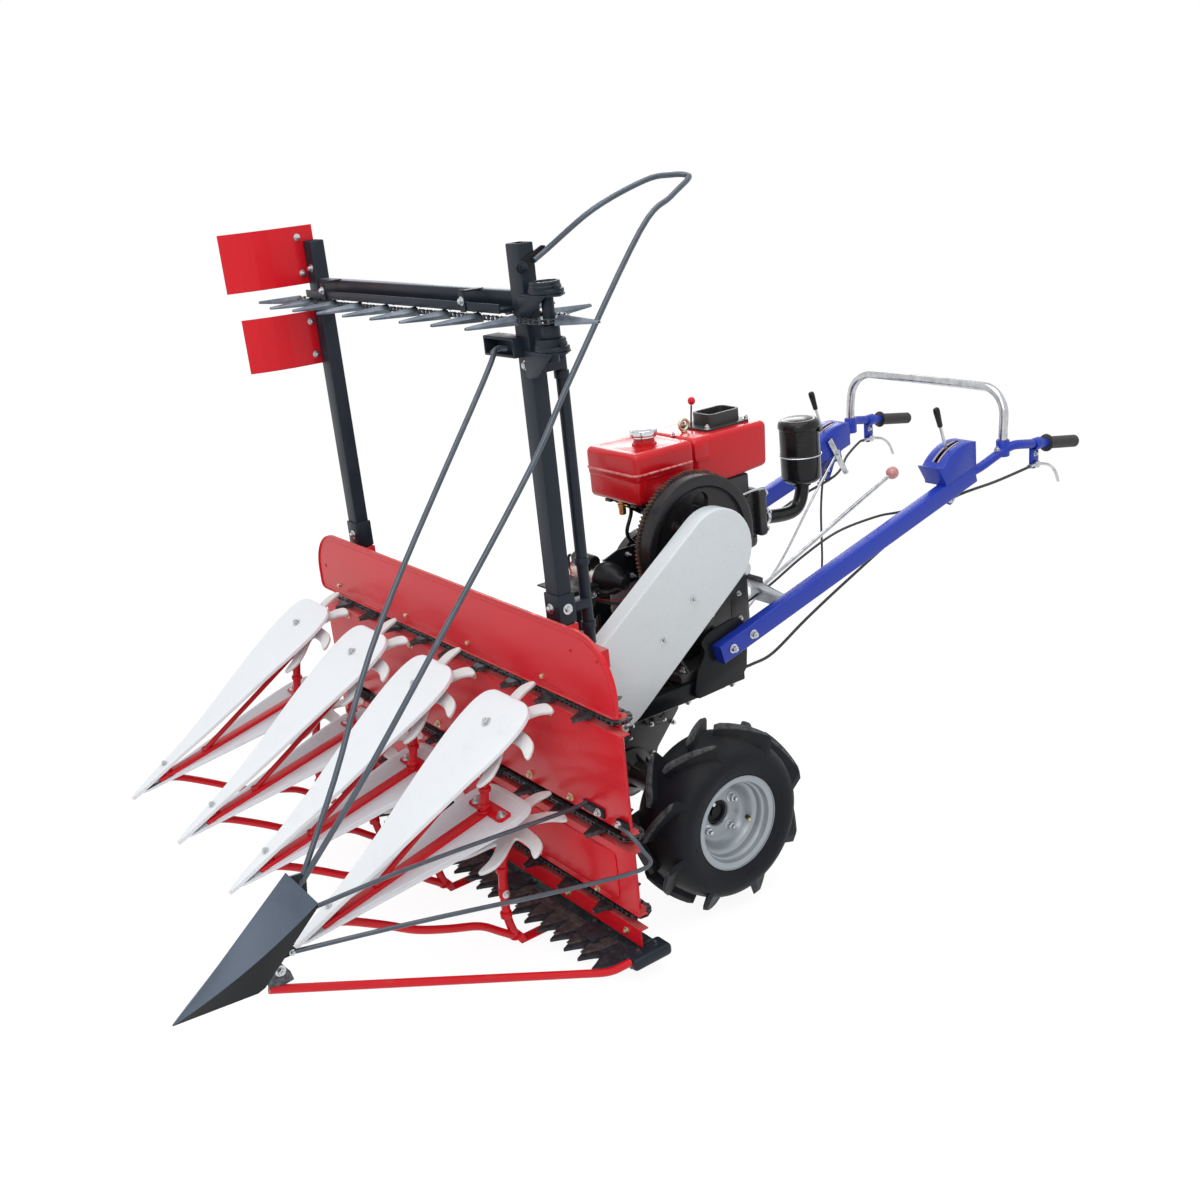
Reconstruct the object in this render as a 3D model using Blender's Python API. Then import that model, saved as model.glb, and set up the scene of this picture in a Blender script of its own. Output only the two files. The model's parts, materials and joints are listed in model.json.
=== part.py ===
"""Walk-behind reaper: a two-wheeled power unit that pushes a 1.2 m windrowing header.

Everything is written in the machine's own frame: origin on the axle, +X to the machine's left,
-Y to the front, +Z up. The whole machine stands nose-down, so one empty turns it about the axle.
"""
from math import acos, atan2, cos, pi, radians, sin, tan

import bmesh
import bpy
from mathutils import Matrix, Vector

# Fits
GAP = 0.0003
RUNNING_GAP = 0.0004

# Stance
NOSE_DOWN = radians(7)
AXLE_HEIGHT = 0.2165
UNIT_X = 0.14

# Wheels
HALF_TRACK = 0.400
TYRE_RADIUS = 0.2165
TREAD_RADIUS = 0.190
TYRE_HALF_WIDTH = 0.082
LUGS_PER_SIDE = 8
LUG_SWEEP = 0.50
RIM_SEAT_RADIUS = 0.099
RIM_FLANGE_RADIUS = 0.111
RIM_HALF_WIDTH = 0.068
RIM_WALL = 0.0035
AXLE_HOUSING_LENGTH = 0.20

# Frame rails
RAIL_OFFSET = 0.20
RAIL_WIDTH = 0.035
RAIL_BOTTOM = 0.190
RAIL_TOP = 0.235
RAIL_FRONT = -0.2337
RAIL_REAR = 0.270
TONGUE_REAR = 0.415

# Engine
CRANK_Y = 0.175
CRANK_Z = 0.561
FLYWHEEL_RADIUS = 0.166
FLYWHEEL_INNER_X = 0.305
FLYWHEEL_OUTER_X = 0.350
TANK_LOW = (0.055, 0.075, 0.652)
TANK_HIGH = (0.250, 0.255, 0.775)
HOPPER_REAR = 0.490
STARTER_Y = -0.012
STARTER_Z = 0.500
STARTER_RADIUS = 0.036
FILTER_X = 0.190
FILTER_Y = 0.652
FILTER_RADIUS = 0.052
FILTER_BOTTOM = 0.575
FILTER_TOP = 0.742

# Belt guard
GUARD_INNER_X = 0.385
GUARD_OUTER_X = 0.432
GUARD_TOP = (0.155, 0.560, 0.100)
GUARD_BOTTOM = (-0.165, 0.330, 0.105)

# Handles
HANDLE_OFFSET = 0.245
HANDLE_WIDTH = 0.032
HANDLE_HEIGHT = 0.048
HANDLE_START = (0.150, 0.290)
HANDLE_END = (1.090, 0.527)
GRIP_OFFSET = 0.300
GRIP_START = (1.325, 0.563)
GRIP_DROP = radians(9.6)
GRIP_LENGTH = 0.132
GRIP_RADIUS = 0.017
BAR_RADIUS = 0.0125
QUADRANT_INNER = 0.190
LEVER_PIVOT = (1.027, 0.545)
CLUTCH_PIVOT = (1.288, 0.512)
GEAR_PIVOT = (UNIT_X - 0.0169, 0.420, 0.2556)
ARCH_Y = 1.176
ARCH_FOOT = 0.600
ARCH_TOP = 0.735
ARCH_RADIUS = 0.012

# Header
HEADER_FAR = -0.605
HEADER_NEAR = 0.700
PANEL_FACE = -0.355
SHEET = 0.0025
TOP_PANEL_BOTTOM = 0.401
TOP_PANEL_TOP = 0.564
MIDDLE_PANEL = (0.146, 0.367)
LOWER_PANEL = (-0.041, 0.106)
BOTTOM_PANEL = (-0.112, -0.072)
FRAME_FRONT = -0.262
BEAM_DEPTH = 0.030
LUG_PITCH = 0.132
LUG_REACH = 0.031
CHAIN_FRONT = -0.352
CHAIN_BACK = -0.300
UPPER_CHAIN_Z = 0.384
MIDDLE_CHAIN_Z = 0.124
LOWER_CHAIN_Z = -0.0565
SHAFT_RADIUS = 0.007
SPROCKET_RADIUS = 0.0193

SKID_X = (-0.36, 0.455)

# Cutter bar
BAR_TOP = -0.1290
BAR_THICKNESS = 0.011
FINGER_PITCH = 0.050
FINGER_TIP = -0.478
KNIFE_THICKNESS = 0.003

# Rows
ROW_X = (-0.46, -0.15, 0.15, 0.45)
STAR_ARMS = 7
STAR_RADIUS = 0.138
STAR_THICKNESS = 0.004
STAR_BORE = 0.011
PIN_RADIUS = 0.0100
UPPER_SLOPE = radians(31.6)
LOWER_SLOPE = radians(13.6)
UPPER_STAR = (-0.490, 0.345)
LOWER_STAR = (-0.500, 0.125)
COVER_LIFT = 0.036
SPINE_REAR = (-0.545, 0.190)
SPINE_FRONT = (-0.930, 0.0970)

# Conveyor frame
POST_X = 0.45
POST_Y = -0.300
POST_WIDTH = 0.045
POST_DEPTH = 0.035
POST_TOP = 1.300
POST_FOOT = 0.4655
BEAM_TOP = 1.209
BEAM_BOTTOM = 1.178
FINGER_CHAIN_Z = 1.160
FINGER_REACH = 0.110
SHAFT_X = 0.525

# Outer divider
DIVIDER_X = 0.620
ROD_RADIUS = 0.0055
DIVIDER_TUBE_RADIUS = 0.0085


def clear_scene():
    """Start from an empty scene."""
    for item in list(bpy.data.objects):
        bpy.data.objects.remove(item, do_unlink=True)


def material(name, colour, roughness, metallic=0.0):
    """One plain Principled material for a sub-part."""
    made = bpy.data.materials.new(name)
    made.use_nodes = True
    shader = made.node_tree.nodes["Principled BSDF"]
    shader.inputs["Base Color"].default_value = (*colour, 1.0)
    shader.inputs["Roughness"].default_value = roughness
    shader.inputs["Metallic"].default_value = metallic
    return made


def empty(name, place, turn=(0.0, 0.0, 0.0), parent=None):
    """A bare frame that carries other objects."""
    made = bpy.data.objects.new(name, None)
    bpy.context.scene.collection.objects.link(made)
    made.location = place
    made.rotation_euler = turn
    made.parent = parent
    return made


def finish(bm, name):
    """Turn a closed bmesh into an object with its faces outwards."""
    bmesh.ops.recalc_face_normals(bm, faces=bm.faces[:])
    mesh = bpy.data.meshes.new(name)
    bm.to_mesh(mesh)
    bm.free()
    made = bpy.data.objects.new(name, mesh)
    bpy.context.scene.collection.objects.link(made)
    return made


def block(low, high, bevel=0.0, steps=1):
    """A box between two corners, with bevelled edges if asked."""
    low = Vector(low)
    high = Vector(high)
    bm = bmesh.new()
    size = high - low
    bmesh.ops.create_cube(bm, size=1.0,
                          matrix=Matrix.Translation((low + high) / 2) @ Matrix.Diagonal((*size, 1.0)))
    if bevel:
        bmesh.ops.bevel(bm, geom=bm.edges[:], offset=bevel, segments=steps, affect='EDGES', profile=0.5)
    return finish(bm, "block")


def plate(outline, low, high, axis="z", holes=()):
    """A flat outline, with holes if any, pushed out along one axis from low to high."""
    spots = {"x": lambda u, v, w: (w, u, v), "y": lambda u, v, w: (u, w, v), "z": lambda u, v, w: (u, v, w)}
    place = spots[axis]
    bm = bmesh.new()
    edges = []
    for loop in (outline, *holes):
        ring = [bm.verts.new(place(u, v, low)) for u, v in loop]
        edges += [bm.edges.new((ring[i - 1], ring[i])) for i in range(len(ring))]
    bmesh.ops.triangle_fill(bm, use_beauty=True, use_dissolve=False, edges=edges)
    grown = bmesh.ops.extrude_face_region(bm, geom=bm.faces[:])
    shift = Vector(place(0.0, 0.0, high - low))
    bmesh.ops.translate(bm, vec=shift,
                        verts=[v for v in grown["geom"] if isinstance(v, bmesh.types.BMVert)])
    return finish(bm, "plate")


def circle(centre, radius, sides, start=0.0):
    """Points round a circle."""
    turns = [start + 2 * pi * i / sides for i in range(sides)]
    return [(centre[0] + radius * cos(a), centre[1] + radius * sin(a)) for a in turns]


def grid_solid(rings, name="turned"):
    """Close a stack of equal rings into one body, with flat ends."""
    bm = bmesh.new()
    made = [[bm.verts.new(p) for p in ring] for ring in rings]
    sides = len(made[0])
    for one, two in zip(made, made[1:]):
        for i in range(sides):
            bm.faces.new((one[i - 1], one[i], two[i], two[i - 1]))
    bm.faces.new(made[0])
    bm.faces.new(made[-1])
    return finish(bm, name)


def turned(profile, centre=(0.0, 0.0), sides=24, axis="x"):
    """Turn a profile of (along, radius) pairs about an axis that runs along X, Y or Z."""
    rings = []
    for along, radius in profile:
        ring = []
        for u, v in circle(centre, radius, sides, pi / sides):
            ring.append({"x": (along, u, v), "y": (u, along, v), "z": (u, v, along)}[axis])
        rings.append(ring)
    return grid_solid(rings)


def turned_ring(profile, sides, axis_x=0.0):
    """Turn a closed profile of (along, radius) pairs about X into a ring."""
    bm = bmesh.new()
    rings = []
    for i in range(sides):
        angle = 2 * pi * i / sides
        rings.append([bm.verts.new((axis_x + a, r * cos(angle), r * sin(angle))) for a, r in profile])
    for i in range(sides):
        for j in range(len(profile)):
            bm.faces.new((rings[i - 1][j - 1], rings[i][j - 1], rings[i][j], rings[i - 1][j]))
    return bm


def bend(points, radius, steps=4):
    """Round the corners of a polyline with arcs of one radius."""
    points = [Vector(p) for p in points]
    path = [points[0]]
    for before, corner, after in zip(points, points[1:], points[2:]):
        one = (before - corner).normalized()
        two = (after - corner).normalized()
        half = one.angle(two) / 2
        back = min(radius / tan(half), 0.45 * min((before - corner).length, (after - corner).length))
        real = back * tan(half)
        centre = corner + (one + two).normalized() * (real / sin(half))
        start = corner + one * back - centre
        stop = corner + two * back - centre
        sweep = start.angle(stop)
        for i in range(steps + 1):
            share = i / steps
            mix = start * sin((1 - share) * sweep) + stop * sin(share * sweep)
            path.append(centre + mix / sin(sweep))
    path.append(points[-1])
    return path


def flow(points, count):
    """Points evenly along a smooth curve through a few chosen ones."""
    points = [Vector(p) for p in points]
    ends = [2 * points[0] - points[1], *points, 2 * points[-1] - points[-2]]
    path = []
    spans = len(points) - 1
    for i in range(count + 1):
        place = min(i * spans / count, spans - 1e-9)
        k = int(place)
        t = place - k
        a, b, c, d = ends[k:k + 4]
        path.append(0.5 * (2 * b + (c - a) * t + (2 * a - 5 * b + 4 * c - d) * t * t
                           + (3 * b - a - 3 * c + d) * t * t * t))
    return path


def tube(path, radius, sides=8):
    """A round bar along a path, with flat ends and mitred corners."""
    path = [Vector(p) for p in path]
    steps = [(b - a).normalized() for a, b in zip(path, path[1:])]
    side = steps[0].orthogonal().normalized()
    rings = []
    for i, spot in enumerate(path):
        before = steps[max(i - 1, 0)]
        after = steps[min(i, len(steps) - 1)]
        along = (before + after).normalized()
        side = (side - along * side.dot(along)).normalized()
        other = along.cross(side)
        lean = after - before
        grow = 1 / max(along.dot(after), 0.5) - 1
        out = lean.normalized() if lean.length > 1e-6 else Vector()
        ring = []
        for k in range(sides):
            angle = 2 * pi * (k + 0.5) / sides
            arm = (side * cos(angle) + other * sin(angle)) * radius
            ring.append(spot + arm + out * arm.dot(out) * grow)
        rings.append(ring)
    return grid_solid(rings)


def combine(first, others, how):
    """Join or cut with exact Booleans, one after the other."""
    for other in others:
        change = first.modifiers.new("cut", 'BOOLEAN')
        change.operation = how
        change.solver = 'EXACT'
        change.object = other
        bpy.context.view_layer.update()
        graph = bpy.context.evaluated_depsgraph_get()
        mesh = bpy.data.meshes.new_from_object(first.evaluated_get(graph))
        first.modifiers.clear()
        old = first.data
        first.data = mesh
        bpy.data.meshes.remove(old)
        bpy.data.objects.remove(other, do_unlink=True)
    return first


def fuse(first, *others):
    """One body from pieces that are welded together."""
    return combine(first, others, 'UNION')


def cut(first, *others):
    """A body less the cutters."""
    return combine(first, others, 'DIFFERENCE')


def move(made, place=(0.0, 0.0, 0.0), turn=None):
    """Move a loose piece's mesh before it is joined to others."""
    matrix = Matrix.Translation(place)
    if turn:
        matrix = matrix @ turn
    made.data.transform(matrix)
    return made


def name_part(made, name, paint, parent, place=(0.0, 0.0, 0.0), turn=(0.0, 0.0, 0.0), smooth=35):
    """Give a finished piece its name, its paint and its place under its carrier."""
    made.name = name
    made.data.name = name
    made.data.materials.clear()
    own_paint = paint.copy()
    own_paint.name = name
    made.data.materials.append(own_paint)
    made.parent = parent
    made.location = place
    made.rotation_euler = turn
    made.data.shade_smooth()
    made.data.set_sharp_from_angle(angle=radians(smooth))
    return made


def slope_frame(pivot, slope):
    """Matrix from a sloping sheet's own axes (forward, across, up) to the machine's YZ plane."""
    forward = Vector((0.0, -cos(slope), -sin(slope)))
    across = Vector((1.0, 0.0, 0.0))
    up = across.cross(forward) * -1
    if up.z < 0:
        up = -up
    turn = Matrix((forward, across, up)).transposed().to_4x4()
    return Matrix.Translation((0.0, *pivot)) @ turn


# Wheels

def make_tyre():
    """Agricultural tyre: a turned carcass whose tread faces are drawn out into slanted lugs."""
    half = [(RIM_HALF_WIDTH, RIM_SEAT_RADIUS + GAP), (RIM_HALF_WIDTH, 0.1125), (TYRE_HALF_WIDTH, 0.143),
            (0.068, 0.176)]
    profile = [(-w, r) for w, r in half] + [(0.0, TREAD_RADIUS)] + [(w, r) for w, r in reversed(half)]
    parts = 6
    sides = parts * LUGS_PER_SIDE
    bm = turned_ring(profile, sides)
    bm.faces.ensure_lookup_table()
    lugs = {}
    for index, face in enumerate(bm.faces):
        middle = face.calc_center_median()
        radius = (middle.y ** 2 + middle.z ** 2) ** 0.5
        slot = index // len(profile)
        wanted = 0 if middle.x > 0 else parts // 2
        if radius > 0.150 and slot % parts == wanted:
            lugs.setdefault(slot, []).append(face)
    shoulder = half[-1][1]
    for faces in lugs.values():
        grown = bmesh.ops.extrude_face_region(bm, geom=faces)
        raised = [v for v in grown["geom"] if isinstance(v, bmesh.types.BMVert)]
        bmesh.ops.delete(bm, geom=faces, context='FACES')
        spot = sum((v.co for v in raised), Vector()) / len(raised)
        turn = _angle(spot)
        for vert in raised:
            radius = (vert.co.y ** 2 + vert.co.z ** 2) ** 0.5
            if radius < shoulder - 0.01:
                continue
            reach = TYRE_RADIUS if radius > shoulder + 0.005 else TYRE_RADIUS - 0.008
            own = _angle(vert.co)
            off = (own - turn + pi) % (2 * pi) - pi
            aim = turn + 0.55 * off
            vert.co.y = reach * cos(aim)
            vert.co.z = reach * sin(aim)
    for vert in bm.verts:
        angle = -LUG_SWEEP * min(abs(vert.co.x) / 0.068, 1.0)
        y = vert.co.y
        z = vert.co.z
        vert.co.y = y * cos(angle) - z * sin(angle)
        vert.co.z = y * sin(angle) + z * cos(angle)
    return finish(bm, "tyre")


def _angle(spot):
    """Angle of a point about the X axis."""
    return atan2(spot.z, spot.y)


def make_rim():
    """Pressed wheel: a deep dished disc with its centre hole, and the stepped barrel, outer face at +X."""
    seat = RIM_SEAT_RADIUS
    inner = seat - RIM_WALL
    edge = RIM_HALF_WIDTH + GAP
    lip = edge + 0.004
    hub_end = -(HALF_TRACK - AXLE_HOUSING_LENGTH - GAP)
    profile = [(-0.030, 0.020), (0.002, 0.028), (0.006, 0.034), (0.004, 0.058), (0.010, 0.066),
               (0.030, 0.078),
               (0.038, inner - 0.002), (lip, inner), (lip, RIM_FLANGE_RADIUS), (edge, RIM_FLANGE_RADIUS),
               (edge, seat), (-edge, seat), (-edge, RIM_FLANGE_RADIUS), (-lip, RIM_FLANGE_RADIUS),
               (-lip, inner),
               (-0.004, 0.060), (-0.010, 0.034), (-0.040, 0.032), (hub_end, 0.026)]
    return turned(profile, sides=24)


def build_wheels(machine, rubber, silver):
    """Two wheels, each a tyre and a rim on the same axle line."""
    for side, name in ((1, "left"), (-1, "right")):
        carrier = empty("wheel_" + name, (UNIT_X + side * HALF_TRACK, 0.0, 0.0), parent=machine)
        name_part(make_tyre(), "tyre_" + name, rubber, carrier, smooth=30)
        name_part(make_rim(), "rim_" + name, silver, carrier, turn=(0.0, 0.0, 0.0 if side > 0 else pi))


# Power unit

def build_main_frame(machine, black):
    """Two box rails on the gearbox, with cross members, handle lugs and the gear lever's post."""
    pieces = []
    for side in (-1, 1):
        x = UNIT_X + side * RAIL_OFFSET
        low = (x - RAIL_WIDTH / 2, RAIL_FRONT, RAIL_BOTTOM)
        high = (x + RAIL_WIDTH / 2, RAIL_REAR, RAIL_TOP)
        pieces.append(block(low, high, 0.004))
        outer = x + side * (RAIL_WIDTH / 2 - 0.002)
        lug = [(0.10, 0.195), (0.17, 0.195), (0.265, 0.215), (0.275, 0.335), (0.245, 0.365), (0.155, 0.352),
               (0.115, 0.270)]
        edge = UNIT_X + side * (HANDLE_OFFSET - HANDLE_WIDTH / 2 - GAP)
        pieces.append(plate(lug, min(outer, edge), max(outer, edge), "x"))
    for y in (RAIL_FRONT + 0.025, 0.095, RAIL_REAR - 0.020):
        low = (UNIT_X - RAIL_OFFSET, y - 0.018, RAIL_BOTTOM)
        pieces.append(block(low, (UNIT_X + RAIL_OFFSET, y + 0.018, RAIL_TOP - 0.006)))
    pieces.append(block((UNIT_X - 0.030, RAIL_REAR - 0.030, 0.206), (UNIT_X + 0.030, TONGUE_REAR, 0.226)))
    post = [(0.372, 0.22), (0.410, 0.22), (0.432, 0.262), (0.414, 0.272)]
    pieces.append(plate(post, UNIT_X - 0.030, UNIT_X - 0.018, "x"))
    return name_part(fuse(*pieces), "main_frame", black, machine)


def build_gearbox(machine, black):
    """Cast walking gearbox round the axle: a waisted housing, bearing caps and the axle housings."""
    outline = [(-0.075, 0.02), (-0.060, 0.110), (-0.020, RAIL_BOTTOM - GAP), (0.150, RAIL_BOTTOM - GAP),
               (0.165, 0.110), (0.090, 0.03)]
    outline += [(0.072 * cos(a), 0.072 * sin(a)) for a in [radians(0 - 30 * i) for i in range(7)]]
    body = plate(outline, UNIT_X - 0.085, UNIT_X + 0.085, "x")
    reach = AXLE_HOUSING_LENGTH
    profile = [(UNIT_X - reach, 0.031), (UNIT_X - reach + 0.012, 0.036), (UNIT_X - 0.10, 0.040),
               (UNIT_X - 0.08, 0.060), (UNIT_X + 0.08, 0.060), (UNIT_X + 0.10, 0.040),
               (UNIT_X + reach - 0.012, 0.036), (UNIT_X + reach, 0.031)]
    axle = turned(profile, sides=14)
    caps = []
    for y, z, radius, out in ((0.080, 0.135, 0.040, 0.115), (-0.015, 0.110, 0.030, 0.105)):
        caps.append(turned([(UNIT_X - out, radius - 0.006), (UNIT_X - out + 0.006, radius),
                            (UNIT_X + out - 0.006, radius), (UNIT_X + out, radius - 0.006)], (y, z), 14))
    return name_part(fuse(body, axle, *caps), "gearbox", black, machine)


def build_engine_block(machine, black):
    """Single-cylinder block with its crank boss, side cover, lying cylinder and head."""
    foot = RAIL_TOP + GAP
    case = block((0.075, 0.085, foot + 0.02), (0.285, 0.370, 0.600), 0.022, 2)
    reach = RAIL_OFFSET + 0.012
    sole = block((UNIT_X - reach, 0.075, foot), (UNIT_X + reach, RAIL_REAR - 0.004, foot + 0.026), 0.004)
    barrel = block((0.085, 0.350, 0.420), (0.250, 0.500, 0.640), 0.012)
    head = block((0.070, 0.495, 0.435), (0.262, 0.545, 0.630), 0.010)
    deck = block((0.092, 0.104, 0.590), (0.236, 0.470, TANK_LOW[2] - GAP), 0.006)
    boss = turned([(0.272, 0.085), (0.292, 0.078), (FLYWHEEL_INNER_X - RUNNING_GAP, 0.050)],
                  (CRANK_Y + 0.01, CRANK_Z), 18)
    cover = turned([(0.052, 0.100), (0.062, 0.112), (0.090, 0.112)], (CRANK_Y + 0.045, 0.430), 18)
    pipe = tube([(0.190, 0.530, 0.515), (0.190, 0.590, 0.515)], 0.024, 10)
    return name_part(fuse(case, sole, barrel, head, deck, boss, cover, pipe), "engine_block", black,
                     machine)


def build_fuel_tank(machine, red):
    """Pressed tank: two half shells that meet at a rolled seam, with a filler neck."""
    x0, y0, z0 = TANK_LOW
    x1, y1, z1 = TANK_HIGH
    shell = block((x0, y0, z0), (x1, y1, z1), 0.012, 2)
    seam = block((x0 - 0.003, y0 - 0.003, 0.722), (x1 + 0.003, y1 - 0.002, 0.729), 0.002)
    neck = turned([(z1 - 0.01, 0.024), (z1 + 0.016, 0.024)], (0.165, 0.172), 16, "z")
    wall = 0.003
    space = block((x0 + wall, y0 + wall, z0 + wall), (x1 - wall, y1 - wall, z1 - wall), 0.010)
    bore = turned([(z1 - 0.02, 0.019), (z1 + 0.03, 0.019)], (0.165, 0.172), 12, "z")
    return name_part(cut(fuse(shell, seam, neck), space, bore), "fuel_tank", red, machine)


def build_water_hopper(machine, red):
    """Cooling hopper behind the tank, with its steam collar and lifting eye."""
    x0 = TANK_LOW[0]
    x1 = TANK_HIGH[0]
    top = TANK_HIGH[2]
    front = TANK_HIGH[1] + GAP
    side = [(front, TANK_LOW[2] + 0.002), (0.375, TANK_LOW[2] + 0.002), (HOPPER_REAR, 0.662),
            (HOPPER_REAR + 0.004, top),
            (front, top)]
    shell = plate(side, x0 + 0.004, x1 - 0.004, "x")
    flange = block((0.105, 0.325, top - 0.004), (0.215, 0.470, top + 0.006), 0.003)
    collar = block((0.122, 0.352, top), (0.198, 0.455, top + 0.034), 0.004)
    eye = turned([(0.155, 0.017), (0.165, 0.017)], (0.300, top + 0.016), 14)
    rod = tube([(0.150, 0.330, top), (0.150, 0.337, top + 0.062)], 0.004)
    ball = turned([(top + 0.058, 0.005), (top + 0.064, 0.0095), (top + 0.072, 0.0095),
                   (top + 0.078, 0.005)],
                  (0.150, 0.338), 10, "z")
    wall = 0.004
    body = fuse(shell, flange, collar, eye, rod, ball)
    space = block((x0 + 0.004 + wall, front + wall, TANK_LOW[2] + 0.016),
                  (x1 - 0.004 - wall, HOPPER_REAR - 0.012, top - wall))
    mouth = block((0.130, 0.360, top - 0.020), (0.190, 0.447, top + 0.05))
    return name_part(cut(body, space, mouth), "water_hopper", red, machine)


def build_fuel_cap(machine, chrome):
    """Faceted screw cap on the filler neck."""
    cap = turned([(0.0, 0.030), (0.010, 0.033), (0.018, 0.033), (0.024, 0.026)], sides=8, axis="z")
    return name_part(cap, "fuel_cap", chrome, machine, (0.165, 0.172, TANK_HIGH[2] + 0.016 + GAP),
                     smooth=20)


def build_air_cleaner(machine, black):
    """Oil-bath air cleaner with its clamp bead and the bent intake pipe."""
    spot = (FILTER_X, FILTER_Y)
    r = FILTER_RADIUS
    can = turned([(FILTER_BOTTOM, r - 0.010), (FILTER_BOTTOM + 0.008, r), (0.640, r), (0.644, r + 0.004),
                  (0.650, r + 0.004), (0.654, r), (FILTER_TOP - 0.022, r), (FILTER_TOP - 0.018, r + 0.003),
                  (FILTER_TOP - 0.006, r), (FILTER_TOP, r - 0.012)], spot, 18, "z")
    start = (FILTER_X, FILTER_Y, FILTER_BOTTOM + 0.004)
    pipe = tube(bend([start, (FILTER_X, FILTER_Y, 0.515), (FILTER_X, 0.590 + GAP, 0.515)], 0.03), 0.020, 8)
    return name_part(fuse(can, pipe), "air_cleaner", black, machine)


def build_starter(machine, silver):
    """Electric starter: motor, nose beside the ring gear, its solenoid and the foot on the block."""
    spot = (STARTER_Y, STARTER_Z)
    r = STARTER_RADIUS
    body = turned([(0.110, r - 0.006), (0.117, r), (0.215, r), (0.215, r + 0.005), (0.240, r + 0.005),
                   (0.243, r - 0.006), (0.276, r - 0.014), (0.290, r - 0.016)], spot, 16)
    arm = block((0.140, STARTER_Y, STARTER_Z - 0.030), (0.225, 0.085 - GAP, STARTER_Z + 0.025), 0.003)
    coil = turned([(0.130, 0.017), (0.205, 0.017)], (STARTER_Y - 0.020, STARTER_Z + 0.040), 10)
    return name_part(fuse(body, arm, coil), "starter_motor", silver, machine)


def build_flywheel(machine, black):
    """Flywheel with a dished web, a stepped ring gear and the belt pulley in front of it."""
    inner = FLYWHEEL_INNER_X
    outer = FLYWHEEL_OUTER_X
    r = FLYWHEEL_RADIUS
    profile = [(inner, 0.048), (inner, r - 0.003), (inner + 0.002, r), (inner + 0.011, r),
               (inner + 0.012, r - 0.006),
               (outer - 0.004, r - 0.006), (outer, r - 0.010), (outer, r - 0.032),
               (outer - 0.014, r - 0.042),
               (outer - 0.014, 0.056), (outer + 0.003, 0.046)]
    wheel = turned(profile, sides=32)
    pulley = turned([(outer, 0.044), (outer + 0.002, 0.044), (outer + 0.003, 0.062), (outer + 0.013, 0.052),
                     (outer + 0.023, 0.062), (outer + 0.030, 0.062), (outer + 0.030, 0.020),
                     (outer + 0.052, 0.020)], sides=16)
    return name_part(fuse(wheel, pulley), "flywheel", black, machine, (0.0, CRANK_Y, CRANK_Z))


def stadium(top, bottom, steps=8):
    """Outline round two circles of (y, z, radius), joined by their outer tangents."""
    ya, za, ra = top
    yb, zb, rb = bottom
    line = Vector((ya - yb, za - zb))
    base = Vector((1.0, 0.0)).angle_signed(Vector((line.x, -line.y)))
    open_angle = acos(max(-1.0, min(1.0, (rb - ra) / line.length)))
    upper = [base - open_angle + 2 * open_angle * i / steps for i in range(steps + 1)]
    lower = [base + open_angle + (2 * pi - 2 * open_angle) * i / steps for i in range(steps + 1)]
    outline = [(ya + ra * cos(a), za + ra * sin(a)) for a in upper]
    return outline + [(yb + rb * cos(a), zb + rb * sin(a)) for a in lower]


def build_belt_guard(machine, white):
    """Pressed white guard over both pulleys: a shallow pan that is open on the engine side."""
    pan = plate(stadium(GUARD_TOP, GUARD_BOTTOM), GUARD_INNER_X, GUARD_OUTER_X, "x")
    wall = 0.003
    top = (*GUARD_TOP[:2], GUARD_TOP[2] - wall)
    bottom = (*GUARD_BOTTOM[:2], GUARD_BOTTOM[2] - wall)
    hollow = plate(stadium(top, bottom), GUARD_INNER_X - 0.01, GUARD_OUTER_X - wall, "x")
    pan = cut(pan, hollow)
    rail_side = UNIT_X + RAIL_OFFSET + RAIL_WIDTH / 2
    strut = tube([(rail_side + GAP, -0.150, 0.2262), (GUARD_OUTER_X - 0.001, -0.150, 0.2262)], 0.0085)
    return name_part(fuse(pan, strut), "belt_guard", white, machine)


def build_rear_cover(machine, zinc):
    """Galvanised sheet behind the engine, flanged on the block and bent down over the gear linkage."""
    face = 0.370 + GAP
    thin = 0.0025
    bent = [(face, 0.418), (face, 0.402), (0.468, 0.330), (0.468, 0.262), (0.468 + thin, 0.262),
            (0.468 + thin, 0.3315), (face + thin, 0.4036), (face + thin, 0.418)]
    return name_part(plate(bent, 0.172, 0.330, "x"), "rear_cover", zinc, machine)


# Handles

def handle_line(y):
    """Height of a handle channel's centre line at a distance behind the axle."""
    (y0, z0), (y1, z1) = HANDLE_START, HANDLE_END
    return z0 + (y - y0) * (z1 - z0) / (y1 - y0)


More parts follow.
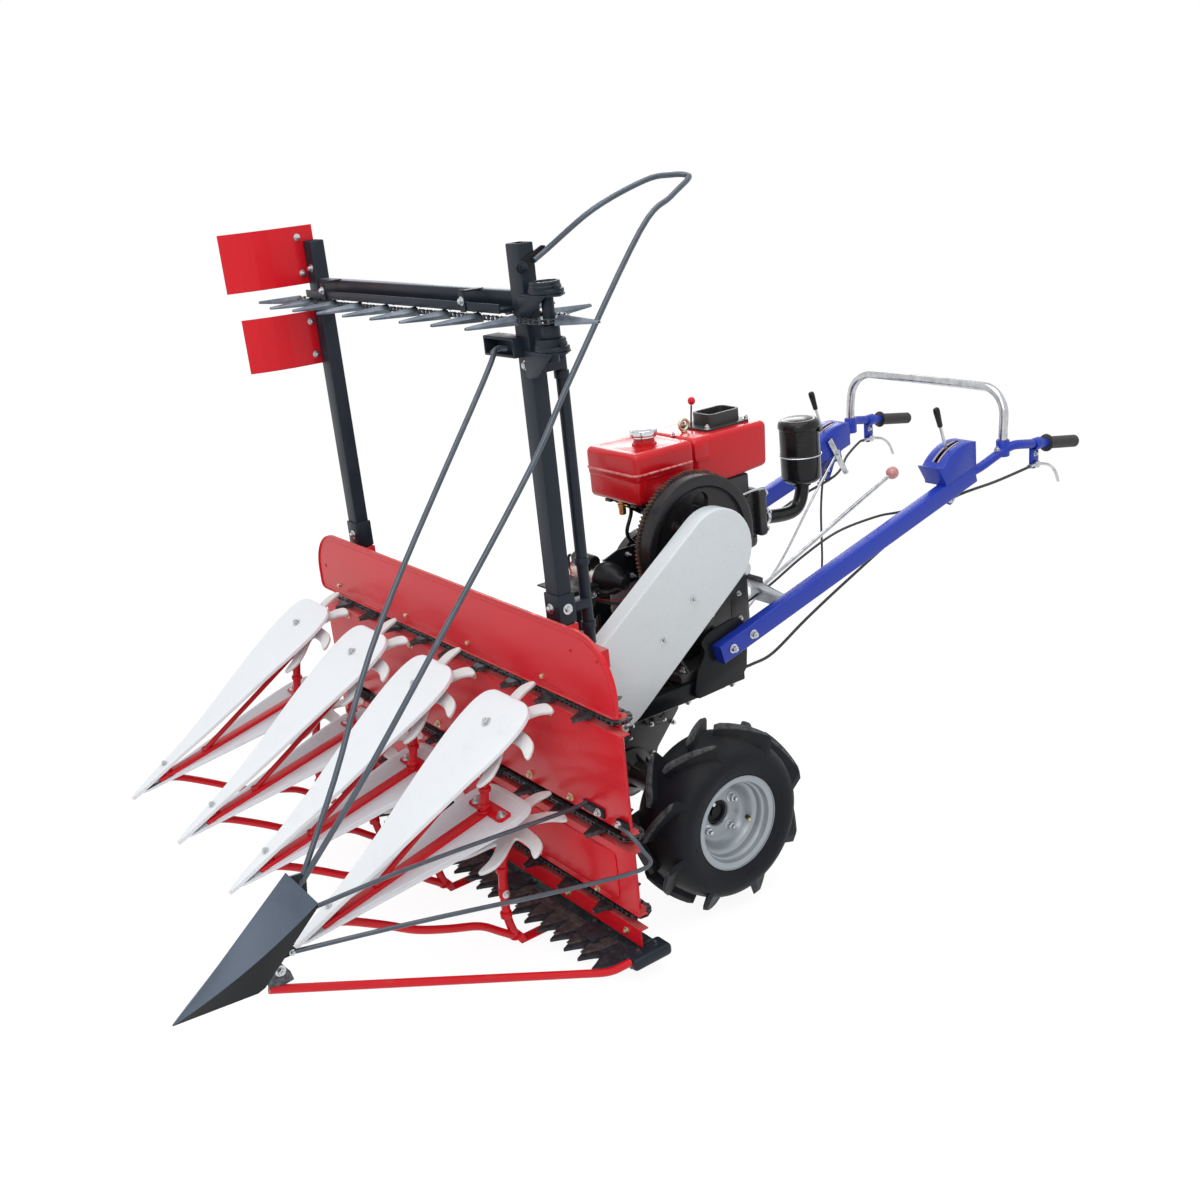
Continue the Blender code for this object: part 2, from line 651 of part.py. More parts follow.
def build_handlebar(machine, side, name, blue):
    """Box-section handle, its bent round end, the lever quadrant and the clutch lever's ear."""
    x = UNIT_X + side * HANDLE_OFFSET
    rise = HANDLE_HEIGHT / 2
    nose = HANDLE_START[0] + 0.02
    side_view = [(nose, HANDLE_START[1] - rise + 0.006),
                 (HANDLE_END[0] - 0.08, handle_line(HANDLE_END[0] - 0.08) - rise),
                 (HANDLE_END[0], HANDLE_END[1] + 0.006), (HANDLE_END[0] + 0.01, HANDLE_END[1] + rise),
                 (HANDLE_START[0], HANDLE_START[1] + rise)]
    beam = plate(side_view, x - HANDLE_WIDTH / 2, x + HANDLE_WIDTH / 2, "x")
    inside = [(nose - 0.05, handle_line(nose - 0.05) - rise + 0.010),
              (0.960, handle_line(0.960) - rise + 0.003),
              (0.960, handle_line(0.960) + rise - 0.003),
              (nose - 0.05, handle_line(nose - 0.05) + rise - 0.003)]
    beam = cut(beam, plate(inside, x - HANDLE_WIDTH / 2 + 0.003, x + HANDLE_WIDTH / 2 - 0.003, "x"))
    grip_x = UNIT_X + side * GRIP_OFFSET
    y, z = GRIP_START
    along = Vector((0.0, cos(GRIP_DROP), -sin(GRIP_DROP)))
    end = Vector((grip_x, y, z)) - along * 2 * GAP
    path = bend([(x, HANDLE_END[0] - 0.05, HANDLE_END[1]), (x, 1.108, 0.530), end - along * 0.125, end],
                0.05)
    bar = tube(path, BAR_RADIUS, 10)
    foot = bar_spot(side)
    collar = turned([(ARCH_FOOT - 0.045, 0.018), (ARCH_FOOT, 0.018)], (foot.x, foot.y), 12, "z")
    inner = UNIT_X + side * QUADRANT_INNER
    outer = x + side * HANDLE_WIDTH / 2
    low = min(inner, outer)
    high = max(inner, outer)
    wall = 0.003
    box = plate([(0.962, 0.500), (0.959, 0.529), (0.931, 0.573), (0.975, 0.603), (1.030, 0.617),
                 (1.080, 0.616),
                 (1.086, 0.530)], low, high, "x")
    hollow = plate([(0.972, 0.522), (0.943, 0.571), (0.978, 0.5985), (1.030, 0.6125), (1.075, 0.6115),
                    (1.080, 0.540)], low + wall, high - wall, "x")
    middle = (low + high) / 2
    slot = block((middle - 0.0065, 0.960, 0.590), (middle + 0.0065, 1.062, 0.640))
    box = cut(box, hollow, slot)
    ear_y = CLUTCH_PIVOT[0]
    ear = block((grip_x - 0.014, ear_y - 0.018, CLUTCH_PIVOT[1] - 0.014),
                (grip_x - 0.006, ear_y + 0.016, 0.562), 0.002)
    ring = turned([(ear_y - 0.018, 0.017), (ear_y + 0.012, 0.017)], (grip_x, 0.5690), 12, "y")
    return name_part(fuse(beam, bar, collar, box, ring, ear), "handlebar_" + name, blue, machine)


def bar_spot(side):
    """Where the arch stands on a handle's round end."""
    return Vector((UNIT_X + side * (HANDLE_OFFSET + 0.030), ARCH_Y, ARCH_FOOT))


def build_grip(machine, side, name, rubber):
    """Rubber grip with a thumb flange, on the end of the bar."""
    length = GRIP_LENGTH
    r = GRIP_RADIUS
    profile = [(0.0, r), (0.002, r + 0.007), (0.006, r + 0.007), (0.008, r), (0.060, r - 0.001),
               (length - 0.005, r),
               (length, r - 0.006)]
    grip = turned(profile, sides=12, axis="y")
    place = (UNIT_X + side * GRIP_OFFSET, *GRIP_START)
    return name_part(grip, "grip_" + name, rubber, machine, place, (-GRIP_DROP, 0.0, 0.0))


def build_arch_bar(machine, chrome):
    """Bright arch between the two handles."""
    far = bar_spot(-1) + Vector((0.0, 0.0, GAP))
    near = bar_spot(1) + Vector((0.0, 0.0, GAP))
    high = Vector((0.0, 0.014, ARCH_TOP - ARCH_FOOT))
    step = Vector((0.0, 0.0, 0.020))
    path = bend([far, far + step, far + high + Vector((0.006, 0.0, 0.0)),
                 near + high - Vector((0.006, 0.0, 0.0)),
                 near + step, near], 0.075, 5)
    return name_part(tube(path, ARCH_RADIUS, 8), "arch_bar", chrome, machine)


def build_lever(machine, side, name, steel):
    """Hand lever in the quadrant: pivot bush, round stem and plastic handle."""
    outer = HANDLE_OFFSET + HANDLE_WIDTH / 2
    half = (outer - QUADRANT_INNER) / 2
    hub = turned([(-half + 0.003 + GAP, 0.010), (half - 0.003 - GAP, 0.010)], sides=12)
    stem = tube([(0.0, 0.0, 0.0), (0.0, -0.036, 0.109)], 0.0045, 6)
    knob = tube([(0.0, -0.034, 0.100), (0.0, -0.058, 0.178)], 0.009, 8)
    x = UNIT_X + side * (outer + QUADRANT_INNER) / 2
    return name_part(fuse(hub, stem, knob), "lever_" + name, steel, machine, (x, *LEVER_PIVOT))


def build_clutch_lever(machine, side, name, steel):
    """Curved squeeze lever below the grip, pivoted beside its ear."""
    blade = tube(flow([(0.0, -0.030, 0.000), (0.0, 0.0, 0.0), (0.0, 0.048, -0.012), (0.0, 0.078, -0.036),
                       (0.0, 0.095, -0.072)], 8), 0.0060, 6)
    eye = turned([(-0.0055, 0.010), (0.0055, 0.010)], sides=10)
    x = UNIT_X + side * GRIP_OFFSET + 0.0005
    return name_part(fuse(blade, eye), "clutch_lever_" + name, steel, machine, (x, *CLUTCH_PIVOT))


def build_gear_lever(machine, chrome):
    """Long gear lever with a ball knob, pivoted on the frame's rear post."""
    eye = turned([(0.0, 0.013), (0.010, 0.013)], sides=12)
    end = Vector((0.005, 0.641, 0.2394))
    rod = tube([(0.005, 0.0, 0.0), end * 0.98], 0.0055)
    spot = end
    knob = turned([(spot.z - 0.016, 0.008), (spot.z - 0.009, 0.016), (spot.z, 0.0185),
                   (spot.z + 0.009, 0.016),
                   (spot.z + 0.016, 0.008)], (spot.x, spot.y), 12, "z")
    return name_part(fuse(eye, rod, knob), "gear_lever", chrome, machine, GEAR_PIVOT)


def build_cables(machine, black):
    """Clutch cables, clipped along the handles from the levers' ears to the gearbox."""
    for side, name in ((1, "left"), (-1, "right")):
        x = UNIT_X + side * GRIP_OFFSET
        near = UNIT_X + side * (HANDLE_OFFSET - 0.030)
        rail = UNIT_X + side * RAIL_OFFSET
        route = [(x, CLUTCH_PIVOT[0] - 0.030 - 0.003, 0.512), (x, 1.235, 0.510),
                 (x - side * 0.030, 1.150, 0.490),
                 (near, 1.040, 0.462), (near, 0.860, 0.425), (near, 0.640, 0.345), (rail, 0.500, 0.275),
                 (rail, 0.380, 0.220), (rail, 0.310, 0.2125), (rail, RAIL_REAR + GAP, 0.2125)]
        points = flow(route, 48)
        curve = bpy.data.curves.new("cable_" + name, 'CURVE')
        curve.dimensions = '3D'
        curve.bevel_depth = 0.004
        curve.bevel_resolution = 2
        curve.use_fill_caps = True
        spline = curve.splines.new('POLY')
        spline.points.add(len(points) - 1)
        for slot, point in zip(spline.points, points):
            slot.co = (*point, 1.0)
        own_paint = black.copy()
        own_paint.name = "cable_" + name
        curve.materials.append(own_paint)
        made = bpy.data.objects.new("cable_" + name, curve)
        bpy.context.scene.collection.objects.link(made)
        made.parent = machine


# Header

def build_header_frame(machine, red):
    """Rear structure of the header with the two lowest panels, the post sockets and the skids."""
    back = FRAME_FRONT
    deep = back + BEAM_DEPTH
    low_x = HEADER_FAR + 0.060
    high_x = GUARD_OUTER_X + 0.078
    pieces = []
    for bottom, top in ((0.425, 0.465), (-0.128, -0.090)):
        pieces.append(block((low_x, back, bottom), (high_x, deep, top)))
    uprights = (low_x + 0.015, UNIT_X - RAIL_OFFSET, UNIT_X + RAIL_OFFSET, high_x - 0.015)
    for x in uprights:
        pieces.append(block((x - 0.015, back + 0.002, -0.120), (x + 0.015, deep - 0.002, 0.455)))
        pieces.append(block((x - 0.012, PANEL_FACE - 0.0015, 0.010), (x + 0.012, back + 0.005, 0.060)))
    sole = back - 0.050
    for x in SKID_X:
        shoe = [(sole, _ground(sole)), (deep, _ground(deep)), (deep, -0.120), (back + 0.001, -0.120),
                (back + 0.001, -0.1405), (sole + 0.004, -0.1425)]
        pieces.append(plate(shoe, x - 0.030, x + 0.030, "x"))
    for side in (-1, 1):
        x = side * POST_X
        inner = POST_WIDTH / 2 + GAP
        depth = POST_DEPTH / 2 + GAP
        wall = 0.004
        sleeve = block((x - inner - wall, POST_Y - depth - wall, 0.445),
                       (x + inner + wall, POST_Y + depth + wall, 0.530))
        bore = block((x - inner, POST_Y - depth, POST_FOOT - GAP), (x + inner, POST_Y + depth, 0.56))
        shelf = block((x - 0.020, POST_Y, 0.448), (x + 0.020, back + 0.005, 0.464))
        pieces += [shelf, sleeve, bore]
    bores = [pieces[-4], pieces[-1]]
    pieces = [piece for piece in pieces if piece not in bores]
    pieces += [sprocket_shaft(HEADER_FAR + 0.056), sprocket_shaft(HEADER_NEAR - 0.046)]
    body = cut(fuse(*pieces, lower_sheet(*LOWER_PANEL)), *bores)
    low, high = BOTTOM_PANEL
    face = PANEL_FACE
    skirt = [(face - SHEET, low), (face - SHEET, high), (face + 0.018, high), (face + 0.018, high - SHEET),
             (face, high - SHEET), (face, low)]
    body = fuse(body, plate(skirt, HEADER_FAR, HEADER_NEAR, "x"),
                *[block((x - 0.012, face - 0.0015, -0.108),
                        (x + 0.012, back + 0.005, -0.0925)) for x in uprights])
    return name_part(body, "header_frame", red, machine)


def sprocket_shaft(x):
    """Upright shaft with a sprocket inside the end of each chain, held by a lug on the lower panel."""
    profile = [(LOWER_CHAIN_Z - 0.010, SHAFT_RADIUS)]
    for z in (LOWER_CHAIN_Z, MIDDLE_CHAIN_Z, UPPER_CHAIN_Z):
        profile += [(z - 0.0042, SHAFT_RADIUS), (z - 0.004, SPROCKET_RADIUS), (z + 0.004, SPROCKET_RADIUS),
                    (z + 0.0042, SHAFT_RADIUS)]
    profile.append((UPPER_CHAIN_Z + 0.010, SHAFT_RADIUS))
    middle = (CHAIN_FRONT + CHAIN_BACK) / 2
    lug = block((x - 0.014, PANEL_FACE + 0.014, 0.088), (x + 0.014, middle + 0.012, LOWER_PANEL[1] - 0.001))
    return fuse(turned(profile, (x, middle), 8, "z"), lug)


def lower_sheet(low, high):
    """A header panel: flat face with a flange turned back along both edges."""
    face = PANEL_FACE
    flange = face + 0.020
    bent = [(face - SHEET, low), (face - SHEET, high), (flange, high), (flange, high - SHEET),
            (face, high - SHEET),
            (face, low + SHEET), (flange, low + SHEET), (flange, low)]
    return plate(bent, HEADER_FAR, HEADER_NEAR, "x")


def _ground(y):
    """Height of the ground under a point of the machine frame."""
    return -(AXLE_HEIGHT + y * sin(NOSE_DOWN)) / cos(NOSE_DOWN)


def rounded_panel(width_low, width_high, bottom, top, radius):
    """Outline of the top panel: square-cut bottom corners and big round upper ends."""
    outline = [(width_low + 0.012, bottom), (width_low, bottom + 0.012)]
    for i in range(7):
        a = pi - i * pi / 12
        outline.append((width_low + radius + radius * cos(a), top - radius + radius * sin(a)))
    for i in range(7):
        a = pi / 2 - i * pi / 12
        outline.append((width_high - radius + radius * cos(a), top - radius + radius * sin(a)))
    outline += [(width_high, bottom + 0.012), (width_high - 0.012, bottom)]
    return outline


def build_panels(machine, red):
    """Top panel with a raised rim, and the flanged middle panel, each on stays to the frame."""
    face = PANEL_FACE
    outline = rounded_panel(HEADER_FAR, HEADER_NEAR, TOP_PANEL_BOTTOM, TOP_PANEL_TOP, 0.115)
    pan = plate(outline, face - 0.0095, face, "y")
    middle_x = (HEADER_FAR + HEADER_NEAR) / 2
    middle_z = (TOP_PANEL_BOTTOM + TOP_PANEL_TOP) / 2
    shrink_x = 1 - 2 * 0.0035 / (HEADER_NEAR - HEADER_FAR)
    shrink_z = 1 - 2 * 0.0035 / (TOP_PANEL_TOP - TOP_PANEL_BOTTOM)
    inner = [(middle_x + (x - middle_x) * shrink_x, middle_z + (z - middle_z) * shrink_z)
             for x, z in outline]
    pan = cut(pan, plate(inner, face - 0.02, face - SHEET, "y"))
    stays = []
    for x in (HEADER_FAR + 0.070, UNIT_X - RAIL_OFFSET, UNIT_X + RAIL_OFFSET, GUARD_OUTER_X + 0.063):
        stays.append(block((x - 0.012, face - 0.001, 0.428), (x + 0.012, FRAME_FRONT - GAP, 0.462)))
    name_part(fuse(pan, *stays), "top_panel", red, machine)

    stays = []
    for x in (HEADER_FAR + 0.075, UNIT_X - RAIL_OFFSET, UNIT_X + RAIL_OFFSET, GUARD_OUTER_X + 0.063):
        stays.append(block((x - 0.012, face - 0.001, 0.225), (x + 0.012, FRAME_FRONT + 0.002 - GAP, 0.290)))
    name_part(fuse(lower_sheet(*MIDDLE_PANEL), *stays), "middle_panel", red, machine)


def make_chain(z, low_x, high_x, front, back, height, reach, lug_width, taper, pitch, round_lugs=False):
    """Closed conveyor chain in its run, with a lug drawn out of every tenth link."""
    radius = (back - front) / 2
    middle = (back + front) / 2
    thick = 0.006
    a_x = low_x + radius
    b_x = high_x - radius
    count = int((b_x - a_x) / pitch)
    first = (a_x + b_x) / 2 - (count - 1) * pitch / 2
    stations = []
    for i in range(count):
        x = first + i * pitch
        stations += [((x - lug_width / 2, front), (0, -1), True),
                     ((x + lug_width / 2, front), (0, -1), False)]
    stations += chain_end((b_x, middle), radius, -pi / 2, round_lugs)
    for i in reversed(range(count)):
        x = first + i * pitch
        stations += [((x + lug_width / 2, back), (0, 1), True), ((x - lug_width / 2, back), (0, 1), False)]
    stations += chain_end((a_x, middle), radius, pi / 2, round_lugs)
    bm = bmesh.new()
    rings = []
    for (x, y), (nx, ny), _ in stations:
        inner = (x - nx * thick, y - ny * thick)
        rings.append([bm.verts.new((px, py, pz)) for (px, py), pz in
                      (((x, y), z - height / 2), ((x, y), z + height / 2), (inner, z + height / 2),
                       (inner, z - height / 2))])
    for i, (_, normal, lug) in enumerate(stations):
        one = rings[i]
        two = rings[(i + 1) % len(rings)]
        for j in range(1, 4):
            bm.faces.new((one[j], two[j], two[(j + 1) % 4], one[(j + 1) % 4]))
        outer = bm.faces.new((one[0], two[0], two[1], one[1]))
        if lug:
            grown = bmesh.ops.extrude_discrete_faces(bm, faces=[outer])["faces"][0]
            middle_spot = grown.calc_center_median()
            grown.normal_update()
            out = grown.normal
            out = out if out.y * normal[1] + out.x * normal[0] > 0 else -out
            for vert in grown.verts:
                vert.co = middle_spot + (vert.co - middle_spot) * taper + out * reach
    return finish(bm, "chain")


def chain_end(centre, radius, start, lugs):
    """Stations round one sprocket, with two lugs on the way if asked."""
    stations = []
    for share, lug in ((0.14, lugs), (0.38, False), (0.62, lugs), (0.86, False)):
        a = start + share * pi
        spot = (centre[0] + radius * cos(a), centre[1] + radius * sin(a))
        stations.append((spot, (cos(a), sin(a)), lug))
    return stations


def build_chains(machine, dark):
    """Three conveyor chains in the slots between the panels."""
    for z, name in ((UPPER_CHAIN_Z, "upper"), (MIDDLE_CHAIN_Z, "middle"), (LOWER_CHAIN_Z, "lower")):
        ring = make_chain(z, HEADER_FAR + 0.03, HEADER_NEAR - 0.02, CHAIN_FRONT, CHAIN_BACK, 0.012,
                          LUG_REACH, 0.022,
                          0.65, LUG_PITCH)
        name_part(ring, "chain_" + name, dark, machine, smooth=20)


def build_cutter_bar(machine, dark):
    """Flat bar with a row of pointed guards, ledgers at both ends and the bottom panel behind."""
    low_x = HEADER_FAR
    high_x = HEADER_NEAR + 0.012
    bar = block((low_x, -0.398, BAR_TOP - BAR_THICKNESS), (high_x, -0.305, BAR_TOP), 0.0)
    count = int((high_x - low_x - 0.03) / FINGER_PITCH)
    outline = [(low_x, -0.396)]
    start = low_x + 0.030
    for i in range(count):
        x = start + i * FINGER_PITCH
        outline += [(x - 0.013, -0.396), (x - 0.010, -0.432), (x, FINGER_TIP), (x + 0.010, -0.432),
                    (x + 0.013, -0.396)]
    outline += [(start + count * FINGER_PITCH - 0.02, -0.396),
                (start + count * FINGER_PITCH - 0.02, -0.380), (low_x, -0.380)]
    fingers = plate(outline, BAR_TOP - 0.0085, BAR_TOP - 0.0005, "z")
    end = block((HEADER_NEAR - 0.020, -0.400, BAR_TOP - 0.012),
                (HEADER_NEAR + 0.030, -0.300, BAR_TOP + 0.016), 0.003)
    return name_part(fuse(bar, fingers, end), "cutter_bar", dark, machine, smooth=20)


def build_knife(machine, steel):
    """Reciprocating knife: a back strip with a triangular section over every guard."""
    low_x = HEADER_FAR + 0.035
    count = int((HEADER_NEAR - 0.060 - low_x) / FINGER_PITCH)
    outline = [(low_x, -0.404)]
    for i in range(count):
        x = low_x + i * FINGER_PITCH
        outline += [(x + 0.004, -0.404), (x + 0.019, -0.446), (x + 0.031, -0.446), (x + 0.046, -0.404)]
    outline += [(low_x + count * FINGER_PITCH, -0.404), (low_x + count * FINGER_PITCH, -0.368),
                (low_x, -0.368)]
    bottom = BAR_TOP + GAP
    blade = plate(outline, bottom, bottom + KNIFE_THICKNESS, "z")
    return name_part(blade, "knife", steel, machine, smooth=20)


# Rows

def mirrored(half):
    """Close an outline from the points on one side of its centre line."""
    return half + [(u, -v) for u, v in reversed(half) if abs(v) > 1e-6]


def star_outline():
    """Seven sickle arms on a hub, all swept the same way."""
    points = []
    arm = ((0.054, -0.34), (0.074, -0.26), (0.102, -0.29), (0.128, -0.37), (STAR_RADIUS, -0.34),
           (0.120, -0.09),
           (0.094, 0.05), (0.068, 0.20), (0.051, 0.47))
    for k in range(STAR_ARMS):
        base = 2 * pi * k / STAR_ARMS
        points += [(radius * cos(base + angle), radius * sin(base + angle)) for radius, angle in arm]
    return points


def make_star():
    """Star wheel: curved arms and a raised hub with its bore."""
    bore = circle((0.0, 0.0), STAR_BORE, 10)
    arms = plate(star_outline(), -STAR_THICKNESS / 2, STAR_THICKNESS / 2, "z", holes=[bore])
    return arms


def build_row(machine, index, x, white, red, grey):
    """One divider: the welded frame, its upper cover and the two star wheels between them."""
    upper = slope_frame(UPPER_STAR, UPPER_SLOPE)
    lower = slope_frame(LOWER_STAR, LOWER_SLOPE)
    up_top = upper @ Vector((0.0, 0.0, COVER_LIFT - 0.0022 - GAP))
    up_low = upper @ Vector((0.0, 0.0, -0.020))
    low_top = lower @ Vector((0.0, 0.0, 0.038))
    low_low = lower @ Vector((0.0, 0.0, -0.018))
    mast = tube(bend([up_top, up_low, (0.0, -0.527, 0.300), (0.0, -0.544, 0.1795)], 0.012, 1), PIN_RADIUS,
                6)
    post = tube(bend([low_top, low_low, (0.0, -0.522, 0.050), (0.0, -0.524, -0.080),
                      (0.0, -0.508, -0.130)], 0.012, 1),
                PIN_RADIUS, 6)
    (rear_y, rear_z), (front_y, front_z) = SPINE_REAR, SPINE_FRONT
    spine = plate([(rear_y, rear_z), (rear_y, rear_z - 0.012), (front_y, front_z - 0.010),
                   (front_y, front_z)],
                  -0.011, 0.011, "x")
    cross = slope_frame((-0.530, 0.1775), LOWER_SLOPE)
    yoke = block((-0.016, -0.040, 0.0015 + GAP), (0.012, 0.040, 0.0055))
    yoke.data.transform(cross)
    brace = tube([(0.0, -0.800, 0.131), (0.0, -0.520, 0.306)], 0.006, 6)
    stud = turned([(0.098, 0.005), (0.1282, 0.005)], (0.0, -0.900), 6, "z")
    under = tube(bend([(0.0, -0.918, 0.094), (0.0, -0.870, 0.076), (0.0, -0.750, -0.004),
                       (0.0, -0.592, -0.066),
                       (0.0, -0.508, -0.1300)], 0.05, 2), 0.0085, 6)
    sole = BAR_TOP - BAR_THICKNESS - GAP
    shoe = plate([(-0.514, -0.128), (-0.498, -0.120), (-0.490, sole), (-0.330, sole),
                  (-0.330, sole - 0.004),
                  (-0.504, sole - 0.004)], -0.014, 0.014, "x")
    name_part(fuse(spine, mast, brace, yoke, stud, under, post, shoe), "row_frame_%d" % index, red, machine,
              (x, 0.0, 0.0))

    wings = mirrored([(-0.062, 0.0), (-0.060, 0.066), (-0.040, 0.086), (0.000, 0.090), (0.100, 0.074),
                      (0.300, 0.030),
                      (0.343, 0.018), (0.346, 0.0)])
    sheet = plate(wings, -0.0015, 0.0015, "z")
    name_part(sheet, "lower_cover_%d" % index, white, machine, (x, -0.530, 0.1775), cross.to_euler())

    outline = mirrored([(-0.074, 0.0), (-0.072, 0.050), (-0.060, 0.078), (-0.030, 0.093), (0.030, 0.094),
                        (0.120, 0.080), (0.300, 0.045), (0.500, 0.016), (0.578, 0.004), (0.582, 0.0)])
    pan = plate(outline, -0.008, 0.0, "z")
    inner = [(u * 0.985 - 0.001, v * 0.965) for u, v in outline]
    pan = cut(pan, plate(inner, -0.02, -0.0022, "z"))
    cover_frame = slope_frame((UPPER_STAR[0], UPPER_STAR[1]), UPPER_SLOPE)
    turn = cover_frame.to_euler()
    place = cover_frame @ Vector((0.0, 0.0, COVER_LIFT))
    name_part(pan, "upper_cover_%d" % index, white, machine, (x, place.y, place.z), turn)

    for kind, matrix in (("upper", upper), ("lower", lower)):
        spot = matrix.to_translation()
        carrier = empty("star_%s_axis_%d" % (kind, index), (x, spot.y, spot.z), matrix.to_euler(), machine)
        name_part(make_star(), "star_%s_%d" % (kind, index), grey, carrier, smooth=20)


# Conveyor above the header

def build_conveyor(machine, black, dark):
    """Both posts, the guide beam, the drive tube and shaft beside the near post, and the finger chain."""
    half = POST_WIDTH / 2
    deep = POST_DEPTH / 2
    pieces = []
    hollows = []
    for side in (-1, 1):
        x = side * POST_X
        pieces.append(block((x - half, POST_Y - deep, POST_FOOT), (x + half, POST_Y + deep, POST_TOP)))
        hollows.append(block((x - half + 0.003, POST_Y - deep + 0.003, POST_FOOT - 0.01),
                             (x + half - 0.003, POST_Y + deep - 0.003, POST_TOP - 0.006)))
    pieces.append(block((-POST_X, POST_Y - 0.012, BEAM_BOTTOM), (POST_X, POST_Y + 0.012, BEAM_TOP)))
    pieces.append(block((-POST_X + 0.02, -0.345, 1.172), (POST_X - 0.02, POST_Y + 0.010, 1.182)))
    pieces.append(block((-POST_X + 0.02, -0.349, 1.172), (POST_X - 0.02, -0.343, 1.190)))
    pieces.append(block((0.330, -0.340, 1.085), (0.452, -0.300, 1.125)))
    for z in (1.098, 1.205):
        ledge = [(0.460, POST_Y - 0.022), (0.460, POST_Y + 0.022), (0.545, POST_Y + 0.026), (0.568, POST_Y),
                 (0.545, POST_Y - 0.026)]
        pieces.append(plate(ledge, z - 0.003, z + 0.003, "z"))
    sprocket = [(1.075, 0.012), (1.079, 0.024), (1.118, 0.024), (1.122, 0.012), (1.148, 0.012),
                (1.150, 0.0303),
                (1.170, 0.0303), (1.172, 0.012), (1.196, 0.012), (1.198, 0.024), (1.222, 0.024),
                (1.226, 0.012)]
    pieces.append(turned(sprocket, (SHAFT_X, POST_Y), 10, "z"))
    tube_y = -0.2345
    for z in (0.560, 1.060):
        pieces.append(block((POST_X - 0.016, POST_Y + deep - 0.002, z - 0.010),
                            (POST_X + 0.016, tube_y, z + 0.010)))
    pieces.append(tube([(POST_X, tube_y, 0.4655), (POST_X, tube_y, 1.085)], 0.0125, 10))
    name_part(cut(fuse(*pieces), *hollows), "conveyor_frame", black, machine)

    ring = make_chain(FINGER_CHAIN_Z, -0.535, SHAFT_X + 0.039, -0.339, -0.261, 0.012, FINGER_REACH, 0.022,
                      0.16,
                      0.127, True)
    name_part(ring, "finger_chain", dark, machine, smooth=20)


def build_deflectors(machine, red):
    """Two red plates on one strip on the far post, curved at their outer ends to turn the crop."""
    outer = -POST_X - POST_WIDTH / 2 - GAP
    pieces = [block((outer - 0.0025, POST_Y - 0.012, 1.010), (outer, POST_Y + 0.010, 1.330))]
    for low, high, front in ((1.200, 1.336, -0.515), (1.006, 1.135, -0.492)):
        curve = []
        for i in range(7):
            y = front + (POST_Y + 0.012 - front) * i / 6
            swing = 0.030 * max(0.0, (POST_Y - 0.06 - y) / (POST_Y - 0.06 - front)) ** 2
            curve.append((outer - swing, y))
        pieces.append(plate(curve + [(x - 0.0025, y) for x, y in reversed(curve)], low, high, "z"))
    name_part(fuse(*pieces), "deflector", red, machine)


# Outer divider

